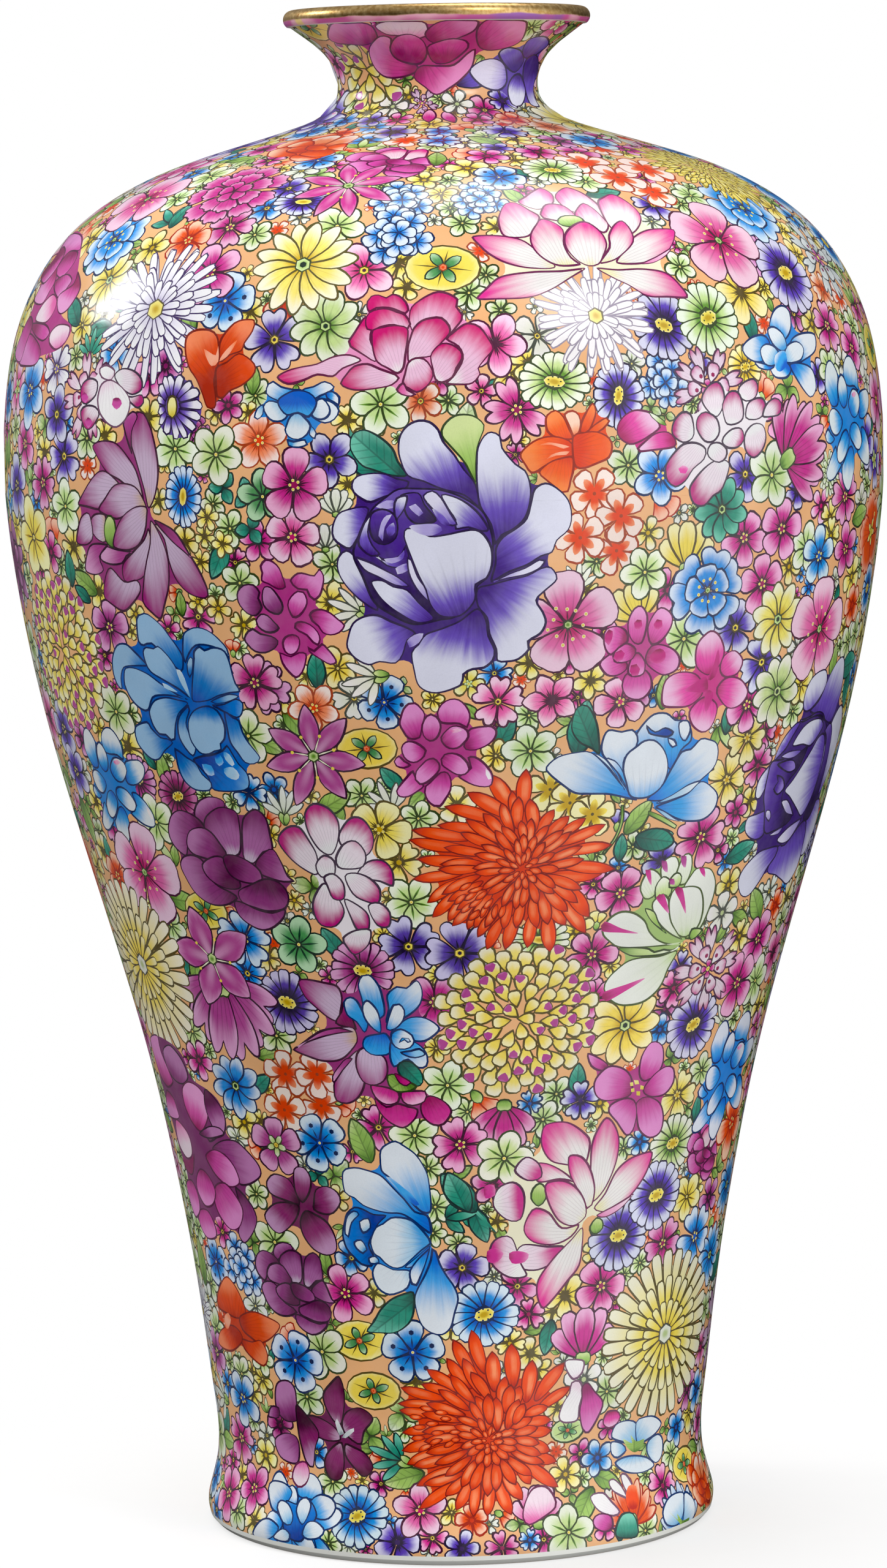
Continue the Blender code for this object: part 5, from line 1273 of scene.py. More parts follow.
m plumrose 4.2,-0.5 23.9,-3.8 | 5.6,1.5 11.1,4.5 17.4,5 21.7,2.1 24.9,-1.7 24.6,-5 19.4,-7.7 15,-7.7 14.5,-3.4 11,0.3
m magentarose 0.8,-1.9 13.7,-7 | 1,-0.9 6.7,1.5 12,-0 15.1,-3.4 15.5,-7.5 10.7,-9.1 5.5,-7.1 2.5,-4.3
m plumrose 14.3,-9.9 13.2,-24.5 | 13,-8.5 16.4,-10.4 19.3,-14.1 19.7,-18 16.2,-22.5 12.3,-24.9 10.4,-21.8 13.7,-16.5 13.3,-12.5
m magentarose 1.1,-8.9 8.8,-20.5 | 3.3,-9.2 8.7,-7.8 12.8,-11.1 14.7,-15.4 11.7,-20.3 6.8,-21.5 2.2,-17.9 0.9,-13.6
m magentarose -2.6,-5.4 -3.8,-16.2 | -4.2,-5.5 0.1,-6.4 2.9,-10.7 0.3,-15.3 -5.3,-16.8 -8.9,-13.1 -8.3,-9.3
m magentarose -6.7,-16.2 -5.4,-25.5 | -10.8,-18.7 -4.5,-17.5 -1.1,-21.2 -1.5,-25.1 -8.2,-26.4 -12.4,-22.9
m magentarose -10.6,-9.8 -11.3,-19.1 | -18.3,-12.4 -12.2,-10.1 -9.1,-13.6 -9.8,-18.8 -14.9,-21.8 -17.8,-18.3
@ dark_five -32.5 98.2
b darkplum -0.1,-13.5 -0.1,10.9 | 5.3,-13.5 8.7,-13.1 9.7,-11.7 9.9,-8.9 9.3,-6.7 8.5,-5.5 8.3,-3.9 8.7,-2.5 11.5,-0.3 12.7,1.7 12.7,3.3 12.1,4.5 10.1,5.7 5.9,6.1 4.7,7.3 3.9,9.7 2.7,10.9 0.5,10.9 -0.3,9.5 -2.1,7.9 -4.1,7.7 -7.3,8.3 -8.7,7.5 -9.9,6.5 -10.5,5.3 -10.5,4.1 -9.5,2.5 -9.3,0.7 -9.7,-0.7 -11.7,-2.5 -12.7,-4.1 -12.7,-5.3 -12.1,-6.5 -9.5,-8.5 -7.3,-8.5 -4.3,-6.3 -1.7,-6.3 -0.1,-7.7 0.3,-9.3 1.7,-11.3 2.7,-12.3
m darkplum 0.5,1 1.7,10.8 | -0.5,10.4 2.8,11.2 4.8,8.3 4,4.2 0.9,0.7 -1.2,4.2
m darkplum -0.9,0.8 -9.7,5.9 | -10.7,5.8 -7.5,8.5 -2.6,7.4 -0.7,3.8 -0,0.1 -4.5,0.7 -8.8,1.8 -10.5,3.2
m darkplum 3.5,0.7 12.9,3.1 | 4.3,1.2 5.6,5 9.1,6.2 12.3,4.6 13,1.6 10.3,-1.7 6.9,-2.2 4.1,-1
m darkplum -0.7,-1.1 -9.6,-8.6 | -13.1,-4.1 -9.1,-0.3 -3.9,0.8 -0.1,0 -1.4,-3.8 -4.9,-7.2 -8.4,-9 -11.5,-7.5
m darkplum 1.4,-2.4 7,-13.6 | -0.8,-4.6 1.4,-1.2 4.8,-2 8.4,-4.4 10.1,-8.9 9.6,-12.6 6.5,-13.9 2.6,-12.5 -0.3,-8.7
@ bell_cluster 25.1 253.9
b bellrose 1.1,-12.7 1.1,12.1 | 0.3,-12.7 2.7,-12.5 3.7,-11.9 4.9,-10.1 5.3,-8.1 6.7,-6.7 11.5,-5.9 12.5,-5.3 13.1,-3.9 12.7,-1.7 8.5,2.1 8.5,4.7 9.5,6.1 9.9,8.5 9.3,9.7 7.3,11.3 5.9,11.3 4.7,10.5 3.1,10.3 1.7,10.7 0.5,12.1 -0.7,12.1 -1.7,11.5 -3.1,8.5 -4.3,7.3 -8.5,6.7 -9.7,5.3 -9.9,3.5 -9.1,-0.1 -9.5,-1.5 -10.5,-2.5 -10.1,-3.9 -8.5,-5.7 -5.1,-6.5 -3.9,-7.7 -3.5,-9.7 -2.5,-11.3
m bellrose -0.1,0.7 0.2,12.4 | -3.4,8.6 -1.8,11.8 0.5,12.4 2.5,9.6 2.4,5.6 1.2,2.2 -1.1,2.3 -3,5
m bellrose 2.5,1.5 7.8,11 | 2.7,7.6 5,11.2 7.3,11.5 9.9,9.2 9.7,5.9 7,2.3 3.9,1.6 2.6,4.3
m bellrose 2.2,-1 12.9,-3.3 | 2.4,-1 3.9,1.5 7.1,1.8 11.1,0.2 13.3,-2.5 12.6,-5.6 8.7,-6.9 5.3,-5.4 2.7,-3.2
m bellrose 0.3,-4.2 0.6,-12.9 | -3.9,-8.9 -3.2,-6 -1,-4.8 2.3,-4.5 4.8,-6.9 5.2,-10.3 2.9,-12.8 0.1,-13 -2.7,-11.6
m bellrose -0,-0 -0.2,-6.6 | -2.6,-4 -1.4,-0.7 0.5,-0 2.6,-2.7 2.4,-6 0,-6.8 -2.2,-6.1
m bellrose -2.6,-2.4 -10.5,-4.2 | -10.9,-2.9 -9.2,-0.9 -6.6,0.3 -5,-2.1 -2.8,-2.4 -2.6,-4.5 -5.3,-6.2 -8.5,-6
m bellrose -0.6,0.4 -6.5,-1.8 | -7.2,-0.7 -6,1.9 -2.9,2.7 -0.3,0.8 -1.1,-1.8 -4.3,-2.9 -6.6,-2.4
m bellrose -3.8,2.6 -9.7,3.2 | -10.1,4 -9.4,6.5 -6.3,7.3 -3.4,5.9 -2.7,3 -5.3,1.2 -7.5,-0.7 -9.4,1
n magentadeep -0.3,8.5 -0.1,5.9 | -1.5,7.8 -0.7,8.7 0.6,8.5 1,6.8 -0.1,5.9 -1.2,6.3
n magentadeep 5.6,8.4 5.8,5.6 | 4.3,7.2 5.2,8.5 6.7,8.1 7,6.5 5.8,5.6 4.6,6
n magentadeep 6.2,0.4 6.6,-3.5 | 3.7,-2.3 4.5,-0.3 6.7,0.6 8.4,-0.6 8.3,-2.6 6.1,-3.5
n magentadeep -0.7,-3.3 -0.2,-6.6 | -1.9,-5.1 -1.6,-3.5 -0,-3.2 1.2,-4.6 0.7,-6.3 -0.9,-6.4
n magentadeep -5.4,1 -5.2,-2.3 | -6.8,-1.4 -6.3,0.2 -4.7,0.8 -3.6,-0.2 -4.1,-1.9 -5.6,-2.4
n magentadeep -8.8,6.2 -8.6,2.3 | -9.5,3.2 -9.5,5.2 -8.6,6.4 -7.5,5.9 -7.5,3.9 -8.4,2.1
@ magenta_five 36.9 245.5
b brightrose 0.6,-14.5 0.6,12.7 | -1,-14.5 0.6,-14.5 2,-13.9 3.4,-11.1 3.6,-8.9 4.4,-7.9 6.4,-7.7 8.6,-8.7 11,-8.5 13.4,-6.9 14.2,-4.9 13.2,-3.1 10.8,-1.5 9.8,-0.3 9.8,1.1 10.8,2.7 10.8,4.1 9.8,5.5 7.6,6.9 4.2,6.9 1.4,11.5 -0.6,12.7 -2.2,12.7 -4.8,10.7 -5.8,8.9 -5.6,2.7 -6.6,1.9 -10.8,2.1 -13.6,0.9 -14.6,-0.1 -15.2,-4.3 -14.8,-6.1 -13.4,-7.1 -6.4,-7.5 -5.6,-8.5 -5.6,-10.1 -4.4,-12.1 -3.2,-13.3
m brightrose -0.1,0.4 -1.7,12.7 | -6.2,6.5 -5.6,10.2 -1.8,13.1 1.7,11.5 4,7.2 2.9,3.4 -0.1,1 -2.3,1.2 -5.2,3.2
m brightrose 2,0.6 10,5.5 | 2.6,2.3 3.8,6 7.6,7.1 11.1,4.1 9.5,0.4 4.8,-0.2
m brightrose 1.5,-3.1 14.2,-5.7 | 2.5,-4.3 3.3,-1.4 6.4,0.2 11.3,-1.1 14.5,-4.9 12.1,-8.3 7.3,-8.7
m brightrose 0.5,-3.4 -1.3,-14.6 | -6,-8.8 -3.4,-5.7 -0.3,-4.8 3.5,-7.3 3.6,-10.9 2,-14.1 -0.7,-14.9 -4.4,-12.7
m brightrose -1.3,-2 -14.8,-5.1 | -15.4,-3.9 -14.6,0.3 -10.8,2.3 -5.3,1.7 -2,-1.6 -2.2,-4.6 -6,-7.3 -10.9,-7.6 -14.5,-7
n magentadeep 0.2,-1.3 1.8,9.4 | -1,-0.4 0.5,3.7 1.5,7.8 2.4,4.4 1.5,0.3
n magentadeep 0.2,-1.3 -8.7,-2.4 | -1.6,0.5 -5,-1 -8.1,-2.9 -3.6,-3.6 -0.5,-3.3
n magentadeep 0.3,-2.1 -0,-9.6 | -1.1,-3.3 -1.1,-6.2 -0.2,-9.2 1.1,-7.2 1.5,-3.9
@ white_ball 36.7 311.5
b orchidtip 1.1,-19.7 1.1,12.7 | -7.4,-19.7 -6,-19.5 -4,-17.5 -1.6,-16.5 -0,-14.9 2,-10.1 1.6,-8.5 1.8,-6.9 3.2,-5.3 4.6,-4.9 6.8,-5.1 8.4,-6.7 10.2,-7.7 12.2,-7.5 14,-6.1 15,-4.7 15.4,-3.1 15,-0.3 15.4,1.1 17,2.5 20.6,2.9 21.6,3.5 22.2,6.1 20.6,7.1 17.6,6.7 15.2,7.1 13.8,8.5 13.4,9.9 13.6,10.9 12.4,12.7 8.8,11.9 6.4,10.1 4.2,9.5 2.2,9.7 0.4,11.7 -1.6,12.1 -4,11.1 -5.2,9.9 -6.2,8.3 -6.2,6.1 -7.6,4.5 -10,4.1 -12.6,4.7 -14.6,3.5 -16,0.5 -15.8,-0.9 -14.8,-2.1 -14.8,-4.9 -17.2,-7.3 -18,-8.9 -18.2,-11.7 -16.4,-13.9 -12.4,-14.3 -11.2,-15.5 -11,-16.9 -10,-18.7 -8.8,-19.5
t orchidtip -1.1,4 -1.4,12.4 | -6.5,8.1 -4.1,11.3 -0.7,12.5 1.2,10.7 1.5,7.1 -0.5,3.8 -2.4,3.1 -5.2,5.2
t orchidtip 8.1,7.3 12.8,12.8 | 6.1,10.2 8.6,12.1 12.4,12.9 13.9,10.7 12.4,7.7 8.7,6.7 6.4,8.1
t orchidtip 3.8,1 4.9,9.6 | 0.6,2.7 0.3,6.3 2.9,9.6 6.3,9.5 7.8,6.1 7.4,2.3 4.5,0.8 1.6,0.9
t orchidtip 10.4,2 14.5,7.5 | 8.1,2.5 9,6.1 12.1,7.7 15.3,7.6 16.3,5.1 14.2,2.5 11,1.8
t orchidtip 14.6,2.7 21.6,6.5 | 14.3,2.6 15.9,5.9 19.8,7.6 22.5,6.1 21.6,3.1 18,2.4
t orchidtip -9.9,-0.5 -15.4,2.1 | -16.2,-1 -15.6,2.5 -12.8,5 -9.9,4.3 -9.1,0.3 -9.8,-2.2 -12.9,-3.3
t orchidtip -2.1,-1.6 -7.2,3.8 | -8.6,0.2 -7.9,3.4 -5.2,4.7 -1.6,2.9 -0.8,-0.8 -3,-3.4 -6.2,-3.2
t orchidtip 3.1,-0.9 6.8,-3.5 | -0,-2.1 3.2,0 6.6,-0.1 7.5,-3.1 5.2,-5.2 1.9,-5.4 -0.3,-4.1
t orchidtip 10.2,-1.2 11.6,-8 | 7.8,-1.1 10.9,1 14.5,0.5 15.7,-2.9 14.3,-6.2 11.1,-8.2 8.1,-6.8 7.1,-3.9
t orchidtip -6.1,-3.8 -17.4,-13.6 | -18.4,-8.8 -16.4,-6.1 -12.9,-3.3 -8.6,-3.1 -5.5,-5 -6.2,-7.8 -9.7,-10.2 -12.2,-13.2 -15.5,-14.7 -18,-12.9 -18.5,-10.8
t orchidtip 0.3,-8.8 -7.3,-19.6 | -11.4,-15.5 -9.4,-12.4 -5.3,-9.2 -1.3,-7.8 2.1,-8.9 1.6,-12.1 -0.5,-16.1 -3.4,-17.6 -6.3,-20 -9.9,-19.3
d orchidtip -2.7,-4.3 0.3,-8 | -5.4,-6.2 -4.3,-3.8 -1.1,-3.4 1.6,-5.3 1.1,-7.8 -1.3,-8.9 -4,-8
n brightrose -13.2,-12.2 -12.6,-9.1 | -14.5,-9.8 -13.1,-9 -11.2,-9.9 -12.2,-11.2 -13.8,-11
@ pink_buds 25.1 311.4
b brightrose 0.8,-4.8 0.8,5.6 | -1,-4.8 7,-4.4 9,-4 9.6,-3.2 9,-1.6 7,-0 6.2,2.6 1.2,5.4 -2.2,5.6 -3.6,5.2 -6.6,2.8 -7.2,1.4 -7.2,-0 -6,-1.8 -2.6,-3
m brightrose -6.6,-0.9 3.8,4.7 | -7.6,1.1 -6,3.9 -2.4,5.9 2.3,5.3 4.3,3.2 5.2,1 1.7,-1.3 -1.5,-2.8 -4.1,-3.2 -6.9,-1.4
m brightrose 9.4,-3.4 -1.5,-4.2 | -2.1,-4.2 0.3,-2.2 3.5,-0.3 7.4,-0.1 9.7,-2.4 9.1,-4.3 3.4,-4.9 -1.2,-5.2
e green 6.3,1.9 2,4.9 | 1.6,5.2 3.8,4.5 6.4,2.7 7,1.5 5,1.9 2.6,3.7
@ dark_lily -27.7 33.2
b darkplum -0.3,-12.5 -0.3,16.7 | -3.3,-12.5 -1.5,-12.1 -0.7,-10.5 0.9,-9.1 3.5,-9.1 4.9,-10.5 6.3,-10.7 7.9,-9.5 8.5,-8.3 7.7,-6.1 5.7,-3.7 5.5,-2.1 6.7,1.9 8.9,4.1 9.5,5.5 8.7,6.9 7.3,7.9 6.3,8.3 3.5,8.3 1.9,9.7 1.3,15.1 0.5,16.7 -0.3,16.7 -1.1,16.1 -4.5,12.5 -5.1,10.9 -4.5,8.3 -4.7,6.7 -6.1,5.1 -10.3,4.7 -12.5,3.9 -12.5,2.7 -11.1,0.7 -6.9,-1.3 -5.5,-2.7 -5.1,-4.9 -5.9,-6.9 -6.1,-9.3 -5.1,-11.7 -4.5,-12.3
t darklily -0.3,2.4 0.2,17 | -5.1,11.7 -2.6,14.8 0.5,17.2 1.9,13.3 1.6,8.5 0,3.1 -2.5,4 -4.9,8.3
t darklily 0.6,1.1 9.8,5.8 | 0.1,4.1 2,7.2 6.4,8.5 9.9,5.5 7,1.5 5.7,-2.2 3,-1.4 0.4,1.2
t darklily -1.1,-0.1 -12.5,3.7 | -12.8,4 -8.9,5.1 -4.3,3.7 -1.3,1.6 -0.4,-1.3 -4.5,-2.1 -8.6,-1.1 -12,1.1
t darklily -0.2,-1.9 -4.5,-12.8 | -5.7,-5.9 -2.6,-2.6 -0.1,-1.8 0.3,-7.2 -1,-12.3 -4.5,-12.6 -6.4,-9.3
t darklily 0.8,-1.8 9,-8.9 | 0.7,-2.1 3.8,-2.9 7,-4.6 8.8,-8.5 5.9,-11.3 2.5,-8.6 0.3,-5.4
n greywhite -0.2,0.5 -1,3.3 | -0.8,-0 -1.8,3.7 -1.2,4.8 -0.1,2.5 0.6,0.6
n greywhite -0,0 3.2,1.3 | -0.1,-0.5 1.6,1.4 3.8,2.5 3.8,1.6 1,-0.6
@ side_lily -57.7 59.0
b redorange 0.9,-8.9 0.9,14.3 | 10.4,-8.9 12.4,-8.3 13.2,-6.7 13,-3.5 13.4,-2.1 18.4,1.5 19.6,2.7 19.8,3.5 18,4.5 12.6,5.9 7.2,6.1 5.6,7.5 4.4,10.3 2,13.1 0.2,14.3 -1.6,14.3 -3.6,13.5 -8.8,8.7 -10,6.5 -9.6,4.5 -8.4,4.1 -7,2.5 -6.8,0.9 -7.2,-0.5 -8.4,-1.7 -11.8,-3.5 -13.6,-5.7 -13.6,-6.3 -13.2,-6.9 -11.8,-7.3 -8,-7.7 -5.2,-7.3 0,-4.9 1.6,-4.7 3,-5.1 5.4,-7.1
m redorange -0.5,1.9 -1.6,14.3 | -9.5,8.1 -2.6,14.4 1.4,13.8 4.8,10 6.1,5.3 1.9,3 -4,3.2 -9.7,4.1
m redorange 3,1.5 19.6,3.4 | 2.4,3.7 9.1,6.3 15,5.6 20.1,3.5 16.5,-0.4 10.8,-3 6.9,-1.9 3,-0
m redorange 3.1,-2 11.1,-9.1 | 1.6,-2.5 7.1,-2.6 11.4,-1.8 13.6,-5.9 11.3,-9.3 6.5,-7.9 2.6,-5.4
m redorange -2.1,-0.9 -9.6,-7.6 | -14,-6.5 -10.8,-2.4 -2.7,0.7 2,-0.7 2.3,-3.5 -3.9,-7.3 -10.2,-7.9
n blush -4,3.2 -6.1,-0.1 | -6.4,2.3 -3.6,3.8 -2.7,2 -5,-0.9 -6.9,-0.7
@ blue_peony -36.4 241.2
b bluedeep -4.7,-24.3 -4.7,23.3 | -3.2,-24.3 0.6,-24.3 2.6,-23.7 7.8,-24.3 13.8,-23.3 14.6,-21.7 14.4,-19.1 14.8,-17.7 16,-16.5 18.2,-15.9 19,-15.1 18.2,-12.9 17,-11.9 15.6,-9.3 15,-6.3 15.2,-3.5 16.2,-2.3 16.8,0.1 16.2,0.7 16,2.3 16.4,3.5 15.4,5.3 14.8,8.3 14.8,13.5 13.8,15.9 11.8,17.9 8.8,19.7 4.8,20.3 2,19.3 0.2,17.3 -1.8,16.9 -3.2,17.3 -6.6,20.9 -9.2,22.7 -10.6,23.3 -13,23.3 -14.2,22.9 -14.8,21.9 -15.6,16.3 -17,14.7 -18.4,14.3 -20.8,14.7 -23.2,14.5 -25.4,13.3 -27.6,8.9 -27.8,6.9 -27.4,4.7 -26.4,2.9 -25.6,2.3 -23.6,1.9 -22.2,0.5 -21.8,-0.5 -20.2,-1.5 -18.8,-3.1 -18.6,-4.7 -19,-6.1 -20.4,-7.5 -21.8,-8.1 -22.4,-9.3 -22.6,-11.1 -21.8,-13.5 -20,-15.3 -17.8,-16.7 -14.8,-16.5 -12.8,-14.7 -11.2,-14.5 -9.8,-14.9 -8.2,-16.7 -7.8,-19.7 -6.6,-22.1 -5.6,-23.1
e bluemid -1.3,7.1 -12.6,23.1 | -15.2,22.1 -13.1,23.6 -10.6,23.7 -6.3,21 -3.8,18.2 -1.2,15 0.1,12.1 -1.3,8.3 -5.8,11.5 -10.6,15.4 -13.5,14.7 -15.7,15.9
e bluemid -11.6,7.4 -24.8,13.5 | -24.6,14.3 -20.7,15.1 -17.9,13.6 -14.3,10.9 -13.1,9.3 -18.3,8.9 -22.8,8.1 -24.6,5.1 -24.9,1.9 -26.8,2.8 -28,6 -27.5,10.3
e bluemid 1.4,8 9.9,20.3 | 0.4,17.1 1.3,19.2 4.6,20.6 7.5,20.5 10.3,19.3 12.8,17.2 14.6,15 14.9,11.9 13.2,13.9 8.7,15.5 4.8,15.5 2.4,13.5 0.5,10.7 -0.3,12.9
e bluemid 2.2,0.9 -20.3,8 | -23.3,6.5 -22.1,8.3 -19,8.6 -16.6,8.2 -13.3,7.2 -9.2,5 -3.8,2.3 -0.4,0.8 -5,1.4 -9.4,1.4 -13,0.5 -15.4,-3.1 -18.1,-3.2 -20.8,-1.7 -22.7,0.5 -23.8,3.4
e bluemid 1,0 -13.1,14.4 | -14.4,13.3 -12.9,14.7 -10.2,14.5 -8.4,15.2 -5.9,13.4 -3.3,10.3 -1.4,6.1 0.3,1.4 -3.5,3.5 -8.5,5.8 -12.5,7.7 -14,10.1
n bluepale 0.2,1.3 -2.5,9.1 | -3,9.1 -1.8,8.9 -0.6,6.7 0.4,1.4 -1.2,3.7 -2.4,6.2
n bluepale -3.8,2.3 -8.6,5.1 | -8.7,5.1 -7.1,4.7 -3.7,2.8 -5.8,3 -8.2,3.8
e bluemid 2.4,-0.3 12.8,14.4 | 3.2,12.2 3.6,14.3 5.8,15.8 7.3,14.8 9.3,15.4 11.6,15.4 13.8,14.3 14.8,11.4 15.2,8.1 15.7,5.6 16.7,3.3 13.2,2.8 9.3,1.9 6.1,0.7 1.1,0.4 1.2,3.8 2.2,8
e bluemid 1.2,6.7 2,12.6 | 0.8,10.7 2.3,12.7 3.2,12.2 2.2,8 1.2,6.7 0.6,7.9
e bluemid 7,0.5 15.5,2.3 | 6.7,0.5 9.3,1.8 13.2,2.8 16.1,2.1 14,1 10.9,0.2 8,-0
d bluedeep 6.9,-0.2 16.1,-2.6 | 7,-0.3 10.9,0.1 14.9,1.5 17,0.2 16.2,-2.7 14.4,-3.9 11.4,-2.8 8.7,-1.5
e bluemid 13.4,-1.8 16.3,-16.1 | 10.6,-1.8 13.2,-3.5 15,-4.4 15.6,-7.7 16.9,-10.7 19.4,-14.8 17.2,-16.6 14.4,-16.2 12.6,-13.6 10.8,-10.7 10.5,-6.8
e bluemid -8.3,-8.9 -22,-13.8 | -22.2,-7.9 -16.9,-6 -15.5,-7.7 -12.6,-10.1 -10.3,-10.3 -8.3,-11.5 -11.7,-13.9 -14.8,-16.7 -17.9,-16.9 -21.1,-14.6 -22.8,-11.9
e bluemid 0.9,-0.4 -14.6,-6.3 | -15,-2.2 -12.6,0.2 -8.3,1.3 -4,0.8 -0.6,-0.1 -4.4,-3.2 -6.2,-6.7 -7.3,-10.6 -8.9,-11.1 -10.6,-9.7 -13,-9.6 -14.9,-7.3 -15.6,-4
e bluemid -0.3,-1.2 -2.8,-13.2 | -5.4,-4.9 -3.8,-2.7 -0.6,-0.4 -0.3,-2.1 -2.3,-5.6 -1.8,-9 -0.4,-12.3 -2.1,-15 -4.4,-12.9 -5.9,-10 -6,-7.4
d bluedeep 1,-14.7 13.4,-21.2 | -2.5,-15.7 1.1,-14.3 4.3,-13.8 8,-12.6 9.8,-11.2 11.2,-13.7 12.6,-16.5 14.5,-18.7 14.9,-21.4 12.9,-24 3,-24.2 1.7,-20.8 -0.7,-17.9
n bluepale 8.3,-13.6 10.5,-17 | 8.3,-13.3 10.1,-14 11.1,-16.6 10.3,-17.2 8.5,-15.4
n heroblue 3.9,-15.4 2,-19.8 | 0.5,-16.9 3.5,-17.2 4,-19.7 1.9,-19.9 0.6,-18.2
n bluepale 7.4,-17.9 11.2,-20.4 | 7.4,-18 10.5,-17.5 12,-19.6 10.7,-21 8,-20.1
n heroblue 6.1,-14.5 7.1,-17 | 5.1,-14.8 7.1,-14.2 7.7,-16.2 6.1,-17.2 5.2,-16.3
e bluemid 5,0.2 4.3,-8.6 | -2,-5.6 -0,-2.6 2.8,-1 6.1,-0.5 8.7,-1.7 10.1,-4.4 10.4,-6.9 9.5,-9.9 8,-11.2 7.9,-12.8 5.5,-13.3 3.7,-14.1 1.1,-14.2 -0.7,-12.8 -2.2,-9.8
e bluemid -6.4,-12.5 0.5,-24.2 | -8.2,-12.7 -6.6,-13.4 -4.2,-15.1 -1.5,-16.6 0,-19.6 2.6,-22 1.6,-24.3 -3.3,-24.5 -6.6,-22.5 -8.1,-19.6 -8.5,-16.2
@ blue_magnolia -5.1 89.7
b heroblue -10.4,-26.4 -10.4,28 | 0.7,-26.4 2.1,-26.4 4.3,-24.6 6.7,-16.2 5.3,-12.4 2.5,-8.2 1.3,-3.6 -0.1,-1.6 -0.5,1 0.1,2.6 0.1,4.6 -0.5,7.4 0.3,10.4 -0.5,19 -2.7,23.6 -4.5,25.6 -7.5,27.8 -9.9,28 -12.7,25.6 -13.3,21.4 -14.7,19.8 -17.3,19.4 -20.5,20 -22.9,19.2 -23.5,18.6 -23.9,17.8 -23.5,13.4 -21.7,11.4 -21.3,9.4 -21.7,8 -23.1,6.8 -23.7,5.2 -24.5,1.8 -24.5,-1 -22.9,-4.6 -20.7,-6.6 -18.1,-7.8 -16.7,-9.2 -16.1,-12.2 -14.9,-14.2 -13.1,-15.4 -10.7,-15.4 -9.5,-14.6 -7.9,-14.4 -6.5,-14.8 -5.3,-16 -4.5,-20.2 -3.1,-23.8 -2.3,-25
h heroblue -0.4,2 -10.2,27.4 | -13,25.7 -11.2,27.5 -8.7,28.5 -6.2,27.1 -3.4,24.9 -1.5,21.9 -0.3,18.9 0.2,15.2 0.5,10.1 -0,7.9 -2.2,7.9 -4.1,9.5 -6.9,13.1 -9.2,16 -11.5,18.1 -13,19.5 -13.3,22.7
h heroblue 0.5,2 -22.7,16.3 | -23.9,18.6 -20.5,20.2 -17.5,19.9 -14.4,19.1 -12.4,18 -9.6,15 -6.8,12 -4,8.5 -1.6,7.9 -0.1,6.5 0.2,1.9 -2.3,3.3 -5.2,5.8 -8,7.4 -11.5,7.5 -14.9,8.1 -18.5,9.3 -20.9,11.2 -23.6,12.6
n heroblue -4,10.1 -11.5,18.1 | -11.7,18 -10.5,17.9 -7.6,15.6 -4.8,13.1 -2.9,10.3 -3.9,9.9 -6.9,12.6 -9.2,15
d bluedeep -14.2,1.5 -24.5,0.6 | -23.3,6.8 -21,8.8 -18.5,8.5 -15.5,7.2 -11.9,7 -14.1,4.5 -15.8,1.3 -17,-1.9 -15.5,-5.4 -16.6,-8.1 -19.7,-7.8 -21.8,-5.9 -23.9,-3.6 -24.9,0.4 -24.1,4.3
w bluepale -19.6,6.7 -24,0.6 | -23.3,6.3 -21.1,7.8 -19.5,6.7 -21.7,4 -22.9,-0.4 -24.1,0.5 -24.1,3.7
w bluepale -16.7,2.4 -19.1,5.2 | -19.8,4.7 -17,6 -16.4,2.9 -18.7,1.1 -19.7,2.9
w bluepale -18.4,-3.4 -20.9,-1.1 | -21.6,-1.3 -19.3,-0.4 -17.6,-3.4 -18.9,-4.7 -21,-3.3
w bluepale -15,-6.8 -17.5,-5.4 | -17.6,-5.5 -15.4,-4.7 -14.3,-6.7 -17,-7.5
w bluepale -2.4,-0.1 -16.3,-0.7 | -16.9,-1.4 -16.4,0.9 -15.1,3.5 -13.1,4.7 -10.9,6.5 -8,6.8 -5,6.1 -2.6,3.9 -0.4,0.9 0.1,-0.7 -2.6,-2.8 -5.5,-5.5 -8.1,-7.8 -10.7,-8.1 -13,-6.8 -14.4,-5.3 -16,-4.3
w bluepale -4.5,-5.2 -13.3,-14.9 | -16.7,-9.6 -15.1,-6.8 -12.9,-7.3 -10.6,-8.3 -8,-8.2 -6,-8.4 -5.6,-10.4 -6.7,-13.6 -9.3,-15.2 -11.9,-15.9 -14.3,-15 -15.9,-13.1
d heroblue -0,-1.1 -7,-7.6 | -7.6,-7.7 -4.5,-4.8 -0.2,-1.2 -2.3,-5.3 -4.9,-7.5
h heroblue -1,-2.6 -4.8,-13 | -6.2,-8.4 -4.5,-5.8 -2,-3.2 -0.4,-2.1 -1.6,-6.4 -3.1,-10.4 -4.3,-13 -5.8,-12.6 -6.4,-10.5
h heroblue -0.1,-3.1 -0.3,-26.2 | 0,-1.9 1.3,-2.8 2.3,-6.4 4.1,-10 6,-13.1 6.9,-16.6 5.8,-20.7 4.6,-24.8 2.1,-26.8 -0.8,-26.3 -3.3,-24.2 -4.6,-20.7 -5.2,-16.6 -4.3,-13.5 -2.2,-9.4 -0.6,-5.3
t teal -5.4,-15.6 -18.7,-26.6 | -18.7,-26.7 -16.6,-23.4 -14.9,-20.2 -11.8,-16.9 -8.3,-15.1 -5.2,-14.5 -4.9,-18.7 -6,-22.8 -8.6,-25.4 -11.1,-26.6 -14.7,-26.8
t teal 10.4,7.8 5.5,19.6 | 4.9,19.7 7.8,18.2 10.7,15 11.5,10.8 10.5,7.7 8,8.9 5.2,11.1 3.4,14.1 3.8,17.7
@ pink_peony -4.3 331.7
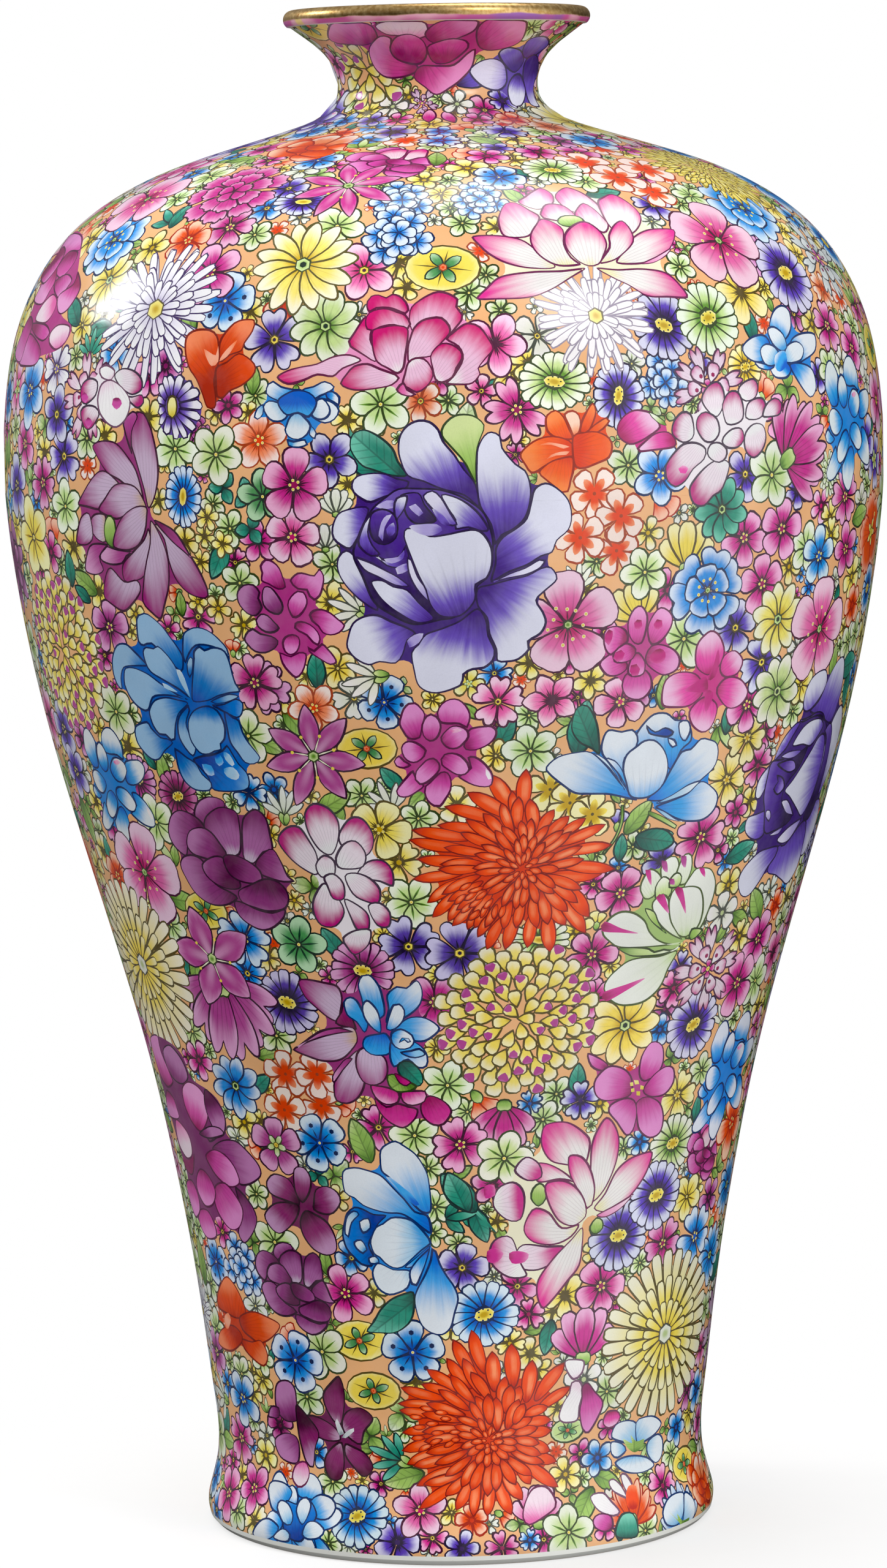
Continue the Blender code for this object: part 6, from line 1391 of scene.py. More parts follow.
b pinkpale -4.2,-9.5 -4.2,17.7 | -0.1,-9.5 2.5,-8.9 5.9,-6.1 7.9,-5.9 10.7,-6.7 14.7,-6.7 16.7,-6.1 18.3,-4.3 18.7,-1.1 21.9,2.5 21.1,4.7 18.9,7.9 17.5,8.9 15.5,9.3 14.3,10.5 14.1,11.5 12.9,12.9 12.9,15.7 11.1,17.1 9.3,17.7 6.7,17.5 2.9,14.9 1.5,14.5 -0.5,14.9 -1.5,16.1 -3.3,17.1 -5.5,16.5 -7.3,16.9 -9.5,16.7 -10.5,15.5 -10.5,11.9 -11.5,10.9 -13.3,7.3 -14.5,6.1 -15.1,3.1 -16.7,1.3 -21.5,0.1 -22.5,-0.7 -30.3,-1.7 -34.1,-3.1 -34.1,-3.9 -33.5,-4.5 -31.5,-5.3 -29.5,-5.3 -26.1,-4.3 -24.9,-3.5 -22.3,-3.3 -18.5,-4.3 -16.7,-6.5 -14.7,-7.5 -10.3,-7.7 -4.9,-6.9 -3.5,-7.3 -1.9,-8.9
t pinktip -1,0.1 -6.6,17.1 | -10.8,15.5 -9.7,17 -7.7,17.3 -5.7,16.5 -4.2,17.4 -2.2,17 -0.3,15.2 0.5,12.7 -0.5,11.6 -3.1,12.7 -5.1,13.3 -8.1,13.3 -10.1,12.3 -10.9,14.1
t pinktip 3.4,2 7.9,17.9 | 0.3,11.1 0.9,13.7 2.9,15.6 5.4,17.2 7.9,18.1 10.8,17.5 13.2,15.8 12.9,13.7 14.4,11.5 14.2,10 11.8,6.9 9.8,4.9 4.9,3.8 1,7.4
t pinktip -4.9,-1.4 -13.9,8.4 | -15.5,4.9 -13.9,7.4 -12.5,9.7 -10.9,11.5 -8.9,8.8 -9.4,5.2 -7.8,1.1 -8.3,-0.8 -10.9,0.7 -13.4,2.3 -15,3.4
t pinktip -0.5,0 -8.6,12.9 | -11.1,10.3 -10.1,12.4 -7.6,13.4 -5.1,13.5 -2.6,12.6 -0.4,11.7 1,9 0.1,7.4 -3.5,8.6 -7,8.1 -8.9,7.2 -10.6,7.8
t pinktip -1.5,-3.9 -5,8.4 | -9.4,5.2 -9.1,7.8 -6.4,8.5 -3.4,8.9 0,8.1 0.3,4.9 -0.2,1 -0.7,-2.5 -2.5,-4.1 -5.4,-2.5 -7.9,-0.9 -9,2.1
t pinktip -0,-1.5 8.3,10.5 | 0.4,5 1.5,8.1 3.5,10.1 6,10.9 8.9,10.9 11,8.6 11.1,6.4 9.3,4.4 7.5,2.4 6,0.4 2.4,-0.1 0.2,-1.1 -0.1,2.5
t pinktip 9.8,-5 19.7,7.5 | 9.8,4.9 11.7,7 14.4,9.1 16.3,9.4 18.8,8.4 21.2,5 22.2,2.5 20.2,-0 18.3,-2.6 18.8,-4 16.8,-6.5 13.7,-7 9.7,-6.6 11.8,-4.1 13.9,-0.1 12.9,2.9
t pinktip 6.9,-5.9 12.8,3 | 5.8,0.4 6.9,2.5 8.8,4 11.4,3.8 13.9,2.1 14.3,-0.1 12.8,-2.6 11.8,-5.1 8.8,-6.6 6.9,-5.5 6.3,-2.6
t pinktip 1,0 3.9,-8.8 | -0.9,-4 0,-1 2,0.3 4.4,0 6.1,-2 6.7,-4.6 5,-7.5 2.4,-9 0,-7.9 -1.6,-6.9
t pinktip -11.8,-0.3 -34.5,-3.7 | -34.7,-3.5 -31.8,-1.8 -27.6,-1 -23.7,-0.5 -19.3,1.2 -14.9,1.5 -11.8,-0.3 -16.7,-2.3 -19.4,-4.3 -23.5,-3.7 -27.2,-5 -31.6,-5.7
t pinktip -2.5,-3.9 -16.9,-5.9 | -17.6,-6 -15.9,-3.5 -13.9,-1.5 -10.3,-0.9 -6.9,-2.3 -2.9,-3.9 -1.9,-5 -3.9,-6.9 -7.9,-7.7 -12.5,-8.1 -15.6,-7.5
m heropink -3,-7.8 1.9,-9.3 | -3.1,-7.9 -1,-5.9 0.1,-7.9 2.5,-9.3 1,-9.9 -1.6,-9.4
@ high_mum 10.4 195.4
b mumred -2.3,-22.2 -2.3,26.4 | 8.2,-22.2 8.6,-22.2 9.6,-18.2 9.4,-16.4 10,-15.8 11.6,-15.8 11.6,-14.8 12.2,-14.2 13.8,-14.2 18.2,-16.8 16.8,-14.2 16.8,-12.8 17.4,-12.2 19,-12.2 19,-11.8 17,-8 15.8,-7.2 15.8,-5.4 16.4,-4.8 19,-4.8 18.2,-4 18.2,-2.6 18.8,-2 23.4,-1.8 17.6,0.6 16.4,0.6 16,1.2 14.4,1.2 13.8,1.8 13.8,3.2 14.4,3.8 17.8,3.8 22.2,6 17.6,6 17,6.6 17,8 20.2,10.2 15.8,9.8 15.2,10.4 15.4,12 11.4,11.4 10.8,12 10.8,13.6 9.2,12.8 7.6,12.8 7,13.4 7,15.2 6.2,14.6 4.6,14.6 2.4,18.8 1.4,18.8 0.8,19.4 1.2,22.4 -0.8,26.4 -1.8,22.8 -2.4,22.2 -4,22.2 -7.6,25.4 -7.4,20.8 -8,20.2 -9.4,20.2 -12.6,21.4 -11.2,19.8 -11.2,18.2 -11.8,17.6 -17.6,18.4 -13.8,15.2 -13.8,13.8 -14.4,13.2 -20.6,13 -20.4,11.4 -21,10.8 -26.4,10.2 -23.8,9.4 -23,8.6 -23,7.2 -23.6,6.6 -27.2,5.8 -22.8,5 -21.8,4.2 -21.8,2.8 -22.4,2.2 -25,1.2 -22.2,1 -21.6,0.4 -21.6,-1 -22.2,-1.6 -25.8,-3.6 -22.2,-3.6 -21.6,-4.2 -21.6,-5.6 -23.4,-7.2 -21,-7.2 -20.4,-7.8 -20.4,-9.2 -21.8,-12 -21,-11.4 -19.6,-11.4 -19,-12 -19,-13 -17.6,-12 -16,-12 -15.4,-12.6 -15.8,-15.2 -14.2,-15.2 -13.8,-15.6 -13.4,-15 -12,-15 -11,-16.2 -11,-17.4 -10.2,-16.8 -8.8,-16.8 -8.2,-17.4 -8.6,-20.6 -5.8,-18.2 -4.4,-18.2 -3.8,-18.8 -3.8,-21 -0.4,-16.8 -0.8,-16.4 -0.8,-15 -0.2,-14.4 1.2,-14.4 1.8,-15 1.8,-16.4 1,-17 1.6,-17.6 1.8,-20.6 4.2,-17.2 5.6,-17.2
p mumred -0,16.1 -1,28.1 | 2.25,0
p mumred -2.5,15.6 -8.5,27.4 | 2.43,0
p mumred -2.5,14.1 -14.4,22.9 | 2.2,0
p mumred -6,13.1 -20.2,19.6 | 1.95,0
p mumred -8.4,10.4 -22.5,13.4 | 1.76,0
p mumred -12.8,8.8 -29.4,10.6 | 1.81,0
p mumred -13.8,6.1 -30,5.9 | 1.79,0
p mumred -12.6,2.9 -27.6,0.9 | 1.8,0
p mumred -14.5,-0.4 -28.4,-4.2 | 1.71,0
p mumred -14.9,-2.6 -25.3,-8.4 | 1.73,0
p mumred -14.8,-4.8 -23.4,-13.5 | 1.77,0
p mumred -13.8,-6.9 -19.8,-14.2 | 1.57,0
p mumred -11.2,-8 -16.7,-16.8 | 1.58,0
p mumred -10.1,-9 -14.4,-16.7 | 1.48,0
p mumred -8.1,-9.7 -11.9,-16.7 | 1.46,0
p mumred -6.1,-11.2 -11.8,-18.6 | 1.56,0
p mumred -4,-13 -9.4,-22.2 | 1.77,0
p mumred 0,-11.4 -4.6,-22.5 | 1.91,0
p mumred 4.1,-11.6 1.5,-22.4 | 1.92,0
p mumred 7.3,-11.8 8.6,-24.2 | 2.21,0
p mumred 7.1,-8.6 12.3,-17.2 | 1.95,0
p mumred 9.2,-7.6 19.9,-18.6 | 2.23,0
p mumred 10.6,-4.5 20.7,-13.7 | 2.35,0
p mumred 6.8,-1.5 21.9,-5.4 | 1.87,0
p mumred 8.8,1.1 26.2,-2.4 | 1.88,0
p mumred 9.7,3.7 24.7,6.3 | 1.77,0
p mumred 8.6,6 22.8,11.1 | 1.73,0
p mumred 7.5,7.7 17.3,13 | 1.6,0
p mumred 5.4,7.9 11.9,14.9 | 1.8,0
p mumred 3.3,9 7.7,16.8 | 1.73,0
p mumred 2.8,10.1 2.4,20 | 2.03,0
p mumred -2,14 -4.3,22.1 | 1.41,0
p mumred -1.4,11.3 -2.7,20.5 | 1.83,0
p mumred -2.4,10.3 -7.2,18.4 | 1.62,0
p mumred -3.8,8.7 -11.1,15.8 | 1.71,0
p mumred -4.8,7.1 -15.5,14.2 | 1.56,0
p mumred -5.8,6.1 -16.9,10.3 | 1.53,0
p mumred -7.7,4.5 -20.8,5.9 | 1.51,0
p mumred -10,1.8 -21.6,2.6 | 1.5,0
p mumred -10.1,0.7 -22,-1.1 | 1.5,0
p mumred -10.5,-1.4 -21.4,-6 | 1.52,0
p mumred -9.9,-3.1 -19.3,-9.2 | 1.42,0
p mumred -8.8,-4.7 -16.1,-12.4 | 1.45,0
p mumred -7.3,-5.8 -13,-14.5 | 1.46,0
p mumred -4.7,-7.5 -8.9,-16.7 | 1.47,0
p mumred -2.1,-8.6 -5.3,-16.7 | 1.48,0
p mumred 0.9,-8.2 -1.3,-16.8 | 1.6,0
p mumred 3.4,-7.2 3.4,-17.1 | 1.75,0
p mumred 5.5,-6.3 8,-16.3 | 1.9,0
p mumred 6,-5.2 12.7,-13.4 | 1.83,0
p mumred 6.9,-3.1 16.2,-10.5 | 1.72,0
p mumred 5.8,-1.9 17.1,-6.7 | 1.67,0
p mumred 5.7,0.2 17.3,1.4 | 1.45,0
p mumred 5.7,1.8 16.6,5.4 | 1.42,0
p mumred 5.1,4.1 13.7,9.4 | 1.4,0
p mumred 3.5,4.7 10.5,11.3 | 1.4,0
p mumred 2.4,5.8 6.3,12.6 | 1.44,0
p mumred 1.4,6.4 2.6,14.4 | 1.49,0
p mumred 0.3,7 0.1,13.9 | 1.4,0
p mumred -11.3,-5.8 -14.7,-9 | 0.92,0
p mumred -12.9,-3.6 -16.3,-5.9 | 0.91,0
p mumred -12.2,-9 -15.6,-12.4 | 0.93,0
p mumred -10.6,-11.2 -13.5,-14.5 | 0.93,0
p mumred -14.3,-6.9 -17.7,-9.7 | 0.92,0
p mumred -9.7,-7.4 -13.2,-11.2 | 0.94,0
p mumred -8.2,-9.1 -11,-13.4 | 0.94,0
p mumred -6.1,-9.6 -7.5,-14 | 0.95,0
p mumred -4.1,-9.6 -5,-14 | 0.97,0
p mumred -0.7,6 -5,13 | 1.4,0
p mumred -2.1,4.9 -8.4,10.4 | 1.39,0
p mumred -3.1,3.3 -10.8,7.7 | 1.35,0
p mumred -3.6,2.5 -12.7,5 | 1.27,0
p mumred -4,1.2 -13.1,1.8 | 1.26,0
p mumred -3.5,0.1 -12.5,-1.4 | 1.25,0
p mumred -2.9,-1 -11.3,-4.7 | 1.25,0
p mumred -1.9,-2.1 -8.8,-7.4 | 1.26,0
p mumred -1.3,-3.2 -5.6,-10.2 | 1.3,0
p mumred 0.3,-3.8 -2,-11.4 | 1.38,0
p mumred 1.3,-3.8 1.6,-11 | 1.43,0
p mumred 2.3,-3.3 5.1,-10 | 1.46,0
p mumred 2.8,-2.3 8.7,-8.1 | 1.45,0
p mumred 3.7,-1.3 10.1,-5 | 1.43,0
p mumred 3.7,0.1 10.4,-0.7 | 1.36,0
p mumred 3.1,1.5 9.2,3.8 | 1.26,0
p mumred 2.5,2.6 6.5,7.3 | 1.27,0
p mumred 1.5,3.7 3.3,9.5 | 1.31,0
p mumred 0.5,4.3 0.2,10.2 | 1.3,0
p mumred -9.8,-4.7 -13.8,-6.9 | 0.81,0
p mumred -8.8,-5.8 -11.7,-9 | 0.81,0
p mumred -7.2,-8 -9.6,-11.2 | 0.82,0
p mumred -0.3,2.7 -2.3,8.7 | 1.09,0
p mumred -1.5,1.7 -5.2,6.1 | 1.1,0
p mumred -2,0.6 -7.1,2.9 | 1.04,0
p mumred -1.5,-0.2 -6.4,-0.4 | 0.99,0
p mumred -0.8,-1.1 -4.9,-3.7 | 1.01,0
p mumred -0.1,-1.6 -1.7,-5.9 | 1.05,0
p mumred 0.9,-1.7 1.4,-6 | 1.08,0
p mumred 1.7,-1.1 4.4,-4 | 1.12,0
p mumred 1.9,-0.1 5.8,-0.9 | 1.05,0
p mumred 1.6,1 4.6,3 | 1.01,0
p mumred 1.1,1.6 1.9,6.4 | 1.05,0
p mumred -0.2,0.8 -1.6,4.9 | 0.78,0
p mumred -0.7,0.3 -3.6,1.7 | 0.75,0
p mumred -0.4,-0.5 -2.4,-2.1 | 0.72,0
p mumred 0.2,-0.5 0.7,-3.3 | 0.78,0
p mumred 0.9,-0.3 3.3,-1.8 | 0.75,0
p mumred 0.8,0.5 3.1,1.5 | 0.69,0
p mumred 0.2,1.1 0.4,4.8 | 0.75,0
@ low_mum 6.3 33.2
b mumred -2.6,-19.7 -2.6,28.5 | -0.6,-19.7 1,-17.3 2.4,-17.3 3.8,-19.7 4.2,-19.7 4.6,-16.3 5.2,-15.7 6.6,-15.7 7.6,-16.7 7.4,-12.9 7,-12.7 7,-11.3 7.6,-10.7 9,-10.7 11.4,-12.1 13.6,-11.9 17.4,-13.7 15.4,-10.7 15.4,-9.1 16,-8.5 17,-8.5 15,-6.1 15,-4.7 16.2,-3.9 14,-1.9 14,-0.5 14.6,0.1 16.4,0.5 14.6,1.9 14.6,3.5 16,4.7 14.6,4.9 14,5.5 14,7.1 15.4,8.3 18.8,9.3 21.2,12.5 18.8,11.7 17.4,11.7 16.8,12.3 16.8,13.7 18,14.9 19.2,19.1 14.8,15.5 13.4,15.5 12.8,16.1 12.2,19.9 11.8,19.9 10,16.7 8.6,16.7 8,17.3 8.6,20.5 6.8,25.1 5,20.5 6.4,16.3 6.4,14.9 5.8,14.3 4.4,14.3 3.2,16.7 2.6,17.1 2.8,19.5 0.8,23.3 -1.2,22.9 -1.8,23.5 -2,25.1 -5.2,28.5 -5,25.1 -5.6,24.5 -7,24.5 -9,26.3 -8,21.1 -8.6,20.5 -10,20.5 -10.8,21.1 -10.4,18.9 -11,18.3 -12.8,18.3 -14.4,18.9 -13.4,17.5 -13.4,15.9 -14,15.3 -16.6,15.3 -16.6,14.1 -17.2,13.5 -22,13.3 -21.6,12.9 -21.6,11.5 -22.2,10.9 -20.4,10.3 -19.6,9.5 -19.6,8.1 -20.2,7.5 -22.2,6.9 -21.6,6.9 -21,5.9 -19.4,5.5 -18.8,4.9 -18.8,3.5 -20,2.5 -21.4,2.1 -20.2,1.3 -20.2,-0.1 -20.4,-1.5 -22,-2.7 -19.6,-2.7 -19,-3.3 -19,-4.7 -20.4,-5.9 -18.8,-5.9 -18.2,-6.5 -18.4,-8.1 -17,-8.1 -16.4,-8.7 -16.4,-10.1 -17.6,-11.1 -15.6,-11.1 -15,-11.7 -15,-13.1 -15.6,-13.5 -15.2,-13.9 -15.2,-15.3 -17,-16.9 -12.4,-15.7 -12,-15.1 -10.4,-15.1 -10.2,-15.5 -8.2,-15.1 -7.6,-15.7 -7.8,-18.3 -6.8,-17.3 -5.4,-17.3 -4.8,-17.9 -4.6,-19.5 -3,-16.7 -1.6,-16.7 -1,-17.3
p mumred -0.5,18.4 -6.1,30.5 | 2.03,0
p mumred -3.4,17.5 -10.2,28.2 | 2.01,0
p mumred 1.9,13.2 0.5,25 | 2.25,0
p mumred 6.9,13.9 6.7,26.9 | 2.36,0
p mumred 10.4,9.6 12.4,21.8 | 2.3,0
p mumred 12.9,9.8 20.2,20.9 | 2.14,0
p mumred 13.4,7.2 22.9,13.7 | 1.77,0
p mumred -4.4,14.4 -12.1,22.5 | 1.79,0
p mumred -6.4,12.9 -16.3,20.4 | 1.76,0
p mumred -8.3,12.4 -18,16 | 1.65,0
p mumred -10.8,11.4 -24,13.6 | 1.65,0
p mumred -11.2,9.3 -24.5,11.3 | 1.56,0
p mumred -12.2,7.3 -24.3,6.9 | 1.58,0
p mumred -12.2,3.7 -23.5,1.6 | 1.59,0
p mumred -12.2,0.1 -23.8,-3.1 | 1.7,0
p mumred -11.2,-2.4 -22.5,-6.5 | 1.7,0
p mumred -9.8,-4.5 -20,-8.9 | 1.69,0
p mumred -7.3,-7.5 -20,-11.8 | 1.67,0
p mumred -6.4,-9 -17,-14.1 | 1.65,0
p mumred -6.4,-11 -19.3,-18.2 | 1.74,0
p mumred -5.4,-9.5 -10.7,-16.4 | 1.65,0
p mumred -4,-10 -8.3,-19.8 | 1.75,0
p mumred -2.5,-10.1 -5.1,-21.2 | 1.65,0
p mumred 0.9,-11.2 -0.8,-21.3 | 1.75,0
p mumred 2.4,-10.3 4.3,-21.6 | 1.95,0
p mumred 3.8,-8.8 8.2,-18 | 1.99,0
p mumred 7.4,-6.6 12.2,-13 | 1.84,0
p mumred 8.4,-5.7 19.2,-15.4 | 1.99,0
p mumred 9.4,-3.7 18.6,-9.3 | 1.92,0
p mumred 9.4,-1.2 17.6,-4.6 | 1.92,0
p mumred 9.4,1.4 17.9,0.5 | 1.86,0
p mumred 9.4,4 17.6,4.6 | 1.72,0
p mumred 9.4,6 16.5,8.9 | 1.67,0
p mumred -1.5,12.3 -7.3,23.1 | 1.83,0
p mumred 0.5,10.7 -3.4,20 | 1.74,0
p mumred 3.4,9.1 3.4,17.7 | 1.72,0
p mumred 6.9,7.8 8.4,14.8 | 1.81,0
p mumred -3.4,10.3 -10.7,18 | 1.7,0
p mumred -4.9,8.3 -13.6,14.4 | 1.57,0
p mumred -5.9,6.8 -16.6,11.2 | 1.46,0
p mumred -6.8,5.2 -18.1,7.6 | 1.46,0
p mumred -7.3,3.2 -18.1,3.5 | 1.46,0
p mumred -7.3,1.2 -17.6,-0.6 | 1.47,0
p mumred -6.3,-0.9 -16.6,-5.1 | 1.48,0
p mumred -5.4,-2.9 -14.1,-8.1 | 1.48,0
p mumred -4.4,-4.5 -11.2,-11 | 1.48,0
p mumred -3,-5.5 -7.4,-13.4 | 1.57,0
p mumred -1.5,-6.1 -4,-14.5 | 1.68,0
p mumred 0.4,-6.2 -0.7,-16 | 1.77,0
p mumred 1.9,-6.2 3.2,-14.7 | 1.69,0
p mumred 3.4,-5.8 7.2,-13.5 | 1.62,0
p mumred 4.9,-4.9 11.2,-11.9 | 1.65,0
p mumred 5.9,-3.4 14.9,-9.4 | 1.58,0
p mumred 6.4,-1.9 15,-5.3 | 1.56,0
p mumred 6.4,-0.4 14.5,-1.7 | 1.53,0
p mumred 6.4,1.1 14,2 | 1.5,0
p mumred 5.9,2.7 12.4,5.2 | 1.47,0
p mumred 4.9,3.8 10.4,8.5 | 1.46,0
p mumred -17.6,6.1 -21.5,5.9 | 0.9,0
p mumred -16.6,3.6 -20.5,2.8 | 0.89,0
p mumred -17.1,0.5 -21,-0.3 | 0.89,0
p mumred -15.1,-1.5 -19.1,-3.2 | 0.91,0
p mumred -13.2,4.7 -17.1,4.1 | 0.88,0
p mumred -11.7,2.2 -15.6,1.5 | 0.88,0
p mumred -12.2,0.1 -16.1,-1 | 0.88,0
p mumred -9.8,5.8 -13.1,6.2 | 0.87,0
p mumred -8.8,-0.4 -12.2,-1.9 | 0.89,0
p mumred -10.7,7.4 -14.6,8.2 | 0.87,0
p mumred -14.6,8.2 -18.6,9.1 | 0.88,0
p mumred 0.9,6.1 0.5,13.2 | 1.43,0
p mumred -0,5.6 -2.5,12.9 | 1.44,0
p mumred -1,4.6 -5.9,10.4 | 1.37,0
p mumred -2,3.6 -8.3,7.3 | 1.29,0
p mumred -2.5,2.1 -9.3,4.2 | 1.27,0
p mumred -2.5,0.8 -8.8,1.2 | 1.26,0
p mumred -1.9,-0.5 -7.9,-1.9 | 1.28,0
p mumred -1.5,-1.5 -5.9,-4.5 | 1.28,0
p mumred -0.8,-2.6 -3.5,-7 | 1.29,0
p mumred 0.2,-3.1 -0.6,-8.1 | 1.31,0
p mumred 1.4,-3.2 2.4,-7.8 | 1.32,0
p mumred 1.9,-2.4 5.4,-6.5 | 1.34,0
p mumred 2.5,-1.7 7.9,-4.1 | 1.32,0
p mumred 2.9,-0.4 8.4,-1.1 | 1.3,0
p mumred 2.5,0.9 7.9,2 | 1.27,0
p mumred 2.2,1.9 6.4,5.3 | 1.28,0
p mumred 1.7,3 3.9,8 | 1.29,0
p mumred -7.3,2.2 -10.8,2.2 | 0.78,0
p mumred -7.4,0.1 -10.2,-0.4 | 0.77,0
p mumred 0.2,2 -0,8.1 | 1.03,0
p mumred -0.7,1.5 -2.9,6.2 | 1.03,0
p mumred -1.2,0.5 -4.9,3.2 | 1,0
p mumred -1.2,-0.5 -4.9,-0.4 | 0.98,0
p mumred -0.7,-1.3 -3.5,-3 | 1,0
p mumred -0,-1.8 -0.5,-4.6 | 1.01,0
p mumred 0.7,-1.3 2.4,-3.7 | 1.05,0
p mumred 1.2,-0.6 4.4,-1.3 | 0.99,0
p mumred 1.2,0.4 3.9,1.8 | 0.97,0
p mumred 0.7,1.2 2.4,5 | 1.01,0
p mumred 0.3,0.5 0.5,4 | 0.66,0
p mumred -0.3,0.2 -1.5,2.6 | 0.67,0
p mumred -0.3,-0.4 -1.9,-0.5 | 0.63,0
p mumred 0,-0.9 -0.5,-2.6 | 0.67,0
p mumred 0.6,-0.7 1.9,-1.7 | 0.67,0
p mumred 0.6,-0.1 2.5,0.9 | 0.64,0
p mumred 4.8,6.9 6.1,15.4 | 1.92,0
p mumred 2.5,1.9 2.5,12.1 | 1.89,0
p mumred 5.1,2.3 7.4,11.3 | 1.85,0
p mumred 0.5,4 -0.3,12.8 | 1.74,0
p mumred 6.9,3.7 10.4,9.6 | 1.67,0
@ violet_peony 0.6 282.5
b herodark -2.4,-37.6 -2.4,33.2 | -5.4,-37.6 -2,-37.4 1.6,-36.2 2.8,-34.6 3,-33.2 4.8,-31.6 8.4,-31.4 9.8,-30.2 11.6,-29.6 16.4,-29.6 18.6,-28.6 19.8,-27.4 20.6,-24.8 24,-22 24.8,-20 24.2,-17.8 23,-15.8 23,-13 27.6,-8.6 26.8,-6.4 25.4,-5 25.4,-2.4 26.8,-0.8 27.2,1 30.6,4 31.6,6.2 31.6,9.4 30.4,12.4 27,15.6 26,16 22.2,16 20.6,17.4 19.8,19.6 18.2,20.6 14.2,24.8 13.4,28.6 12.4,29.4 10.4,29.6 9.6,29 7.8,26 7.4,23.8 6.2,22.6 4.2,22.2 2.8,22.6 -0.6,26.4 -2,28.8 -2.6,31 -3.4,31.8 -4.8,32.8 -7.6,33.2 -10.6,32 -12.6,29.4 -13,25.6 -12.4,22.2 -12.8,20.8 -14,19.6 -15.4,19.2 -17.4,19.6 -22.6,19.2 -23.8,18.8 -24.8,17.8 -25.2,15.8 -24.2,14.4 -24.2,11.8 -25.6,10.2 -27.8,9.6 -29,8.8 -30.4,5.8 -30.4,3.6 -30.2,2.8 -28.8,1.4 -28.4,0 -28.6,-2 -29.2,-3 -28.8,-6.4 -26.6,-10 -22.8,-13.6 -22.4,-15 -22.8,-17.2 -25.4,-19.2 -26.6,-21.6 -27.4,-24.6 -26.8,-26.8 -25.4,-28.4 -22.4,-30 -21,-30 -19,-29.2 -14.8,-29.6 -14.4,-29.2 -12.6,-29 -11.2,-29.4 -9.8,-31 -9.4,-34.2 -8.6,-36
t teal -11.5,18.8 -25.2,30.3 | -26,26.8 -25.3,29.7 -22.1,31 -17.9,29.3 -14.4,26.3 -13,22.9 -10.7,19.1 -15,19 -19.7,20.4 -22.7,21.5 -25.2,24.4
m leaf 7,16.2 2.9,32.5 | 7.1,16 3.9,22.1 0.4,26.2 -2,29.2 -1.5,32 1.8,34.6 6.5,34.4 9.5,31.8 8.7,29 7.6,26.1 7.2,21.9
v heroviolet 2.5,13.4 -8.4,33.3 | -13.3,26.9 -12.7,29.8 -10.8,32.2 -7.8,33.5 -4.8,33.1 -2.4,31 -1.2,28 1.6,24.5 3.9,20.8 6.8,16.8 7.6,10.9 3.7,13.8 -2.1,15.5 -6.7,17.5 -10.8,19 -12.9,23.5
e heroviolet 11.7,2 11.7,30 | 7,16.1 7.1,22 7.5,26 9.2,29.1 11.2,30.1 13.6,28.9 14.1,25.9 17.4,21.7 19.9,19.9 21.2,16.3 21.1,12.1 19.6,7.5 16.5,4.6 13.5,3.1 11.4,0.8 10.2,6.1 7.6,10.9
e heroviolet 11,-5.6 31.4,8.2 | 11.5,0.1 13.5,3.1 17,5.3 19.6,7.6 20.8,11.6 22,15.1 25,16.5 28.1,15.1 31.1,11.7 31.9,7.5 30.9,3.9 27.8,1.3 26.5,-1.7 23.5,-2.7 19.9,-4.8 15.1,-6.5 10.3,-8.8 11.3,-3.9
w violetpale 11.5,-8.3 24.6,-3.2 | 10.3,-8.9 15.1,-6.6 19.2,-5.2 23,-3.1 24.8,-3.5 23.5,-5.7 19.8,-7.2 15.1,-7.9
v heroviolet 7.4,-10.8 24,-24.6 | 6.7,-10.3 10.4,-9.2 15.1,-8.1 19.8,-7.2 23.5,-5.5 26.2,-5.5 27.8,-8.7 24.6,-11.7 22.4,-14 24.1,-17 25,-20 23.5,-23 20.3,-24.9 20.5,-27 17.5,-29.6 14.4,-30.1 11.7,-29.7 11.4,-26.5 9.7,-22.3 9.1,-18.1 6.7,-14.9
e heroviolet 3.3,-16.1 -2.9,-37.7 | -10.6,-26.9 -8.8,-24.7 -6.8,-22 -2.6,-20.5 2,-18.6 6.8,-15.4 9.2,-18.6 9.8,-22.8 11.5,-26.6 10.9,-29.6 8.4,-31.6 5.5,-31.9 3.2,-33.1 2.4,-36 -4.2,-38 -8.7,-36.2 -10.1,-31.7
e heroviolet -10.3,-18.9 -26,-26.9 | -25.8,-19.2 -22.7,-17.2 -19.1,-16.8 -15.6,-18.4 -11.5,-20.1 -9.1,-21.9 -11.4,-23.8 -12.7,-27.5 -14.7,-29.9 -18.9,-29.6 -21.9,-30.5 -25.5,-28.8 -27.6,-25.9 -27.2,-22.7
n violetpale -11.6,-24.9 -7.4,-22 | -11.6,-23.9 -9.7,-22.3 -7.3,-21.9 -8.5,-24.3 -11,-25.6
e heroviolet -19.7,-16 -29.5,-2.4 | -29.2,-2 -27,0 -24.7,-1.2 -21.8,-4.7 -20.2,-8.3 -19.7,-11.8 -18.9,-16 -23.2,-13.7 -27.3,-9.6 -29.4,-5.6
v heroviolet -20.4,5.3 -30.5,5.2 | -30.7,5.7 -29,9.3 -25.7,10.7 -22.7,11.3 -20.7,10.6 -22.1,6.4 -24,2.3 -25.8,-0.1 -28.3,0.7 -30.5,2.7
v heroviolet -13.2,15.3 -25,17 | -25.5,17 -23.9,19.1 -19.7,19.9 -16.2,19.7 -13.7,18.6 -10.2,17.6 -11.9,15.1 -16.8,13.4 -20.3,12 -22.7,12.8 -25,14.6
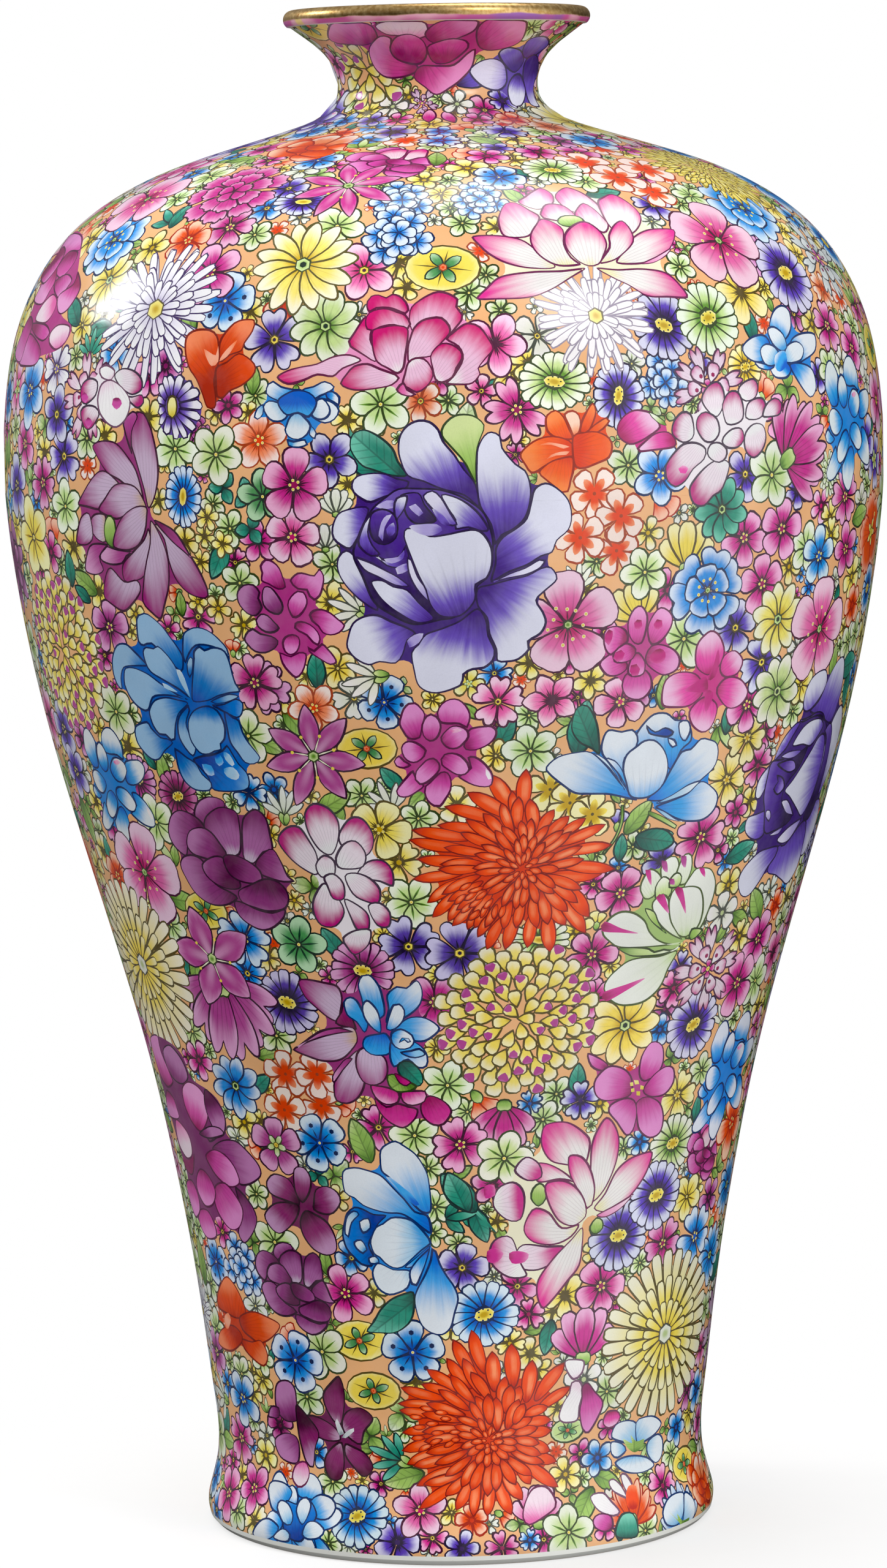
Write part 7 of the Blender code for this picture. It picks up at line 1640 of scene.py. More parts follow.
d herodark -8.5,-20.1 -8,15.9 | -19.7,11.2 -16.8,13.6 -13.2,15.9 -8,16 -2.2,15.6 3.6,13.5 8.5,9.9 10.4,5.7 11.2,0.9 10.6,-3.9 9.3,-8 7,-9.7 5.7,-14.5 0.9,-17.9 -2.6,-18.5 -9.7,-19.7 -15.5,-17.2 -20.2,-13.7 -23,-7.2 -25.4,-1.3 -24,3.4 -22.1,7.6
v heroviolet 9.9,4.4 -2.1,14.7 | -2.2,14.2 0.8,13.9 4.4,12.2 7.8,9.2 10.2,5 8.2,4.3 4.7,5.4 1.3,5.1 1.2,7.6 -0.5,10.5
e violetpale 1.2,6.4 -6.2,14.7 | -6.9,14.1 -4.4,15.4 -2,13.5 0.3,9.4 2,6.3 -1.1,6.3 -3.9,9.3 -6.2,12.2
d herodark -3.4,7 -12.7,14.2 | -12.7,14.2 -8,14.8 -6.3,11.8 -3.3,7.5 -8.1,6.4 -10.9,8.2 -12.1,11.2
n violetpale -6.9,8.8 -10.3,11.8 | -10.5,11.2 -8.8,11.9 -6.8,9.5 -7.9,8.7
n heroviolet 0,6.4 -3.9,10.6 | -4.5,10.6 -2.2,9.4 0.1,6.3 -2.2,6.8
n violetpale -13.9,11.8 -18.9,11.2 | -19,11.1 -16.2,12.8 -13.7,12.4 -14.4,10.9 -17.4,10.6
m heroviolet -13.9,7.1 -11.5,13.6 | -13.8,13.5 -10.7,14.1 -11.4,10.6 -13.2,8.2 -13.9,6.4 -14.6,10.6
d herodark -16.9,1.2 -16.8,10.6 | -20.5,9.5 -17.4,10.8 -14.3,9.5 -13.2,6.4 -13.9,2.9 -16.9,1.2 -19.8,2.3 -21.1,5.8
n violetpale -17.8,2.4 -15.7,9.2 | -17.6,7.2 -16.3,8.9 -14.9,9.2 -16.8,5.9 -17.4,2.3 -18.4,3.6
n heroviolet -15.7,3.6 -14.5,7.1 | -16.4,5.4 -14.5,7.1 -14.1,4.6 -15.7,3.5
m heroviolet -20.5,-1.7 -20.3,8.8 | -24.1,2.3 -22.2,7.1 -20.2,9 -21,4.7 -19.9,1.3 -18,-1.2 -20.5,-1.8 -23,-0.1
m heroviolet -11.7,-2.3 -19.3,-1.7 | -19.5,-1.1 -16.4,-2.4 -12.8,-1.1 -11.5,1.4 -10.4,-2.3 -12.2,-4.7 -16.5,-4.2
n violetpale -12.3,-2.3 -17,-2.3 | -17.1,-2.4 -13.5,-1.8 -11.9,-0.1 -12.2,-2.3 -15.2,-3.5
n violetpale -11.2,-4.6 -14.1,-5.2 | -14.2,-4.8 -11.3,-3.5 -11.1,-5.4 -13.7,-6.3
w violetpale -11.3,-9.4 -24.1,-1.8 | -24.8,-1.8 -21.1,-2.8 -17.7,-4.6 -13.5,-7 -10.6,-9.5 -14.2,-9.5 -18.9,-7.2 -22.5,-5.4
v heroviolet -4.4,-19.6 -20.1,-8.2 | -20.8,-8.2 -17.7,-7.8 -14.8,-9.4 -11.2,-10.3 -8.3,-13.5 -4.3,-17.9 -8.5,-19.3 -13.2,-17.2 -17.2,-14.3 -19.6,-11.3
w violetpale -4.9,-14.1 -10.8,-2.2 | -11.2,-1.7 -9.9,-2.4 -8.2,-7 -5.9,-10.6 -4.2,-14.9 -7.2,-12.4 -9.5,-9.5 -11,-5.9
w heroviolet 0.9,-19.1 -4,5.3 | -12,3.5 -11.1,5.7 -8.1,5.4 -5.2,3.7 -1.1,4.1 3.6,5.1 6.6,5.3 8.9,3.9 10.9,0.2 10.9,-4.5 9.3,-8 6.6,-9.4 6.4,-13.3 3.4,-16.9 0.3,-17.9 -3.2,-17.3 -5.6,-14.3 -6.6,-10.6 -8.3,-7 -10.1,-2.3
n violetpale -2.3,4.7 -9.8,5.9 | -10.5,6 -8.1,6.6 -3.4,6.6 -2,5 -4.6,3.7 -7.7,4.1
@ blue_wing -18.2 320.8
b heroblue 0.7,-11.4 0.7,5.2 | -0.8,-11.4 2.2,-11.2 3.4,-10.6 5,-9.2 5.4,-7 6.8,-5.4 9,-5 11,-3.4 11.6,1.2 10.2,2.4 10,3.8 9.2,4.6 7.2,5 4.4,3.6 2.2,3.2 -3.8,3.6 -6.2,5.2 -7.8,4.4 -8.2,3.6 -8.2,0.6 -10.6,-1.6 -11.2,-3.8 -7.8,-3.8 -6.2,-4.8 -4.2,-5.2 -2.8,-6.8 -2,-10.6
e bluepale -9,-1 -11.5,-4.2 | -11.8,-3.9 -11,-1.5 -9,-0.4 -9.1,-3.1 -10.7,-4.5
h heroblue -0.6,-0 -8.4,5.5 | -8.5,2.3 -8,4.8 -6.5,5.6 -4.2,4.2 -0.6,3.4 1.7,3.1 -0,-0.6 -3.7,-0.2 -6.5,0.8
h heroblue 0.5,-0.1 10.1,4.8 | 1.4,3.1 4.5,4.1 7.6,5.4 10.3,3.9 8.8,2.3 6.6,1.3 4.2,-0.2 1.5,-0.6
e heroblue 8.2,0.9 11.7,0.4 | 7.6,2.3 9.7,2.9 11.9,1.3 11.4,-1.2 10.1,-0.2 8.1,0.9
e bluepale -2.1,-0.6 -7.7,-4.5 | -9.2,-1.1 -7.6,0.5 -4.8,0.1 -2.1,-1.1 -2,-3.5 -3.7,-5 -6.4,-5.1 -8.3,-3.6
w bluepale 2.6,-1.1 11.5,-2.6 | 3.5,-1.1 5.6,1 8.1,0.9 10.3,-0.1 11.7,-2.2 10.4,-4.6 7.8,-5.6 5.2,-4.6 3.6,-3.1
w bluepale 3.1,-2 9.3,-1.8 | 5,-0.1 7.1,1 9.1,-1.1 9.3,-3.2 7.8,-4.6 5.7,-4.6 4,-3.2
w bluepale -1,-10.4 1.6,-11.6 | -2.7,-9.4 -0.6,-9.8 2.6,-9.5 3.4,-11 0.6,-11.8 -2.2,-11.2
e heroblue 3.6,-5.5 5.2,-9.7 | 3.9,-5.9 5.7,-7.9 5.3,-9.6 3.6,-8.5
e bluepale 0.5,-1.5 0,-9.6 | -2.7,-5.5 -1.7,-3.5 0.5,-2.4 2.7,-4 4.3,-6 3.2,-8.5 0.6,-9.8 -2.1,-9 -3.2,-7.1
d heroblue -0,0.4 0,-4.4 | -4.9,1 -0.7,3.1 3.5,2.5 5.8,-0.2 3.6,-4.1 0.5,-3.1 -2.6,-3.5 -4.9,-1.1
@ white_spray -46.2 322.5
b orchidtip -1,-8.9 -1,7.7 | -9.8,-8.9 -7.4,-8.5 -5.6,-6.5 -4.2,-6.1 -2.6,-6.3 -0.8,-7.5 1.6,-8.3 2.8,-8.3 4.8,-7.5 8,-3.5 10.8,-3.1 12.4,-1.9 12.2,-0.7 11.6,-0.1 11.6,2.7 11,4.5 9,5.9 6.8,6.7 4.6,6.9 1.4,6.1 -1.6,7.5 -4,7.7 -5.8,6.7 -6,5.9 -7.2,4.7 -9.6,4.3 -12,3.3 -13.2,1.7 -13.2,-0.3 -12.4,-2.3 -12.8,-5.3 -12,-7.1
w whitepink -1.4,4 -3.7,8 | -6.1,6.9 -2.9,8.1 0.7,6.5 -0.4,3.9 -4.7,4.4
t orchidtip 2.5,3.5 11.5,3.6 | 0.5,5.4 3.4,7.1 7.9,6.7 11.2,4.6 11.6,1.5 8.1,-0 4.3,1.4 1.6,3.4
t orchidtip -3.5,2.5 -13,-0.1 | -13.6,-0.2 -13,2.9 -9.7,4.6 -6,3.5 -6.3,-0.2 -10.5,-2.7 -13,-1.7
t orchidtip -3,-2.6 -9.6,-9.1 | -13.1,-4.2 -10.5,-2.6 -6.2,-3 -4.3,-5.2 -7.3,-8.7 -10,-9.2 -12.1,-7.3
t orchidtip 4.4,0 9.1,-3.4 | 4.4,0 8.1,-0.2 11.7,0.3 12.6,-1.9 10.5,-3.5 8.2,-2.5
w whitepink -2.1,3.5 2.1,-8.5 | -5.8,-0.2 -4.5,3 -0.7,4.1 4.3,2 7.6,-1.5 6.5,-6.1 2.8,-8.6 -1,-7.7 -4.4,-5.1 -5.6,-2.6
n magentarose 2.3,-1 2.5,-3.8 | 0.8,-1 3,-0.7 4.4,-2.2 2.5,-3.8 0.5,-2.5
n magentarose -11.8,0.7 -11.5,-2.1 | -13,-0.7 -11.8,0.7 -9.7,-0.6 -10.9,-2.2
n magentarose -9.4,-6.1 -9.1,-8.9 | -10.8,-7.1 -9.4,-5.9 -7.4,-7.1 -9.1,-8.8
@ violet_daisy -35.8 319.7
b daisyviolet 2,-8.2 2,8.2 | 1.4,-8.2 5.6,-7.8 6.8,-6.4 8.4,-5.4 8.4,-4.4 9.6,-2.6 9.8,0.6 9,1.6 8.8,4 7.4,4.8 6,6.6 4.4,6.8 2.8,8 0.4,7.8 -1.2,8.2 -2.8,7.6 -3.2,6.4 -4.4,5 -4,3.8 -4.4,1.6 -4,1.2 -4,-1.6 -3.4,-3 -3.6,-4.6 -1.4,-7.2 0.6,-7.4
e daisyviolet 0.3,1.9 -0.9,8.6 | -1.6,2.9 -2.5,6.9 -0.9,8.7 0.9,7 1.3,3
e daisyviolet 1.3,2 3,8.4 | 0.3,2.9 0.9,7.4 2.6,8.5 4.1,7.4 2.4,2.3
e daisyviolet 1.9,1.7 6.8,6.5 | 1.4,2.4 4.2,6.4 6.2,6.8 6.9,5.4 2.7,1.5
e daisyviolet 2.3,1 8.8,3 | 2,1.8 6.6,5 8.8,4.4 8.8,2.4 2.9,0.7
e daisyviolet 2.6,-0 9.7,0 | 2.4,0.9 8.4,2 9.8,1 9.6,-0.9 2.9,-0.6
e daisyviolet 2.3,-1 9.2,-3 | 2.5,-0.4 8.5,-1.2 9.8,-2.4 8.6,-3.9 2.5,-1.6
e daisyviolet 1.8,-1.7 7.8,-6.2 | 2.4,-1.3 7.4,-3.9 8.6,-5.6 7.2,-6.8 1.6,-2.4
e daisyviolet 1.2,-2.3 5.1,-8.2 | 1.7,-2 5.6,-6.5 5.9,-8.1 4.3,-8.5 0.7,-2.8
e daisyviolet 0.6,-2.5 2,-8.4 | 1.1,-2.4 3.1,-6.9 2.6,-8.6 1.2,-8.5 -0.2,-3
e daisyviolet -0.4,-2.5 -1.6,-7.5 | 0.4,-2.8 0.1,-7 -1.3,-7.7 -2.6,-6.5 -1.2,-2.4
e daisyviolet -1.3,-1.5 -3.6,-5 | -1,-2.1 -2.7,-5 -4,-4.8 -3.7,-3 -1.9,-0.9
e daisyviolet -1.7,-0.5 -4.1,-2.1 | -1.6,-1.1 -3.6,-2.6 -4.5,-1.6 -3.9,-0 -1.9,0.1
e daisyviolet -1.8,0.7 -4.9,2 | -1.7,0 -4.3,0.6 -5,1.9 -4.4,3.1 -1.9,1.5
e daisyviolet -1.6,1.7 -4.2,5.9 | -1.8,1 -4.6,3.9 -4.4,5.9 -3.1,6.1 -1.1,2.6
e daisyviolet -1,2.2 -2.9,7.9 | -1.1,2 -3.5,6.4 -3.1,8 -1.9,7.9 -0.1,2.8
w yellowcore 0.3,-2.5 -0.1,2.9 | -1.5,0.5 -0.9,2.6 0.3,3 1.5,2.5 2.2,-0 1.8,-2.3 0.6,-3.3 -0.9,-2.3
@ magenta_rose -1.4 229.8
b magentarose 0.4,-16 0.4,13 | -1.3,-16 0.3,-16 0.9,-15.4 2.9,-11.6 3.1,-9.4 4.3,-8.2 5.7,-8.2 7.7,-9.8 10.5,-10.8 12.9,-11 13.9,-9.6 13.9,-7.8 11.9,-4.4 10.1,-3.2 9.9,-1.2 10.7,-0.2 14.1,1.4 15.3,4 14.1,5.4 9.1,5.4 8.3,6.4 8.1,9.8 7.3,11.4 5.7,12.8 3.5,13 2.3,12.6 -0.7,9.2 -2.9,9.2 -5.1,11.8 -7.3,12 -8.3,11.4 -9.7,7.6 -9.5,5.6 -8.1,3.2 -8.1,1.8 -9.1,0.8 -9.3,-1.2 -10.9,-2.8 -11.1,-4.2 -10.7,-5 -8.5,-6.2 -8.3,-8 -10.7,-11.2 -10.9,-12.4 -10.3,-13.4 -8.1,-13.4 -6.1,-12 -4.7,-12 -3.5,-13 -2.9,-14.6
e magentarose -4.8,2.1 -8,12.1 | -9.8,8.3 -9,10.7 -7.5,12.3 -5.7,12.5 -4.1,11 -3.1,9 -3.9,6.3 -4.6,2.7 -7.6,2.3 -9.2,4.4 -10.1,6.4
e magentarose 2.9,4.3 4.7,13.2 | -0.2,9.6 1.1,12 3.4,13.3 5.7,13.1 7.5,11.5 8.6,9.1 8.4,6.8 7.7,5.1 5.5,6.2 2.3,6.3 0.4,7
e magentarose 6.9,0.8 15.4,3.8 | 7.6,4.5 9.6,5.5 12.1,5.7 14.1,5.6 15.5,4.1 15,2.1 13.4,0.5 10.8,-0.7 8.2,-1 6.5,0.1
e magentarose 6.2,-3.9 13.9,-11 | 7.5,-2.8 9.5,-2.5 11.7,-4 13.2,-5.9 14.2,-8 13.8,-10.7 11.9,-11.3 9,-10.7 6.4,-9.3 4.8,-7.9 6.1,-7.2 8.2,-5.7
n whitepink 12.6,-6.1 13.1,-9.2 | 12.2,-6.1 12.9,-6.8 13.7,-8.9 12.9,-9.2 12.2,-7.8
e magentarose 0.8,-6.1 -0.7,-16.5 | -2.5,-9.4 0.4,-6.6 2.4,-6.8 3.3,-8.9 3.2,-11.6 1.9,-14.2 0.3,-16.4 -1.5,-16.3 -3.3,-14.6 -4,-12.2 -3.7,-10.4
e magentarose -3,-7.3 -11.2,-13.5 | -6.6,-6 -5.6,-8.7 -3.7,-10.4 -5.7,-12.2 -8,-13.6 -10.4,-13.6 -11.3,-11.9 -10.1,-9.8 -8.5,-7.7
m magentarose -7.1,-3.9 -11.6,-4 | -11.7,-3.8 -10.3,-2 -8.7,-3.4 -7,-4.7 -9.1,-5.8 -11.1,-5.1
e magentarose -2.6,-0.7 -9.6,-1.4 | -9.7,-0 -8.6,1.7 -6.7,2.1 -4.5,1.1 -2.9,-0.7 -3.5,-2.4 -5.5,-4 -7.5,-4 -9.1,-2.6
e magentarose -1.3,1.4 -1.9,9.4 | -4.1,6.4 -3,8.8 -1.7,9.5 -0.1,8.7 1,6.6 0.8,4.3 -0.3,2.3 -2.2,1.7 -3.9,3.4
e magentarose 1.6,-0 8.3,4.5 | 0.6,2.9 2.3,5 3.9,6 5.9,5.9 7.8,4.8 8.2,2.7 6.7,0.8 5,-0.4 2.8,-0.4 1.2,0.9
n pinkpale 3.5,4.3 6.1,4.6 | 3.2,4.7 5.1,5.3 6.3,4.7 5.1,4.1 3.9,4
e magentarose 0.5,-2.1 8.4,-6.6 | 0.5,-3.1 1.5,-1.7 3.7,-1.3 6,-2.1 7.8,-4.2 8.3,-6 6.9,-7.6 4.6,-7.6 2.4,-6.2 0.7,-4.8
e magentarose -0.1,-3 -6.4,-10.1 | -3.4,-3.3 -1.3,-2.6 0.3,-4.1 0.4,-6.1 -1.1,-8.1 -3.1,-9.8 -5.1,-10.2 -6.3,-8.8 -6,-6.4 -4.6,-4.6
@ magenta_mate -20.7 264.5
b magentarose 1,-15.5 1,15.5 | 1.4,-15.5 2,-15.5 3.6,-14.1 5,-10.1 6,-9.3 7.4,-9.3 11.2,-11.9 13,-11.5 12,-9.1 10,-6.7 10,-5.3 11.2,-4.1 14.6,-3.5 15.6,-2.5 15.8,-1.5 11.4,2.1 9.8,2.5 8.8,3.7 8.8,5.1 10,6.1 11.2,8.9 11.4,11.5 10.6,12.7 9.2,11.5 4.6,12.1 2.8,10.7 1,10.7 -0,11.5 -0.6,13.5 -2,14.9 -3.2,15.5 -4.4,15.5 -5.8,13.9 -5.4,12.9 -5.8,9.5 -6.8,8.7 -11,8.7 -12.8,7.1 -13,4.9 -12.4,3.3 -11.6,2.3 -9.2,1.1 -8.2,-0.1 -8.4,-2.1 -11.2,-3.9 -12,-5.7 -11.4,-6.9 -9.2,-8.7 -6.4,-9.1 -5,-8.3 -3,-8.5 -2,-9.9 -2,-10.9 -1,-13.1
e magentarose -0.5,8.2 -4.2,16.1 | -6.1,14 -4.3,15.9 -2,15.2 -0.4,13.5 0.4,11.1 1,8.4 -1.2,7.7 -4,9.1 -6,10 -5.7,12.1
e magentarose 3.3,6.5 10.7,12.8 | 2.1,10.1 4.4,12.3 6.8,12.1 8.9,11.6 10.4,13.2 11.6,11.5 11.4,9 10.3,6 8.4,4.8 7.1,5.9 6.5,7.5 4.1,7.8
e magentarose 7,0.5 16.2,-2.1 | 6.6,1.1 7.9,2.5 10.3,2.8 12.7,1.7 14.6,-0 16.3,-1.8 14.6,-3.8 12.1,-4.4 10,-3.7 8.9,-2 7.2,-0.6
e magentarose 7.1,-6.4 13.3,-12.2 | 5.6,-7.1 7.3,-8.1 9.6,-6.3 11.2,-7.8 12.7,-9.8 13.3,-11.6 11.4,-12.3 9.4,-11.2 7.9,-10.2 5.8,-8.7
e magentarose 1.1,-7.1 1.7,-15.9 | -2.4,-8.8 -1.3,-9.1 0.8,-9.8 3.1,-8.7 5.2,-9.1 4.9,-11.5 3.7,-14.3 1.7,-15.9 -0.4,-14.3 -2,-11.9
e plumrose -2.4,-5.7 -12.7,-5.3 | -12.4,-5.4 -11,-3.2 -9.4,-2.4 -7.2,-3.8 -4.3,-4.4 -2.3,-5.8 -3.3,-7.8 -6.4,-9.3 -9.4,-9 -11.4,-7.3
e plumrose -6.3,3.7 -13.5,5.9 | -13.1,7.2 -11.1,9 -8.1,9.1 -6.3,7 -6.8,5.4 -5.9,3 -8,0.6 -10.6,1.1 -12.7,3.2 -13.4,5.2
e plumrose -1,1.4 -4.8,8.8 | -6.1,6.3 -5.2,8.5 -3.3,8.5 -1.6,6.8 -0.2,4.4 -0.2,2.4 -1.7,1 -4.3,1.7 -6,3.6
e magentarose 2.4,0.1 5.1,7.8 | 0.9,3.7 2.1,6.1 4.1,7.6 5.8,7.3 6.7,5.1 6.2,3 4.3,0.7 2.1,0.3
e plumrose -1.8,-2.7 -8.4,0.3 | -8.5,-0.5 -6.8,1.4 -4.7,1 -3,-0.7 -1.6,-2.4 -3.2,-3.8 -5.8,-3.8 -8,-2.2
e magentarose 2.9,-1.6 9.1,-7 | 2.6,-1 4.4,-0.4 6.9,-1.3 8.8,-3.3 9.4,-5.4 8.5,-7.2 7.1,-6.4 5.5,-4.4 3.5,-3.4 2.3,-2.4
e magentarose 1.3,-4 0.8,-9.8 | -1.5,-6.4 -0.5,-4.6 1.7,-3.9 3.5,-4.7 3.7,-6.7 2.7,-8.8 0.8,-9.7 -0.9,-8.8
@ low_right 36.3 30.9
w whitepink -12.2,17.6 -13.8,22.5 | -15.8,22.7 -13.2,23.2 -9.7,22.3 -10.2,18.6 -12.8,17 -15,19.5
w whitepink -10.1,15 -15.8,5.4 | -13.5,16.5 -10.9,17 -9.2,13.7 -10.2,9.5 -10.7,5.4 -15.2,5.1 -16.7,7.1 -15.6,10.8 -13.9,13.6
m magentarose -9.4,14.9 -6.4,1.4 | -10.2,15.1 -8.2,16.1 -5.8,13.4 -2.7,9.9 -3.8,5.8 -6.9,1.4 -9.2,2.8 -10.4,7.8 -10,11.4
m brightrose -0.5,6.7 -0.1,1.8 | -2.5,5.2 -1.2,7.1 2.1,6.9 3.7,4.8 2.4,2.6 -0.4,1.9 -2.4,3.3
e bluepale 10.1,-5.3 0.5,3.5 | 0.7,-0.8 2,2.7 5.9,3.4 9.8,2.1 11,-1.8 9.8,-4.7 4.8,-3
e bluepale 10.1,-4.7 18,2.8 | 9.6,2 12.5,3.1 17.3,2.5 21.2,-0.4 18.8,-3 14,-4.4 10.5,-4.3
e bluepale 11.4,-4.9 22.9,-8 | 14.9,-4.4 19.6,-3 22.3,-5.4 21.8,-9.6 18.5,-11.3 14.8,-8.1
e bluepale 6.4,-4.6 0.4,-4.8 | 0.8,-1.9 4.8,-3 6.6,-5.4 3.3,-7.2 0.9,-5.6
w bluepale 9.7,-7 9.4,-12.5 | 2.1,-8 4.9,-6.9 9.7,-7.1 15.1,-8.8 17.9,-11.7 12.9,-12.7 7.1,-11.9 3.6,-10.1
n leaf 9.7,-6.4 9.6,-2.2 | 5.1,-1.9 8.6,-3.7 7.8,-1.2 10.3,-3.5 13.6,-3.4 12.4,-5.7 9.8,-6.5 7,-4.8
e bluepale 23.8,-30.4 21,-22.4 | 16.9,-25 20.2,-21.9 24.8,-21.1 29.1,-22.1 28.1,-24.8 24.2,-29.8 18.2,-28.8
e bluepale 25,-30.6 35.2,-25.7 | 29.1,-22.3 33.2,-24.2 33.8,-27.7 31.8,-30.8 25.6,-31.2
n leaf 25.7,-31.5 23.3,-26.6 | 19.8,-25.1 23.5,-28.4 23.3,-26.6 25.8,-29.3 29.9,-29.6 26.9,-31.6
m teal 3.3,-29.2 4.1,-22.3 | -0.1,-25.1 2.6,-22.1 6.4,-22.6 7.4,-26.4 7,-29.4 2.5,-29.1 -0.4,-28
w whitepink 2.1,-22 -6.4,-16.1 | -6.5,-16.1 -2.3,-15.4 0.2,-18.2 2.4,-21.6 -0.1,-22.6 -4.5,-20.5
m magentarose -1.4,-25.4 -6,-21.9 | -6.7,-22.4 -4.5,-21 -0.7,-22.1 -0.8,-25.6 -3.5,-26.4 -6.4,-24.7
w whitepink 6.6,-18.7 0.2,-12.4 | -0.2,-12.9 1.7,-12.3 4.3,-14.8 5.8,-18.6 3.1,-17.5 0.6,-15.4
w whitepink 7.1,-18.2 4.7,-11.4 | 4,-11.8 6.2,-11.6 8.2,-14.9 8.2,-18.4 5.5,-16.8
n mumred 6.7,-21.1 7.3,-15.3 | 5.1,-17.9 6.7,-15.2 9.3,-15.7 9.2,-19.2 7.9,-21.7 5.2,-21.1
w pinkpale -20.9,-21.1 -22.4,-11.9 | -26.1,-20.5 -25.4,-16.4 -23.1,-12.4 -19.3,-12 -16.8,-15.1 -16.7,-18.1 -20.3,-20.7 -24.4,-22.6
@ low_left -40.7 25.2
e plumrose 1.2,10 -2,22.1 | -6.4,18.2 -4.5,21.3 -0.6,22.1 1.7,19.9 1.7,15.4 1.5,11 -3.1,9.9 -6.6,12.6
m plumrose -5.8,11.7 -10.1,12.2 | -10.6,10.3 -8.7,13.6 -5.3,13.6 -5.7,10.6 -8.6,10
m darkplum 1.2,10 6,-1.4 | 1.3,15.5 5.5,12.1 8.3,8 6.5,3.4 5.4,-2.1 2.7,-0.8 1.1,4.4 0.7,9.8
e plumrose 2.2,7.4 -9.1,-0.2 | -8.8,4 -4.3,6.6 0.1,6.1 1.1,2.8 0,-1.7 -4.5,-1.8 -7.7,-0.1
e pinkpale 1,-0.9 0.7,-8.3 | -2.5,-5.7 -0.9,-1.7 2.7,-0.6 4.1,-3.7 2.8,-7.1 -0,-8.3
e heroblue -2.5,-14.6 -10.7,-8 | -11.7,-10.2 -10.1,-7.7 -5.1,-7.5 -1.8,-9.7 -3.3,-13.2 -5.7,-16.2 -9.2,-15.2
e heroblue 4.9,-14.6 12.3,-9.6 | 4.8,-11.1 7.9,-8.9 11.8,-9.6 13.3,-12.3 11.3,-15.6 7.6,-16 5.4,-14.1
e heroblue -3.2,-21.5 -14.8,-22 | -15.8,-24 -12.8,-19.4 -9,-17.9 -4.7,-19.6 -5.9,-22.1 -10.3,-24.5
d bluedeep 1.4,-22.9 0.4,-11.5 | -3.9,-12.2 0.6,-12.6 4.5,-11 7.6,-14.9 5.7,-18.7 3.3,-22.7 -1.2,-22.3 -3.7,-19 -3.1,-15.3
w bluepale -2.2,-18.7 -6.3,-12.5 | -7,-14.8 -6,-12.4 -2.7,-12.9 -0.3,-15.9 -0.7,-18.6 -3.7,-18.5
w bluepale 2.4,-18.1 3.2,-10.1 | 0.2,-14.8 0.9,-11.4 3.3,-10.2 5.3,-11.9 4.8,-15.2 3,-18.1
w bluepale 3.4,-21 10.4,-18.1 | 3.2,-20.6 4.5,-17.1 7.7,-16.5 10.6,-18.6 9,-21 5.3,-21.9
w bluepale -0.6,-20 -6.3,-23.7 | -7.1,-22.8 -3.4,-19.8 -0.4,-21 -1.2,-23.4 -4.9,-23.8
@ pink_five_low 35.2 129.5
b magentarose 0,-14.7 0,12.9 | 6.8,-14.7 9.4,-14.5 10.8,-13.1 11.2,-9.5 9.8,-6.5 9.6,-4.7 10,-3.3 12,-1.7 13.4,0.3 13.4,1.7 12.6,4.1 9.6,5.3 8.4,6.5 7,11.5 4.2,12.9 2.2,12.5 0.6,10.1 -0.2,7.1 -1.4,5.9 -2.8,5.5 -4.6,5.7 -7.6,7.1 -10,7.3 -13,9.5 -16.8,11.3 -15.6,7.9 -13.6,6.1 -13.4,3.9 -13.8,2.3 -12.8,-0.7 -9.6,-2.3 -8.4,-3.5 -7.6,-6.5 -3.4,-10.5 -2.4,-12.3 -1.4,-12.9 -0.4,-12.9 1.2,-12.1 3,-12.3 4.6,-13.7
m magentarose -10.8,6.8 -16.9,10.7 | -17.2,11.6 -12.9,9.9 -10,7.4 -12.1,6 -15.7,7.6
e magentarose -0.1,0.7 3.8,13.5 | 0,4.2 0,9.5 2.9,13.3 7,11.8 8.4,6.9 6.7,3.4 2.3,1.8
e magentarose 1.4,-0.6 14.4,2.4 | 2.4,0.3 5.5,3.7 9.6,5.5 12.8,4.3 13.6,0.2 10.7,-3 5.8,-3.1 2.7,-1.6
e magentarose 2,-1.4 7.9,-16.4 | 0.5,-3.9 3.9,-2.5 9.1,-4.9 11.4,-9.6 10.6,-14 6.7,-15 2.6,-12.2 1,-7.6
e magentarose -0.2,-1.4 -6.8,-10.3 | -7.9,-3.5 -3.9,-2 -0.2,-3 1.3,-6.9 0.7,-11.9 -1.6,-13.2 -5.3,-9.1 -8.4,-5.8
e magentarose -0.9,0.4 -14.9,2.6 | -13.8,4.1 -10.2,7.6 -5,6.5 -1.8,3.1 -1.6,-1.5 -6.3,-2.6 -11.1,-2.2 -13.6,0.3
n yellowcore 0.1,-0.8 -0.4,2.6 | -1.3,2.7 0.2,2.5 0.7,1.4 -0.7,1.4
n yellowcore 0.1,-0.8 -0.4,2.6 | 1.2,1 2.4,0.6 2.4,-0.4 1.3,-0.2
n yellowcore 0.1,-0.8 -0.4,2.6 | 0.1,-0.6 1.4,-0.8 1.5,-2 0.3,-1.8
n yellowcore 0.1,-0.8 -0.4,2.6 | -1.9,0.3 -0.8,0.4 -0.6,-0.7 -1.6,-0.7
n yellowcore 0.1,-0.8 -0.4,2.6 | -2.5,2.1 -1.5,2.2 -1.2,1.1 -2.2,1.1
@ right_blue 47.7 331.3
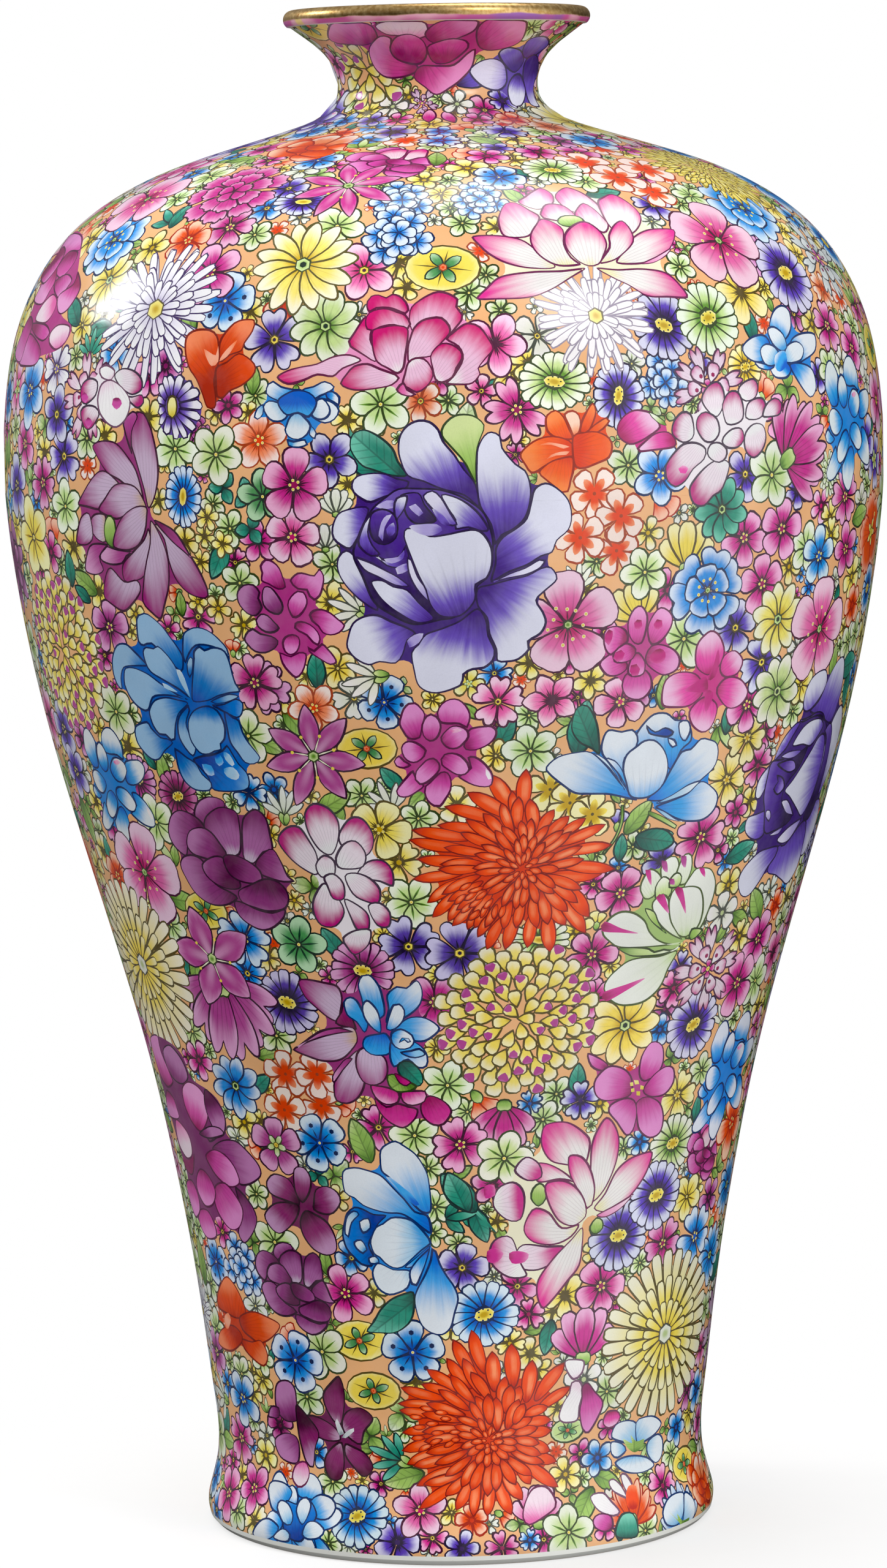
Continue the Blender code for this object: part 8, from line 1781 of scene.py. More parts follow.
b heroblue 4.8,-12.2 4.8,12 | 11.3,-12.2 13.5,-12.2 15.3,-10.2 15.5,-7.6 14.3,-5.2 14.3,-2.6 15.7,-1 17.7,0.2 18.7,2 18.9,3.4 18.1,4.4 17.1,4.6 11.7,4.4 10.3,4.8 8.9,6.4 8.9,10.6 8.5,11.2 6.7,12 5.3,12 3.1,11.2 0.7,9.4 -0.7,7 -3.1,4.6 -4.5,4.2 -7.9,4.2 -11.5,2.8 -13.1,1.6 -13.3,0.4 -12.9,-0.6 -10.3,-2.2 -8.5,-4.2 -4.5,-5 -1.5,-7.2 1.1,-7.4 3.7,-6.6 5.5,-6.8
e heroblue -0.3,1.8 4.5,12.1 | -1.4,6.3 1.9,10.8 6.3,12.4 9.2,10.7 8.3,6.2 5,3 0.6,1.8
e heroblue -2.8,0 -13.1,2.3 | -13.3,1.7 -9.1,4.1 -4.4,4.5 -2.3,1.9 -5.3,-2.4 -9.9,-2.8 -13.1,-0.8
e heroblue 4.5,-2.7 17.3,2.9 | 7.1,3 13.3,4.8 18.9,4.2 17.7,-0.3 12,-2.8 6.2,-4 3.7,-1.4
e heroblue 1.2,-3.2 -1.5,-6.9 | -3.9,-4.3 2.3,-2.9 4.9,-5.2 2.3,-7.6 -2.5,-7.2
e heroblue 5.2,-3.9 13.7,-11.6 | 4.1,-3.9 9.6,-3.4 14.8,-5.3 15.6,-10.3 12.2,-12.8 7.3,-9
e heroblue -4.4,-2.4 -9.2,-3.5 | -9.8,-2.5 -6.4,-3 -1.8,-3.8 -4.1,-5.2 -8.5,-4.5
w bluepale -1.5,-2.5 -5.3,1.4 | -7,0.2 -4.2,2 -0.6,1.2 0.7,-1.3 -1.9,-4.1 -6,-3.6
w bluepale 2.4,-2.6 8.8,1.7 | 2.2,-1.4 4.5,1.4 9.1,2.4 11.9,0.4 10,-2.8 5.2,-3.9 2.4,-3.3
w bluepale 2.7,0.5 -0.4,6.3 | -2.6,5.7 0.6,6.6 3.9,4.3 4.3,0.5 1.5,-0.4 -1.8,1.8
n heroblue 2.1,-3.9 -0.3,-1.3 | -1.2,-1.3 3,-0.2 3.1,-3.9 -0.3,-5.7 -1.9,-4.4
@ limb_rose -62.4 126.7
b plumrose -0.1,0 7.3,12 | -11.6,13.3 -1,13.8 5.5,10.7 7.7,4.3 14.4,1.6 18.5,-1.4 19.9,-6.8 17.7,-10.8 9.1,-11.6 3.9,-13.8 -4.2,-20.5 -12.2,-20.8 -14.7,-13.5 -16.7,-6.1 -17.4,2.7
e plumrose -5.1,0.4 -0.3,12.8 | -7.6,10.1 -1.6,12.9 2.6,11.5 5.5,8.4 6,4.1 1.4,1.6 -4,2.2 -7.3,5.1
e magentarose -11.3,-1.7 -11.6,13.3 | -17.4,12.3 -8.8,14.6 -9.1,9.8 -6.5,4.6 -5.3,1.2 -11.8,-1.3 -17.2,1.7 -18.5,6.4
e bellrose 1.8,-10.8 8.2,3.2 | 0.3,0.6 5,3.1 10.3,2 13,-1.8 11.7,-6.9 6.5,-11.6 2.2,-9.9 -0.2,-6.6 -0.9,-3.4
e plumrose 14.8,-1.7 17.7,-10.8 | 13.5,1.8 16.8,-0.2 19.4,-3.6 19.8,-7.4 17.5,-11.4 13.4,-10.3 11.6,-6.4 11.5,-2
e magentarose -10.2,-2.6 -10.2,-9.9 | -13.8,-2.2 -8.6,-3.2 -7.2,-6.6 -7.7,-9.7 -16.7,-10.8 -18.2,-7.5
e pinkpale -8.7,-10.2 -5.8,-20.8 | -10.8,-10.2 -4.7,-11.5 -1.9,-14.6 -2.8,-19.4 -7.6,-21.4 -12,-19.1 -13.2,-15.5
e plumrose 6.7,-12.4 13.7,-9.5 | 4.7,-12.1 11,-9.2 16.5,-9.3 17.5,-11.4 10.4,-13.1
@ limb_pink -67.9 351.0
b magentarose -0.1,-0 -7.2,17.4 | -18.8,-18.7 -14.4,-12 -13.7,-5.1 -17.2,3.5 -15.1,11.4 -23,20 -5,17.7 4.1,12.2 11.8,5.2 14.4,0.5 12.5,-6.2 21.4,-9.5 20.5,-14.1 15.6,-16.7 5.2,-18.9 1.3,-21.2 -11,-21.2
e magentarose -7.3,9 -7.2,17.4 | -26.7,19.6 -7.1,18.1 2.9,12.9 -3.2,11.9 -7.3,10 -6.9,8 -14.3,9.5 -23.7,15.5
d magentarose -2,12.2 -0.1,3.7 | -7.3,9 -6,12.3 1.7,12.3 5,9.4 4.3,5.5 0.5,3.5 -6.5,5.6
m magentarose -0.1,3.7 8,-2.8 | -0.4,3.7 5.1,5 10.5,3.3 9.6,0.1 10,-3 2.9,-1.3 -2.2,1.9
e bellrose -8.4,6.4 -11.5,-3.4 | -15.9,-3 -15.6,2.2 -14.2,6.6 -8.2,7.3 -2,3.1 -2.5,-0.7 -5.2,-4.4
e pinkpale 3.8,-1.8 -4.4,-8.8 | -6.3,-8 -4.2,-4.2 1.3,-1.1 6.6,-2.9 7.4,-6.5 3.9,-9.6 -3.8,-9.6
d magentarose -5.1,-10 7.9,-13.2 | -8.4,-9.7 4,-9.6 9.2,-12 5.8,-14.6 -2.6,-13
e magentarose -2.9,-12.3 -6.7,-20.7 | -13.5,-19.2 -12.2,-14.5 -6.8,-12.3 3.9,-15.6 5.9,-19 1.6,-21.5 -11.4,-21.5
e pinkpale 17.9,-16 15.1,-9.4 | 9.4,-12 13.5,-9.4 20.6,-9.5 20.8,-13.6 15.8,-16.5 10.3,-14.9
m magentarose -11.7,-8.2 -15.5,-18.9 | -22.2,-17.7 -18.6,-11.9 -13.5,-7.3 -6.8,-9.9 -8.6,-14.7 -12.2,-20.3
e bellrose 12.6,2.2 12.1,-5.6 | 6.2,-1.7 12.5,2.3 11.2,6 18.2,1.3 16.3,-5 11.2,-6.6
m magentarose -16,8.6 -11.3,2 | -26,6.1 -20.1,9.7 -19.7,14.6 -10.2,12.5 -7.5,8.2 -8.8,4.3 -14.2,1.9
"""


def read_heroes():
    found, here = {}, None
    for row in HERO_TABLE.strip().splitlines():
        words = row.split()
        if not words:
            continue
        if words[0] == "@":
            here = found[words[1]] = (float(words[2]), float(words[3]), [])
            continue
        spots = [tuple(map(float, word.split(","))) for word in words[2:4] + words[5:]]
        here[2].append((words[0], words[1], spots[0], spots[1], spots[2:]))
    return found


HEROES = read_heroes()

def shade_of(pal):
    """One even colour between the two darker ones of a palette."""
    return (tuple(0.5 * PALETTE[pal][0] + 0.5 * PALETTE[pal][1]),) * 4


def typed(m, name, size=1.0, swap=None):
    """Draws a flower's rows at a motif's place."""
    for run, pal, base, tip, spots in HEROES[name][2]:
        pal = (swap or {}).get(pal, pal)
        base, tip, spots = np.array(base) * size, np.array(tip) * size, np.array(spots) * size
        if run == "b":
            m.free(spots, base, tip, shade_of(pal), stops=(-0.2, 0.2, 2.0, 3.0), veins=0.0, line=0.0)
            continue
        if run == "p":
            m.tip(*base, *tip, spots[0][0], "lance", pal, stops=(0.0, 0.3, 3.0, 4.0), edge=0.0, bend=rng.uniform(-0.15, 0.15), style=3, line=0.34)
            continue
        style = dict(RUNS[run])
        if pal in ("teal", "leaf") and run != "m":
            style.update(style=1, veins=0.8, count=7)
        m.free(spots, base, tip, pal, **style)


def hero(name, theta=None, s=None, rot=0.0, flip=False, size=1.0, swap=None):
    home_theta, home_s, _ = HEROES[name]
    m = Motif(home_theta if theta is None else theta, home_s if s is None else s, rot, 1.0, flip)
    m.tint = np.ones(3)
    typed(m, name, size, swap)


FULL = {"plum": "plumrose", "magenta": "magentarose", "pink": "heropink", "violet": "heroviolet", "blue": "heroblue", "plumdeep": "plumdeep"}
PALE = {"plum": "plumpale", "magenta": "pinkedge", "pink": "pinkedge", "violet": "violetpale", "blue": "bluepale", "plumdeep": "plumpale", "orange": "orangew"}


def peony(m, R, pal, **more):
    typed(m, "plum_peony", R / 20.0, {"plumrose": FULL.get(pal, pal), "plumpale": PALE.get(pal, pal)})


def dahlia(m, R, pal, **more):
    typed(m, "magenta_rose", R / 13.0, {"magentarose": FULL.get(pal, pal)})


KINDS["peony"], KINDS["dahlia"] = peony, dahlia


# ---------------------------------------------------------------- where the flowers are
# kind, palette, angle, length up the wall, radius, then extras. Angles run right of the camera's side in degrees.
# The fringe at angle 20, length 342 takes the white palette painted paler as a highlight, standing for the key lamp's
# reflection on the shoulder.
LAYOUT = """
aster yelloww -19 358 13.5 n=14
five pink -10.3 356 8.5 centre=yellow
disc yellow .3 356.5 9.5
five yellow -4.5 351 4 centre=dark
star green 3.6 349 5
star green 6 354 4
star green 7.6 344 4
five orange -20.5 346 6
five violet -21.5 337 8 centre=yellow
aster green -14.8 340.5 9.5 n=9
five pink 6.6 335 8.5 centre=dark
five white 12 337 6 centre=yellow
fringe washed 20 342 15
star yellow 8.2 327 5
five yellow 10.6 330 5 centre=dark
daisy green 13.8 325 9.5 squash=.75
daisy violet 22 321 8.5 squash=.8 rot=90
five magenta 9 318 8 shape=heart
trefoil teal 5.5 324 3.5
five pink 4.7 323 4.5 centre=yellow
five orangew -2.7 320.7 5.5 centre=yellow
star green -7.6 320 8
five yellow -11.7 316 4 centre=dark
five yellow -9 314 4 centre=dark
five orangew -23 311 8
five violet -14 306 7.5 centre=yellow
five magenta -18.5 299.5 9
star darkgreen -22.7 296.5 7
leaf teal -10 307.5 8.2 rot=35
leaf green 2.6 314 6.5 rot=-12 stem=6
floret orangew 18.5 296 6.7
floret orangew 22 290 6.7
floret orangew 16.7 284.7 6.7
floret orangew 21.5 281 6.2
star green 23 303 6
bell white -13.3 295 3.8
bell white -14.8 286 3.8
five pink -19 286 7.5
five pink 15.4 262 13 centre=long shape=round
lily plum -18.5 227.5 14 n=7
disc yellow -11 229.7 7.8
dots blue -8.3 242.3 7
five orangew -17.8 240.7 7
five pink 6.5 242 6.5 centre=yellow
five pink 13.6 242 7.5 shape=point centre=dark
five pink 23.2 240.7 7
leaf teal -17 251 5
leaf teal 18 234 7.5 rot=-8
leaf teal -7.8 221 4.5 rot=40
star green 11 228.3 7.5
star yellow 6.3 227.3 4.5
five yellow 18.8 246.7 5 centre=dark
five yellow 10.5 252 4.2 centre=dark
five yellow 2.7 247 4.2 centre=green
star yellow -2 243 3.4
sprig white -11.8 267.3 7 rot=70
sprig white -10.3 248.7 7.5 rot=100
sprig white 16.5 273.5 5.5
sprig white -24 213 6.5
sprig white -8.5 215 6.5 rot=20
five plum -24.5 246 7
five yellow -22.3 243 4 centre=dark
leaf leaf -16.3 214.7 5.5 rot=-60
floret yellow 14 217.5 6.2
floret yellow 17 213.5 6.2
floret yellow 20.5 210 6.2
five blue -25 218 5
daisy blue -34 296.3 8 squash=.7 rot=90
dots blue -29.4 347.7 8.5
five magenta -33 356 9
fringe violetwhite -40.5 345.5 19
leaf leaf -34.5 343 5 rot=30
sprig teal -51.5 335 6
leaf teal -58 345 6 rot=50
orchid whitemagenta -51 322 11
five magenta -39.5 328 6
star green -50.7 311 6
star green -35 308.7 7.5
star green -29 307.3 8
five violet -58 317 8 centre=yellow
five violet -56 306 7.5 centre=yellow
five yellow -61.3 306.7 5 centre=dark
star green -56 292.7 7.5
star yellow -66.5 283.5 11
five magenta -62 298.7 7
five magenta -68 308.7 7
five blue -67 323 10
trefoil teal -28 298.7 4.6
trefoil teal -24.8 297 4.6
trefoil teal -24.5 288 4.6
five yellow -30.5 291 3.6 centre=dark
five yellow -28.5 284 3.6 centre=dark
five yellow -31 286 3.2 centre=dark
ruffled plum -31.9 313 4.5
five magenta -27.3 320 4.8
leaf leaf -24 326.7 4
five yellow -29 318 3.2 centre=dark
five yellow -24.5 318 3.2 centre=dark
aster yelloww -52 354 9
five plum -49.3 260.7 7.5
leaf teal -56.6 276 5
leaf teal -54.3 269.3 4 rot=60
redtip yellow -62.6 253 20
star green -51.3 237.3 8
daisy plum -49.6 218.5 7
leaf leaf -43.7 222.3 5
dahlia blue -56.8 217.5 14
five plum -63 228 5
five violet -69.5 230 8
five violet -69 218 8
five magenta -25.8 247.3 7.5
star green -27.8 232.7 7.5
bud orange -28.5 257.3 3
five yellow -26.5 262.7 4
five yellow -30 267 4
five yellow -33 268.7 3.4
five yellow -43.7 264.7 3.4
leaf leaf -35.7 268 3.5
leaf teal -52.6 228 4
five yellow -56.6 232 4
five magenta -61.2 280 6
five yellow 43.5 347.3 9 centre=dark
five orange 36 348 3.4 centre=yellow
daisy violet 54.8 352.7 11
daisy violet 29.4 339 9
daisy green 36.5 340.7 9.5
leaf teal 43.5 338.7 5
cluster blue 28.6 324 8
orchid whitemagenta 35 322 11
daisy yellow 41.3 327.3 6
five violet 34 329 4
five blue 27.3 300 8
five violet 40.3 299.3 7 centre=yellow
star green 45 298.7 9
aster teal 36.5 290.5 8.5 n=9
petunia magenta 51.4 306.7 11 rot=-60
five violet 50 294 5
five pink 55.5 289.5 5
five magenta 46.6 314 6
five magenta 62 291.3 7.5
five magenta 60.9 337.3 7
five magenta 67.5 330.7 7
dahlia blue 63.1 312.7 15
fringe green 57.4 298 6 n=18
five plum 53 341 5 centre=yellow
five yellow 56.8 338 5
five yellow 58 286 5
star green 34.3 355.3 5
star green 59 326 6
five violet 56 324 5
star green 25.5 275 7
bell yellow 31.4 281.3 7
five magenta 40.4 282.7 7.5
five magenta 47.2 284.3 8
star green 52.6 278.7 7
five blue 56 276 8
five blue 54.3 268 3.5
five yellow 58.6 281 5
five magenta 63.5 277 7.5
camellia blue 35 269.3 11
five magenta 29 270 6
bell yellow 24.3 267 6 rot=20
five plum 25.5 243 5 centre=dark
star green 31.9 256.7 8.5
five violet 40.2 258.7 7.5 centre=yellow
five violet 46 248.7 8 centre=yellow
five magenta 44.3 270 8
five yellow 49.3 274 5
aster yelloww 48.2 260 10 n=10
five pink 58.6 256 14 centre=long shape=round
aster green 50.3 240 10 n=9
star yellow 56 241 6
five magenta 44.3 237.3 7.5
leaf teal 41 234 4.5
five yellow 45.5 228 7
five magenta 49 229 5
leaf leaf 29.6 243 5
leaf leaf 65 246 5
five yellow 67 269 6
five orange 69 261 6
five yellow -10 207.3 8
five yellow -7.5 198 6
star green -6 186.7 7.5
five violetdark -6.8 174 8 centre=yellow
five violetdark 1.2 172 9 centre=yellow
star yellow -2.4 165.7 3.6
star yellow -10.6 177.3 3.4
daisy plum -14.5 167 8.5
star darkgreen -24.8 174 8
leaf teal -19 174.7 5 rot=30
daisy violetdark -28.7 157 9
five magenta -3 158 8
redtip yellow 11.2 152.7 20.2
daisy green 13.8 175 8 squash=.7
five yellow 19.8 177 5
five magenta 22.8 170 7.5
five magenta 26.5 187 7.5
five magenta 24 157 6
bud violet 24.6 209 4
leaf teal 25.5 200 4
aster yellow 30.8 148.5 11 n=10
star yellow -3 144.7 4
five yellow -25 193.7 3
five yellow -24.4 186.7 3
leaf leaf -16 212 4.5
five pink -54.3 191.3 14 centre=long shape=round
spiral yellow -65 162.7 24
lily plum -42.6 168 15 n=5
petunia plum -42 151.3 13 rot=180
disc yellow -41.5 182 7.5
five blue -34.8 174.7 8
star green -47.8 206.7 8
star green -32 147 6
five yellow -30.8 170 4
five yellow -26.5 205 3.4
star green -50.8 176.7 6
leaf teal -65 195 5
five orange -64 188.7 7
five magenta -60.5 204.7 6
leaf teal 31 201.7 6 rot=-80
leaf teal 49.2 195.3 6 rot=-70
five violet 33 195.3 6
five magenta 39.7 201 8.5
five magenta 46 207 5
daisy violet 46.7 146 9.5
orchid whitemagenta 47.5 162 12
five violet 40.5 163.7 4.5
five magenta 40 157.7 5.5
five plum 38.8 152 4.5
five blue 38.5 146 5
five magenta 61.3 168 8
five magenta 57.5 156 9
leaf leaf 57.4 178.7 6.5 rot=40
five yellow 48 186 5
five yellow 54.5 170 5
five white 48 178 6
five orange 65 176.7 5
star green 65 155 8
sprig white 55.5 146.7 6
bud yellow 23 180.7 3.5
leaf teal -7.5 139 4
star green -1.2 134 7
star green -7.5 119.7 7
star green 9.2 112.7 8
floret orangew -31.5 136 6.7
floret orangew -25 136.5 6.7
floret orangew -33 125.5 6.7
floret orangew -25 127.5 6.2
dots blue -26.3 116.7 8
leaf leaf -17.8 118 6.5 rot=20
five yellow -24 101 4
trefoil teal -27.5 107.3 4
five magenta 1 117 7.5
bell magenta 9 122 7 rot=180
leaf teal .5 103.3 7 rot=40 stem=8
five magenta 7 105 6
five violet 1 82 7 centre=yellow
daisy violet 34.8 87.8 9.5
daisy violet 43.9 97.7 9.5
five magenta 31.5 74 8
daisy blue 5.5 68.5 9
leaf teal -14.5 66 7.5 rot=-50
five violet 23.5 128 5.5
leaf teal 22.5 133.7 5
five blue 13.7 128 3.5
five yellow 27.5 126.7 5
peony plum -35.3 73.7 13
five magenta -24 74 8
five magenta -53 137 6
aster blue -43.9 131 9 n=9
five plum -36.2 115 8 centre=star
five yellow -43.4 120.7 5
star green -40.3 86.7 8
cluster blue -52 77.3 9
star green -43.4 100 5
leaf leaf -28 83 4
daisy green 46.7 112 8.5
dahlia blue 61.6 130 15
five yellow 45.8 126 7
five blue 37.6 114 4
peony magenta 59 107 9
five orange 70 113 10
star yellow 54 95.3 7
five blue 59.7 82.7 8.5
five magenta 47.7 83.3 7
leaf teal 52.5 120.7 4
five yellow 38 98 3.6
five yellow 29 84 3.6
five plum 64 93 6
disc yellow -21.7 60.7 8
disc yellow -19.2 46.7 7.5
dots blue -9.9 58 8.5
dots blue -38.5 53.3 8.5
star green -31 56.7 8
star green -36.2 43.3 6
sprig teal -15.4 28 7.5 rot=70
daisy blue -24 11.3 8.5
dahlia blue -41 7.5 13
star green -30.8 20 5
five pink -9.2 13.7 7.5
five violet -14.2 5 6.5
five violet 0 3.5 5
five magenta 8.8 3.3 4.5
bell pink 17.3 14 6
five blue 15 5 3
star green 24.2 6 7.5
disc green 25 34 5
five blue 33.2 25 5.4
five violet 69.8 305.5 8
five yelloww 25.7 285.3 4.5
five violetwhite -59.2 329.1 7
daisy plumdeep -41.9 214.7 7
five magenta -0.5 326.1 4.4
five plumdeep -45.5 33.6 5
five orange 2.3 11 4.6
five plum -37.1 330.2 6
five magenta 49 219.6 6
five blue -29 216.8 5 centre=dark
five violet 36.8 450.4 4.5
five plum 34.4 420.2 6
five magenta 23.2 158.2 5.5
five yellow 24.7 21.7 5
bell magenta 28 60.7 8
five white 28.5 48 6
five magenta 36 33.3 4
leaf teal 19.5 61 5 rot=170
five yellow -1.5 65 4
five yellow 11 60 4
five magenta 15 68 4.5
petunia blue 58 5.3 8 rot=20
spiral yellow 52 56.7 23
five blue 61 28 5.5
disc yellow 65 16.7 7
five magenta 53.6 13.3 6
petunia orange 41.6 11.3 7
leaf teal 37.4 5.3 4
five magenta 33.5 6 4
five white 36 12 4
peony orange 74 9 9
five plum 65 38 6
five blue 72 36 6
five blue -59 38.7 8
five magenta -55.8 14 7.5
five magenta -67.4 10 7.5
five magenta -62.4 26.7 7
five yellow -51.8 24 5
star green -58 46 6
star green -49 52 5
cluster blue -6 368 10 n=8
cluster blue -6 381 9 n=8
cluster blue 6.5 381 8 n=8
lily magenta -16 388.7 14 n=8
daisy violet -22.5 381 8 squash=.7
star green -15.3 370.7 8
five yellow -2.7 391 5
five yellow 5.5 398 6
dots blue 10.8 392 7
daisy green 22 396 8
floret orangew 31 401 7.8
floret orangew 34 391 7.8
floret orangew 43.5 396 7.8
floret orangew 38 383 6.7
peony magenta -9 404 12
five magenta 10.6 407 6
five magenta 23 410 6
five violet 14 414 5
five blue .6 422 5.5
peony orange -34 418 13
dots blue -27 406 7
dots blue 46 420 8
star green 3.3 371 5
five pink 43.7 363.3 14 centre=long shape=round
five violet 35.6 377 6 centre=yellow
camellia blue 55.8 375.3 12
star green 45.7 381 6
daisy plum 52 357 8
mum yellow 62 395 18
orchid greywhite 68 357 12
five magenta -33 371 7
five orange -39.5 366.5 7
ruffled magenta -38 387 14
five pink -60 384 13 centre=long shape=round
leaf teal -45 376 5
camellia blue -57 367 11
five yellow -65 367 6
five yellow -46 364 6
star green -50 396 7
single violet 22 457 5.5 rot=-70
redtip yellow -42 460 10
five yellow -16 452 3.5
orchid whiteplum -8.4 450 4.5 n=8
five white -24 449 4.5
five white 10 449.5 4.5
five magenta -18 442 4.5
single magenta -4 443.5 4
single magenta 5 442.5 4 rot=15
five magenta 17 441 4.5
five violet -30 442 5
five blue -45 442 5
five orange 33 441 5
five orange -34 431 5
five blue 1 431 5
five violet 22 430 6
five violet -15 431 6
star green -52 452 5
five pink 65 460 8
"""


OPTION_WORDS = {"shape", "centre", "core", "inner", "tip"}


def read_layout():
    for row in LAYOUT.strip().splitlines():
        words = row.split()
        extras = {}
        for word in words[5:]:
            key, value = word.split("=")
            extras[key] = value if key in OPTION_WORDS else int(value) if key == "n" else float(value)
        yield words[0], words[1], float(words[2]), float(words[3]), 1.06 * float(words[4]), extras


def draw(kind, pal, theta, s, radius, extras):
    own = dict(extras)
    m = Motif(theta, s, rot=own.pop("rot", 0.0), squash=own.pop("squash", 1.0), flip=bool(own.pop("flip", 0)))
    KINDS[kind](m, radius, pal, **own)


# ---------------------------------------------------------------- which parts of the sheet are already painted
CELL = 1.0
GRID_X = int(math.ceil(2 * math.pi * 100 / CELL))
GRID_Y = int(math.ceil(LENGTH / CELL))
taken = np.zeros((GRID_Y, GRID_X), bool)
CELL_S = (np.arange(GRID_Y) + 0.5) * CELL
CELL_T = ((np.arange(GRID_X) + 0.5) * CELL) / 100.0 - math.pi


def window(theta, s, radius):
    """Rows, wrapped columns and the cells within radius millimetres of a spot, theta in radians."""
    r = max(float(wall_radius(s)), 12.0)
    y0 = min(GRID_Y, max(0, int((s - radius) / CELL)))
    y1 = min(GRID_Y, max(y0, int((s + radius) / CELL) + 1))
    reach = radius / r * 100 / CELL
    c = (theta + math.pi) * 100 / CELL
    cols = np.arange(int(c - reach), int(c + reach) + 2)
    dy = CELL_S[y0:y1] - s
    dx = ((cols + 0.5) * CELL / 100.0 - math.pi - theta) * r
    return slice(y0, y1), cols % GRID_X, (dy[:, None] ** 2 + dx[None, :] ** 2) < radius**2


def take(theta, s, radius):
    rows, cols, inside = window(theta, s, radius)
    block = taken[rows][:, cols]
    taken[np.ix_(range(rows.start, rows.stop), cols)] = block | inside


def free_share(theta, s, radius):
    rows, cols, inside = window(theta, s, radius)
    block = taken[rows][:, cols]
    total = inside.sum()
    return 1.0 - (block & inside).sum() / total if total else 0.0


def mark_loop(place, flat):
    """Marks the cells inside a loop of millimetres round a place."""
    x, y = place.to_sheet(flat[:, 0], flat[:, 1])
    c0, c1 = int((x.min() + math.pi * 100) / CELL) - 1, int((x.max() + math.pi * 100) / CELL) + 2
    r0, r1 = max(0, int(y.min() / CELL) - 1), min(GRID_Y, int(y.max() / CELL) + 2)
    px = ((np.arange(c0, c1) + 0.5) * CELL - math.pi * 100)[None, :, None]
    py = CELL_S[r0:r1][:, None, None]
    ax, ay, bx, by = x, y, np.roll(x, -1), np.roll(y, -1)
    with np.errstate(divide="ignore", invalid="ignore"):
        crosses = ((ay > py) != (by > py)) & (px < ax + (py - ay) * (bx - ax) / (by - ay))
    inside = crosses.sum(2) % 2 == 1
    taken[np.ix_(range(r0, r1), np.arange(c0, c1) % GRID_X)] |= inside


def take_petals(first, outline_mark=0):
    """Marks every petal from number first on."""
    shapes = dict(outlines[outline_mark:])
    for number, p in enumerate(petals[first:], first):
        place = frames[p[0]]
        if number in shapes:
            mark_loop(place, shapes[number])
            continue
        bx, by, ax, ay, length, half = p[1:7]
        n = max(2, min(5, int(length / max(half, 1.0)) + 1))
        for f in np.linspace(0.2, 0.85, n):
            x, y = place.to_sheet(bx + ax * length * f, by + ay * length * f)
            take(float(x) / 100.0, float(y), max(0.9, 0.75 * half))


layers = []  # (depth, kind of call, arguments), drawn from the lowest depth up
BOTTOM, TOP = 1.3, LENGTH

for name in HEROES:
    layers.append((100 + (5 if name == "violet_peony" else 0), "hero", (name, None, None, 0.0, False, 1.0, None)))
for row in read_layout():
    depth = {"mum": 90, "leaf": 20 + row[4], "redtip": 60, "spiral": 62}.get(row[0], row[4] + 30)
    layers.append((depth, "kind", row))
# The far side: the same large flowers in other colours and turns.
for name, theta, s, rot, flip, size, swap in [
    ("violet_peony", 178, 262, -18, True, 1.0, None),
    ("blue_peony", 128, 292, 24, False, 0.95, None),
    ("plum_lotus", -108, 262, 200, False, 1.0, {"lotusplum": "lotuspink", "plum": "pink"}),
    ("pink_lotus_top", 158, 340, -12, True, 1.05, None),
    ("pink_lotus_low", -150, 104, 12, True, 1.0, {"lotuspink": "lotusplum", "pink": "plum"}),
    ("blue_magnolia", 150, 96, -20, True, 1.0, None),
    ("green_lotus", -142, 186, 30, False, 1.1, None),
    ("blue_camellia", 116, 196, 12, True, 1.0, {"heroblue": "heropink", "bluepale": "pinkpale", "bluedeep": "magentadeep"}),
    ("violet_peony_right", -134, 318, 25, True, 0.95, {"heroviolet": "heropink", "herodark": "magentadeep", "violetpale": "pinkpale"}),
    ("blue_camellia", -166, 226, -60, False, 1.0, None),
    ("plum_lotus_low", 172, 166, 30, True, 1.0, None),
    ("pink_lotus_top", -92, 366, 14, False, 0.95, None),
    ("blue_peony", 100, 128, 60, True, 0.9, {"heroblue": "heroviolet", "bluedeep": "herodark", "bluepale": "violetpale"}),
    ("pink_peony", -98, 152, 30, False, 1.05, None),
    ("magenta_rose", 142, 250, 70, False, 1.2, None),
    ("white_orchid", -158, 274, 40, True, 1.1, None),
    ("plum_peony", 118, 112, 20, True, 0.95, {"plumrose": "magentarose", "plumpale": "pinkedge"}),
    ("plum_peony", -122, 232, -40, True, 1.0, None),
    ("neck_violet", -110, 458, 10, True, 1.0, None),
    ("neck_peony", 180, 463, 0, True, 1.0, {"neckrose": "heroblue", "pinkpale": "bluepale", "whitepink": "pinkedge"}),
]:
    layers.append((95, "hero", (name, theta, s, rot, flip, size, swap)))
for row in [
    ("mum", "orange", 146, 44, 24, {"fx": 2.0}), ("mum", "orange", -172, 306, 22, {"fy": 3.0}), ("mum", "yellow", -118, 208, 20, {}),
    ("spiral", "yellow", 128, 150, 22, {}), ("mum", "orange", 100, 240, 21, {"fx": -2.0}), ("spiral", "yellow", -128, 48, 21, {}),
    ("redtip", "yellow", 152, 214, 19, {}), ("redtip", "yellow", -112, 108, 18, {}), ("peony", "plum", -168, 40, 19, {}),
    ("mum", "orange", 128, 356, 19, {}), ("peony", "magenta", 92, 310, 20, {}), ("hibiscus", "orange", -150, 150, 14, {}),
    ("ruffled", "plumdeep", 110, 62, 16, {}), ("peony", "violet", -152, 372, 17, {}), ("spiral", "yellow", 100, 386, 16, {}),
    ("mum", "yellow", -178, 386, 16, {}), ("dahlia", "blue", -94, 42, 15, {}), ("orchid", "whitemagenta", 122, 232, 16, {"n": 12}),
]:
    layers.append((90, "kind", row))

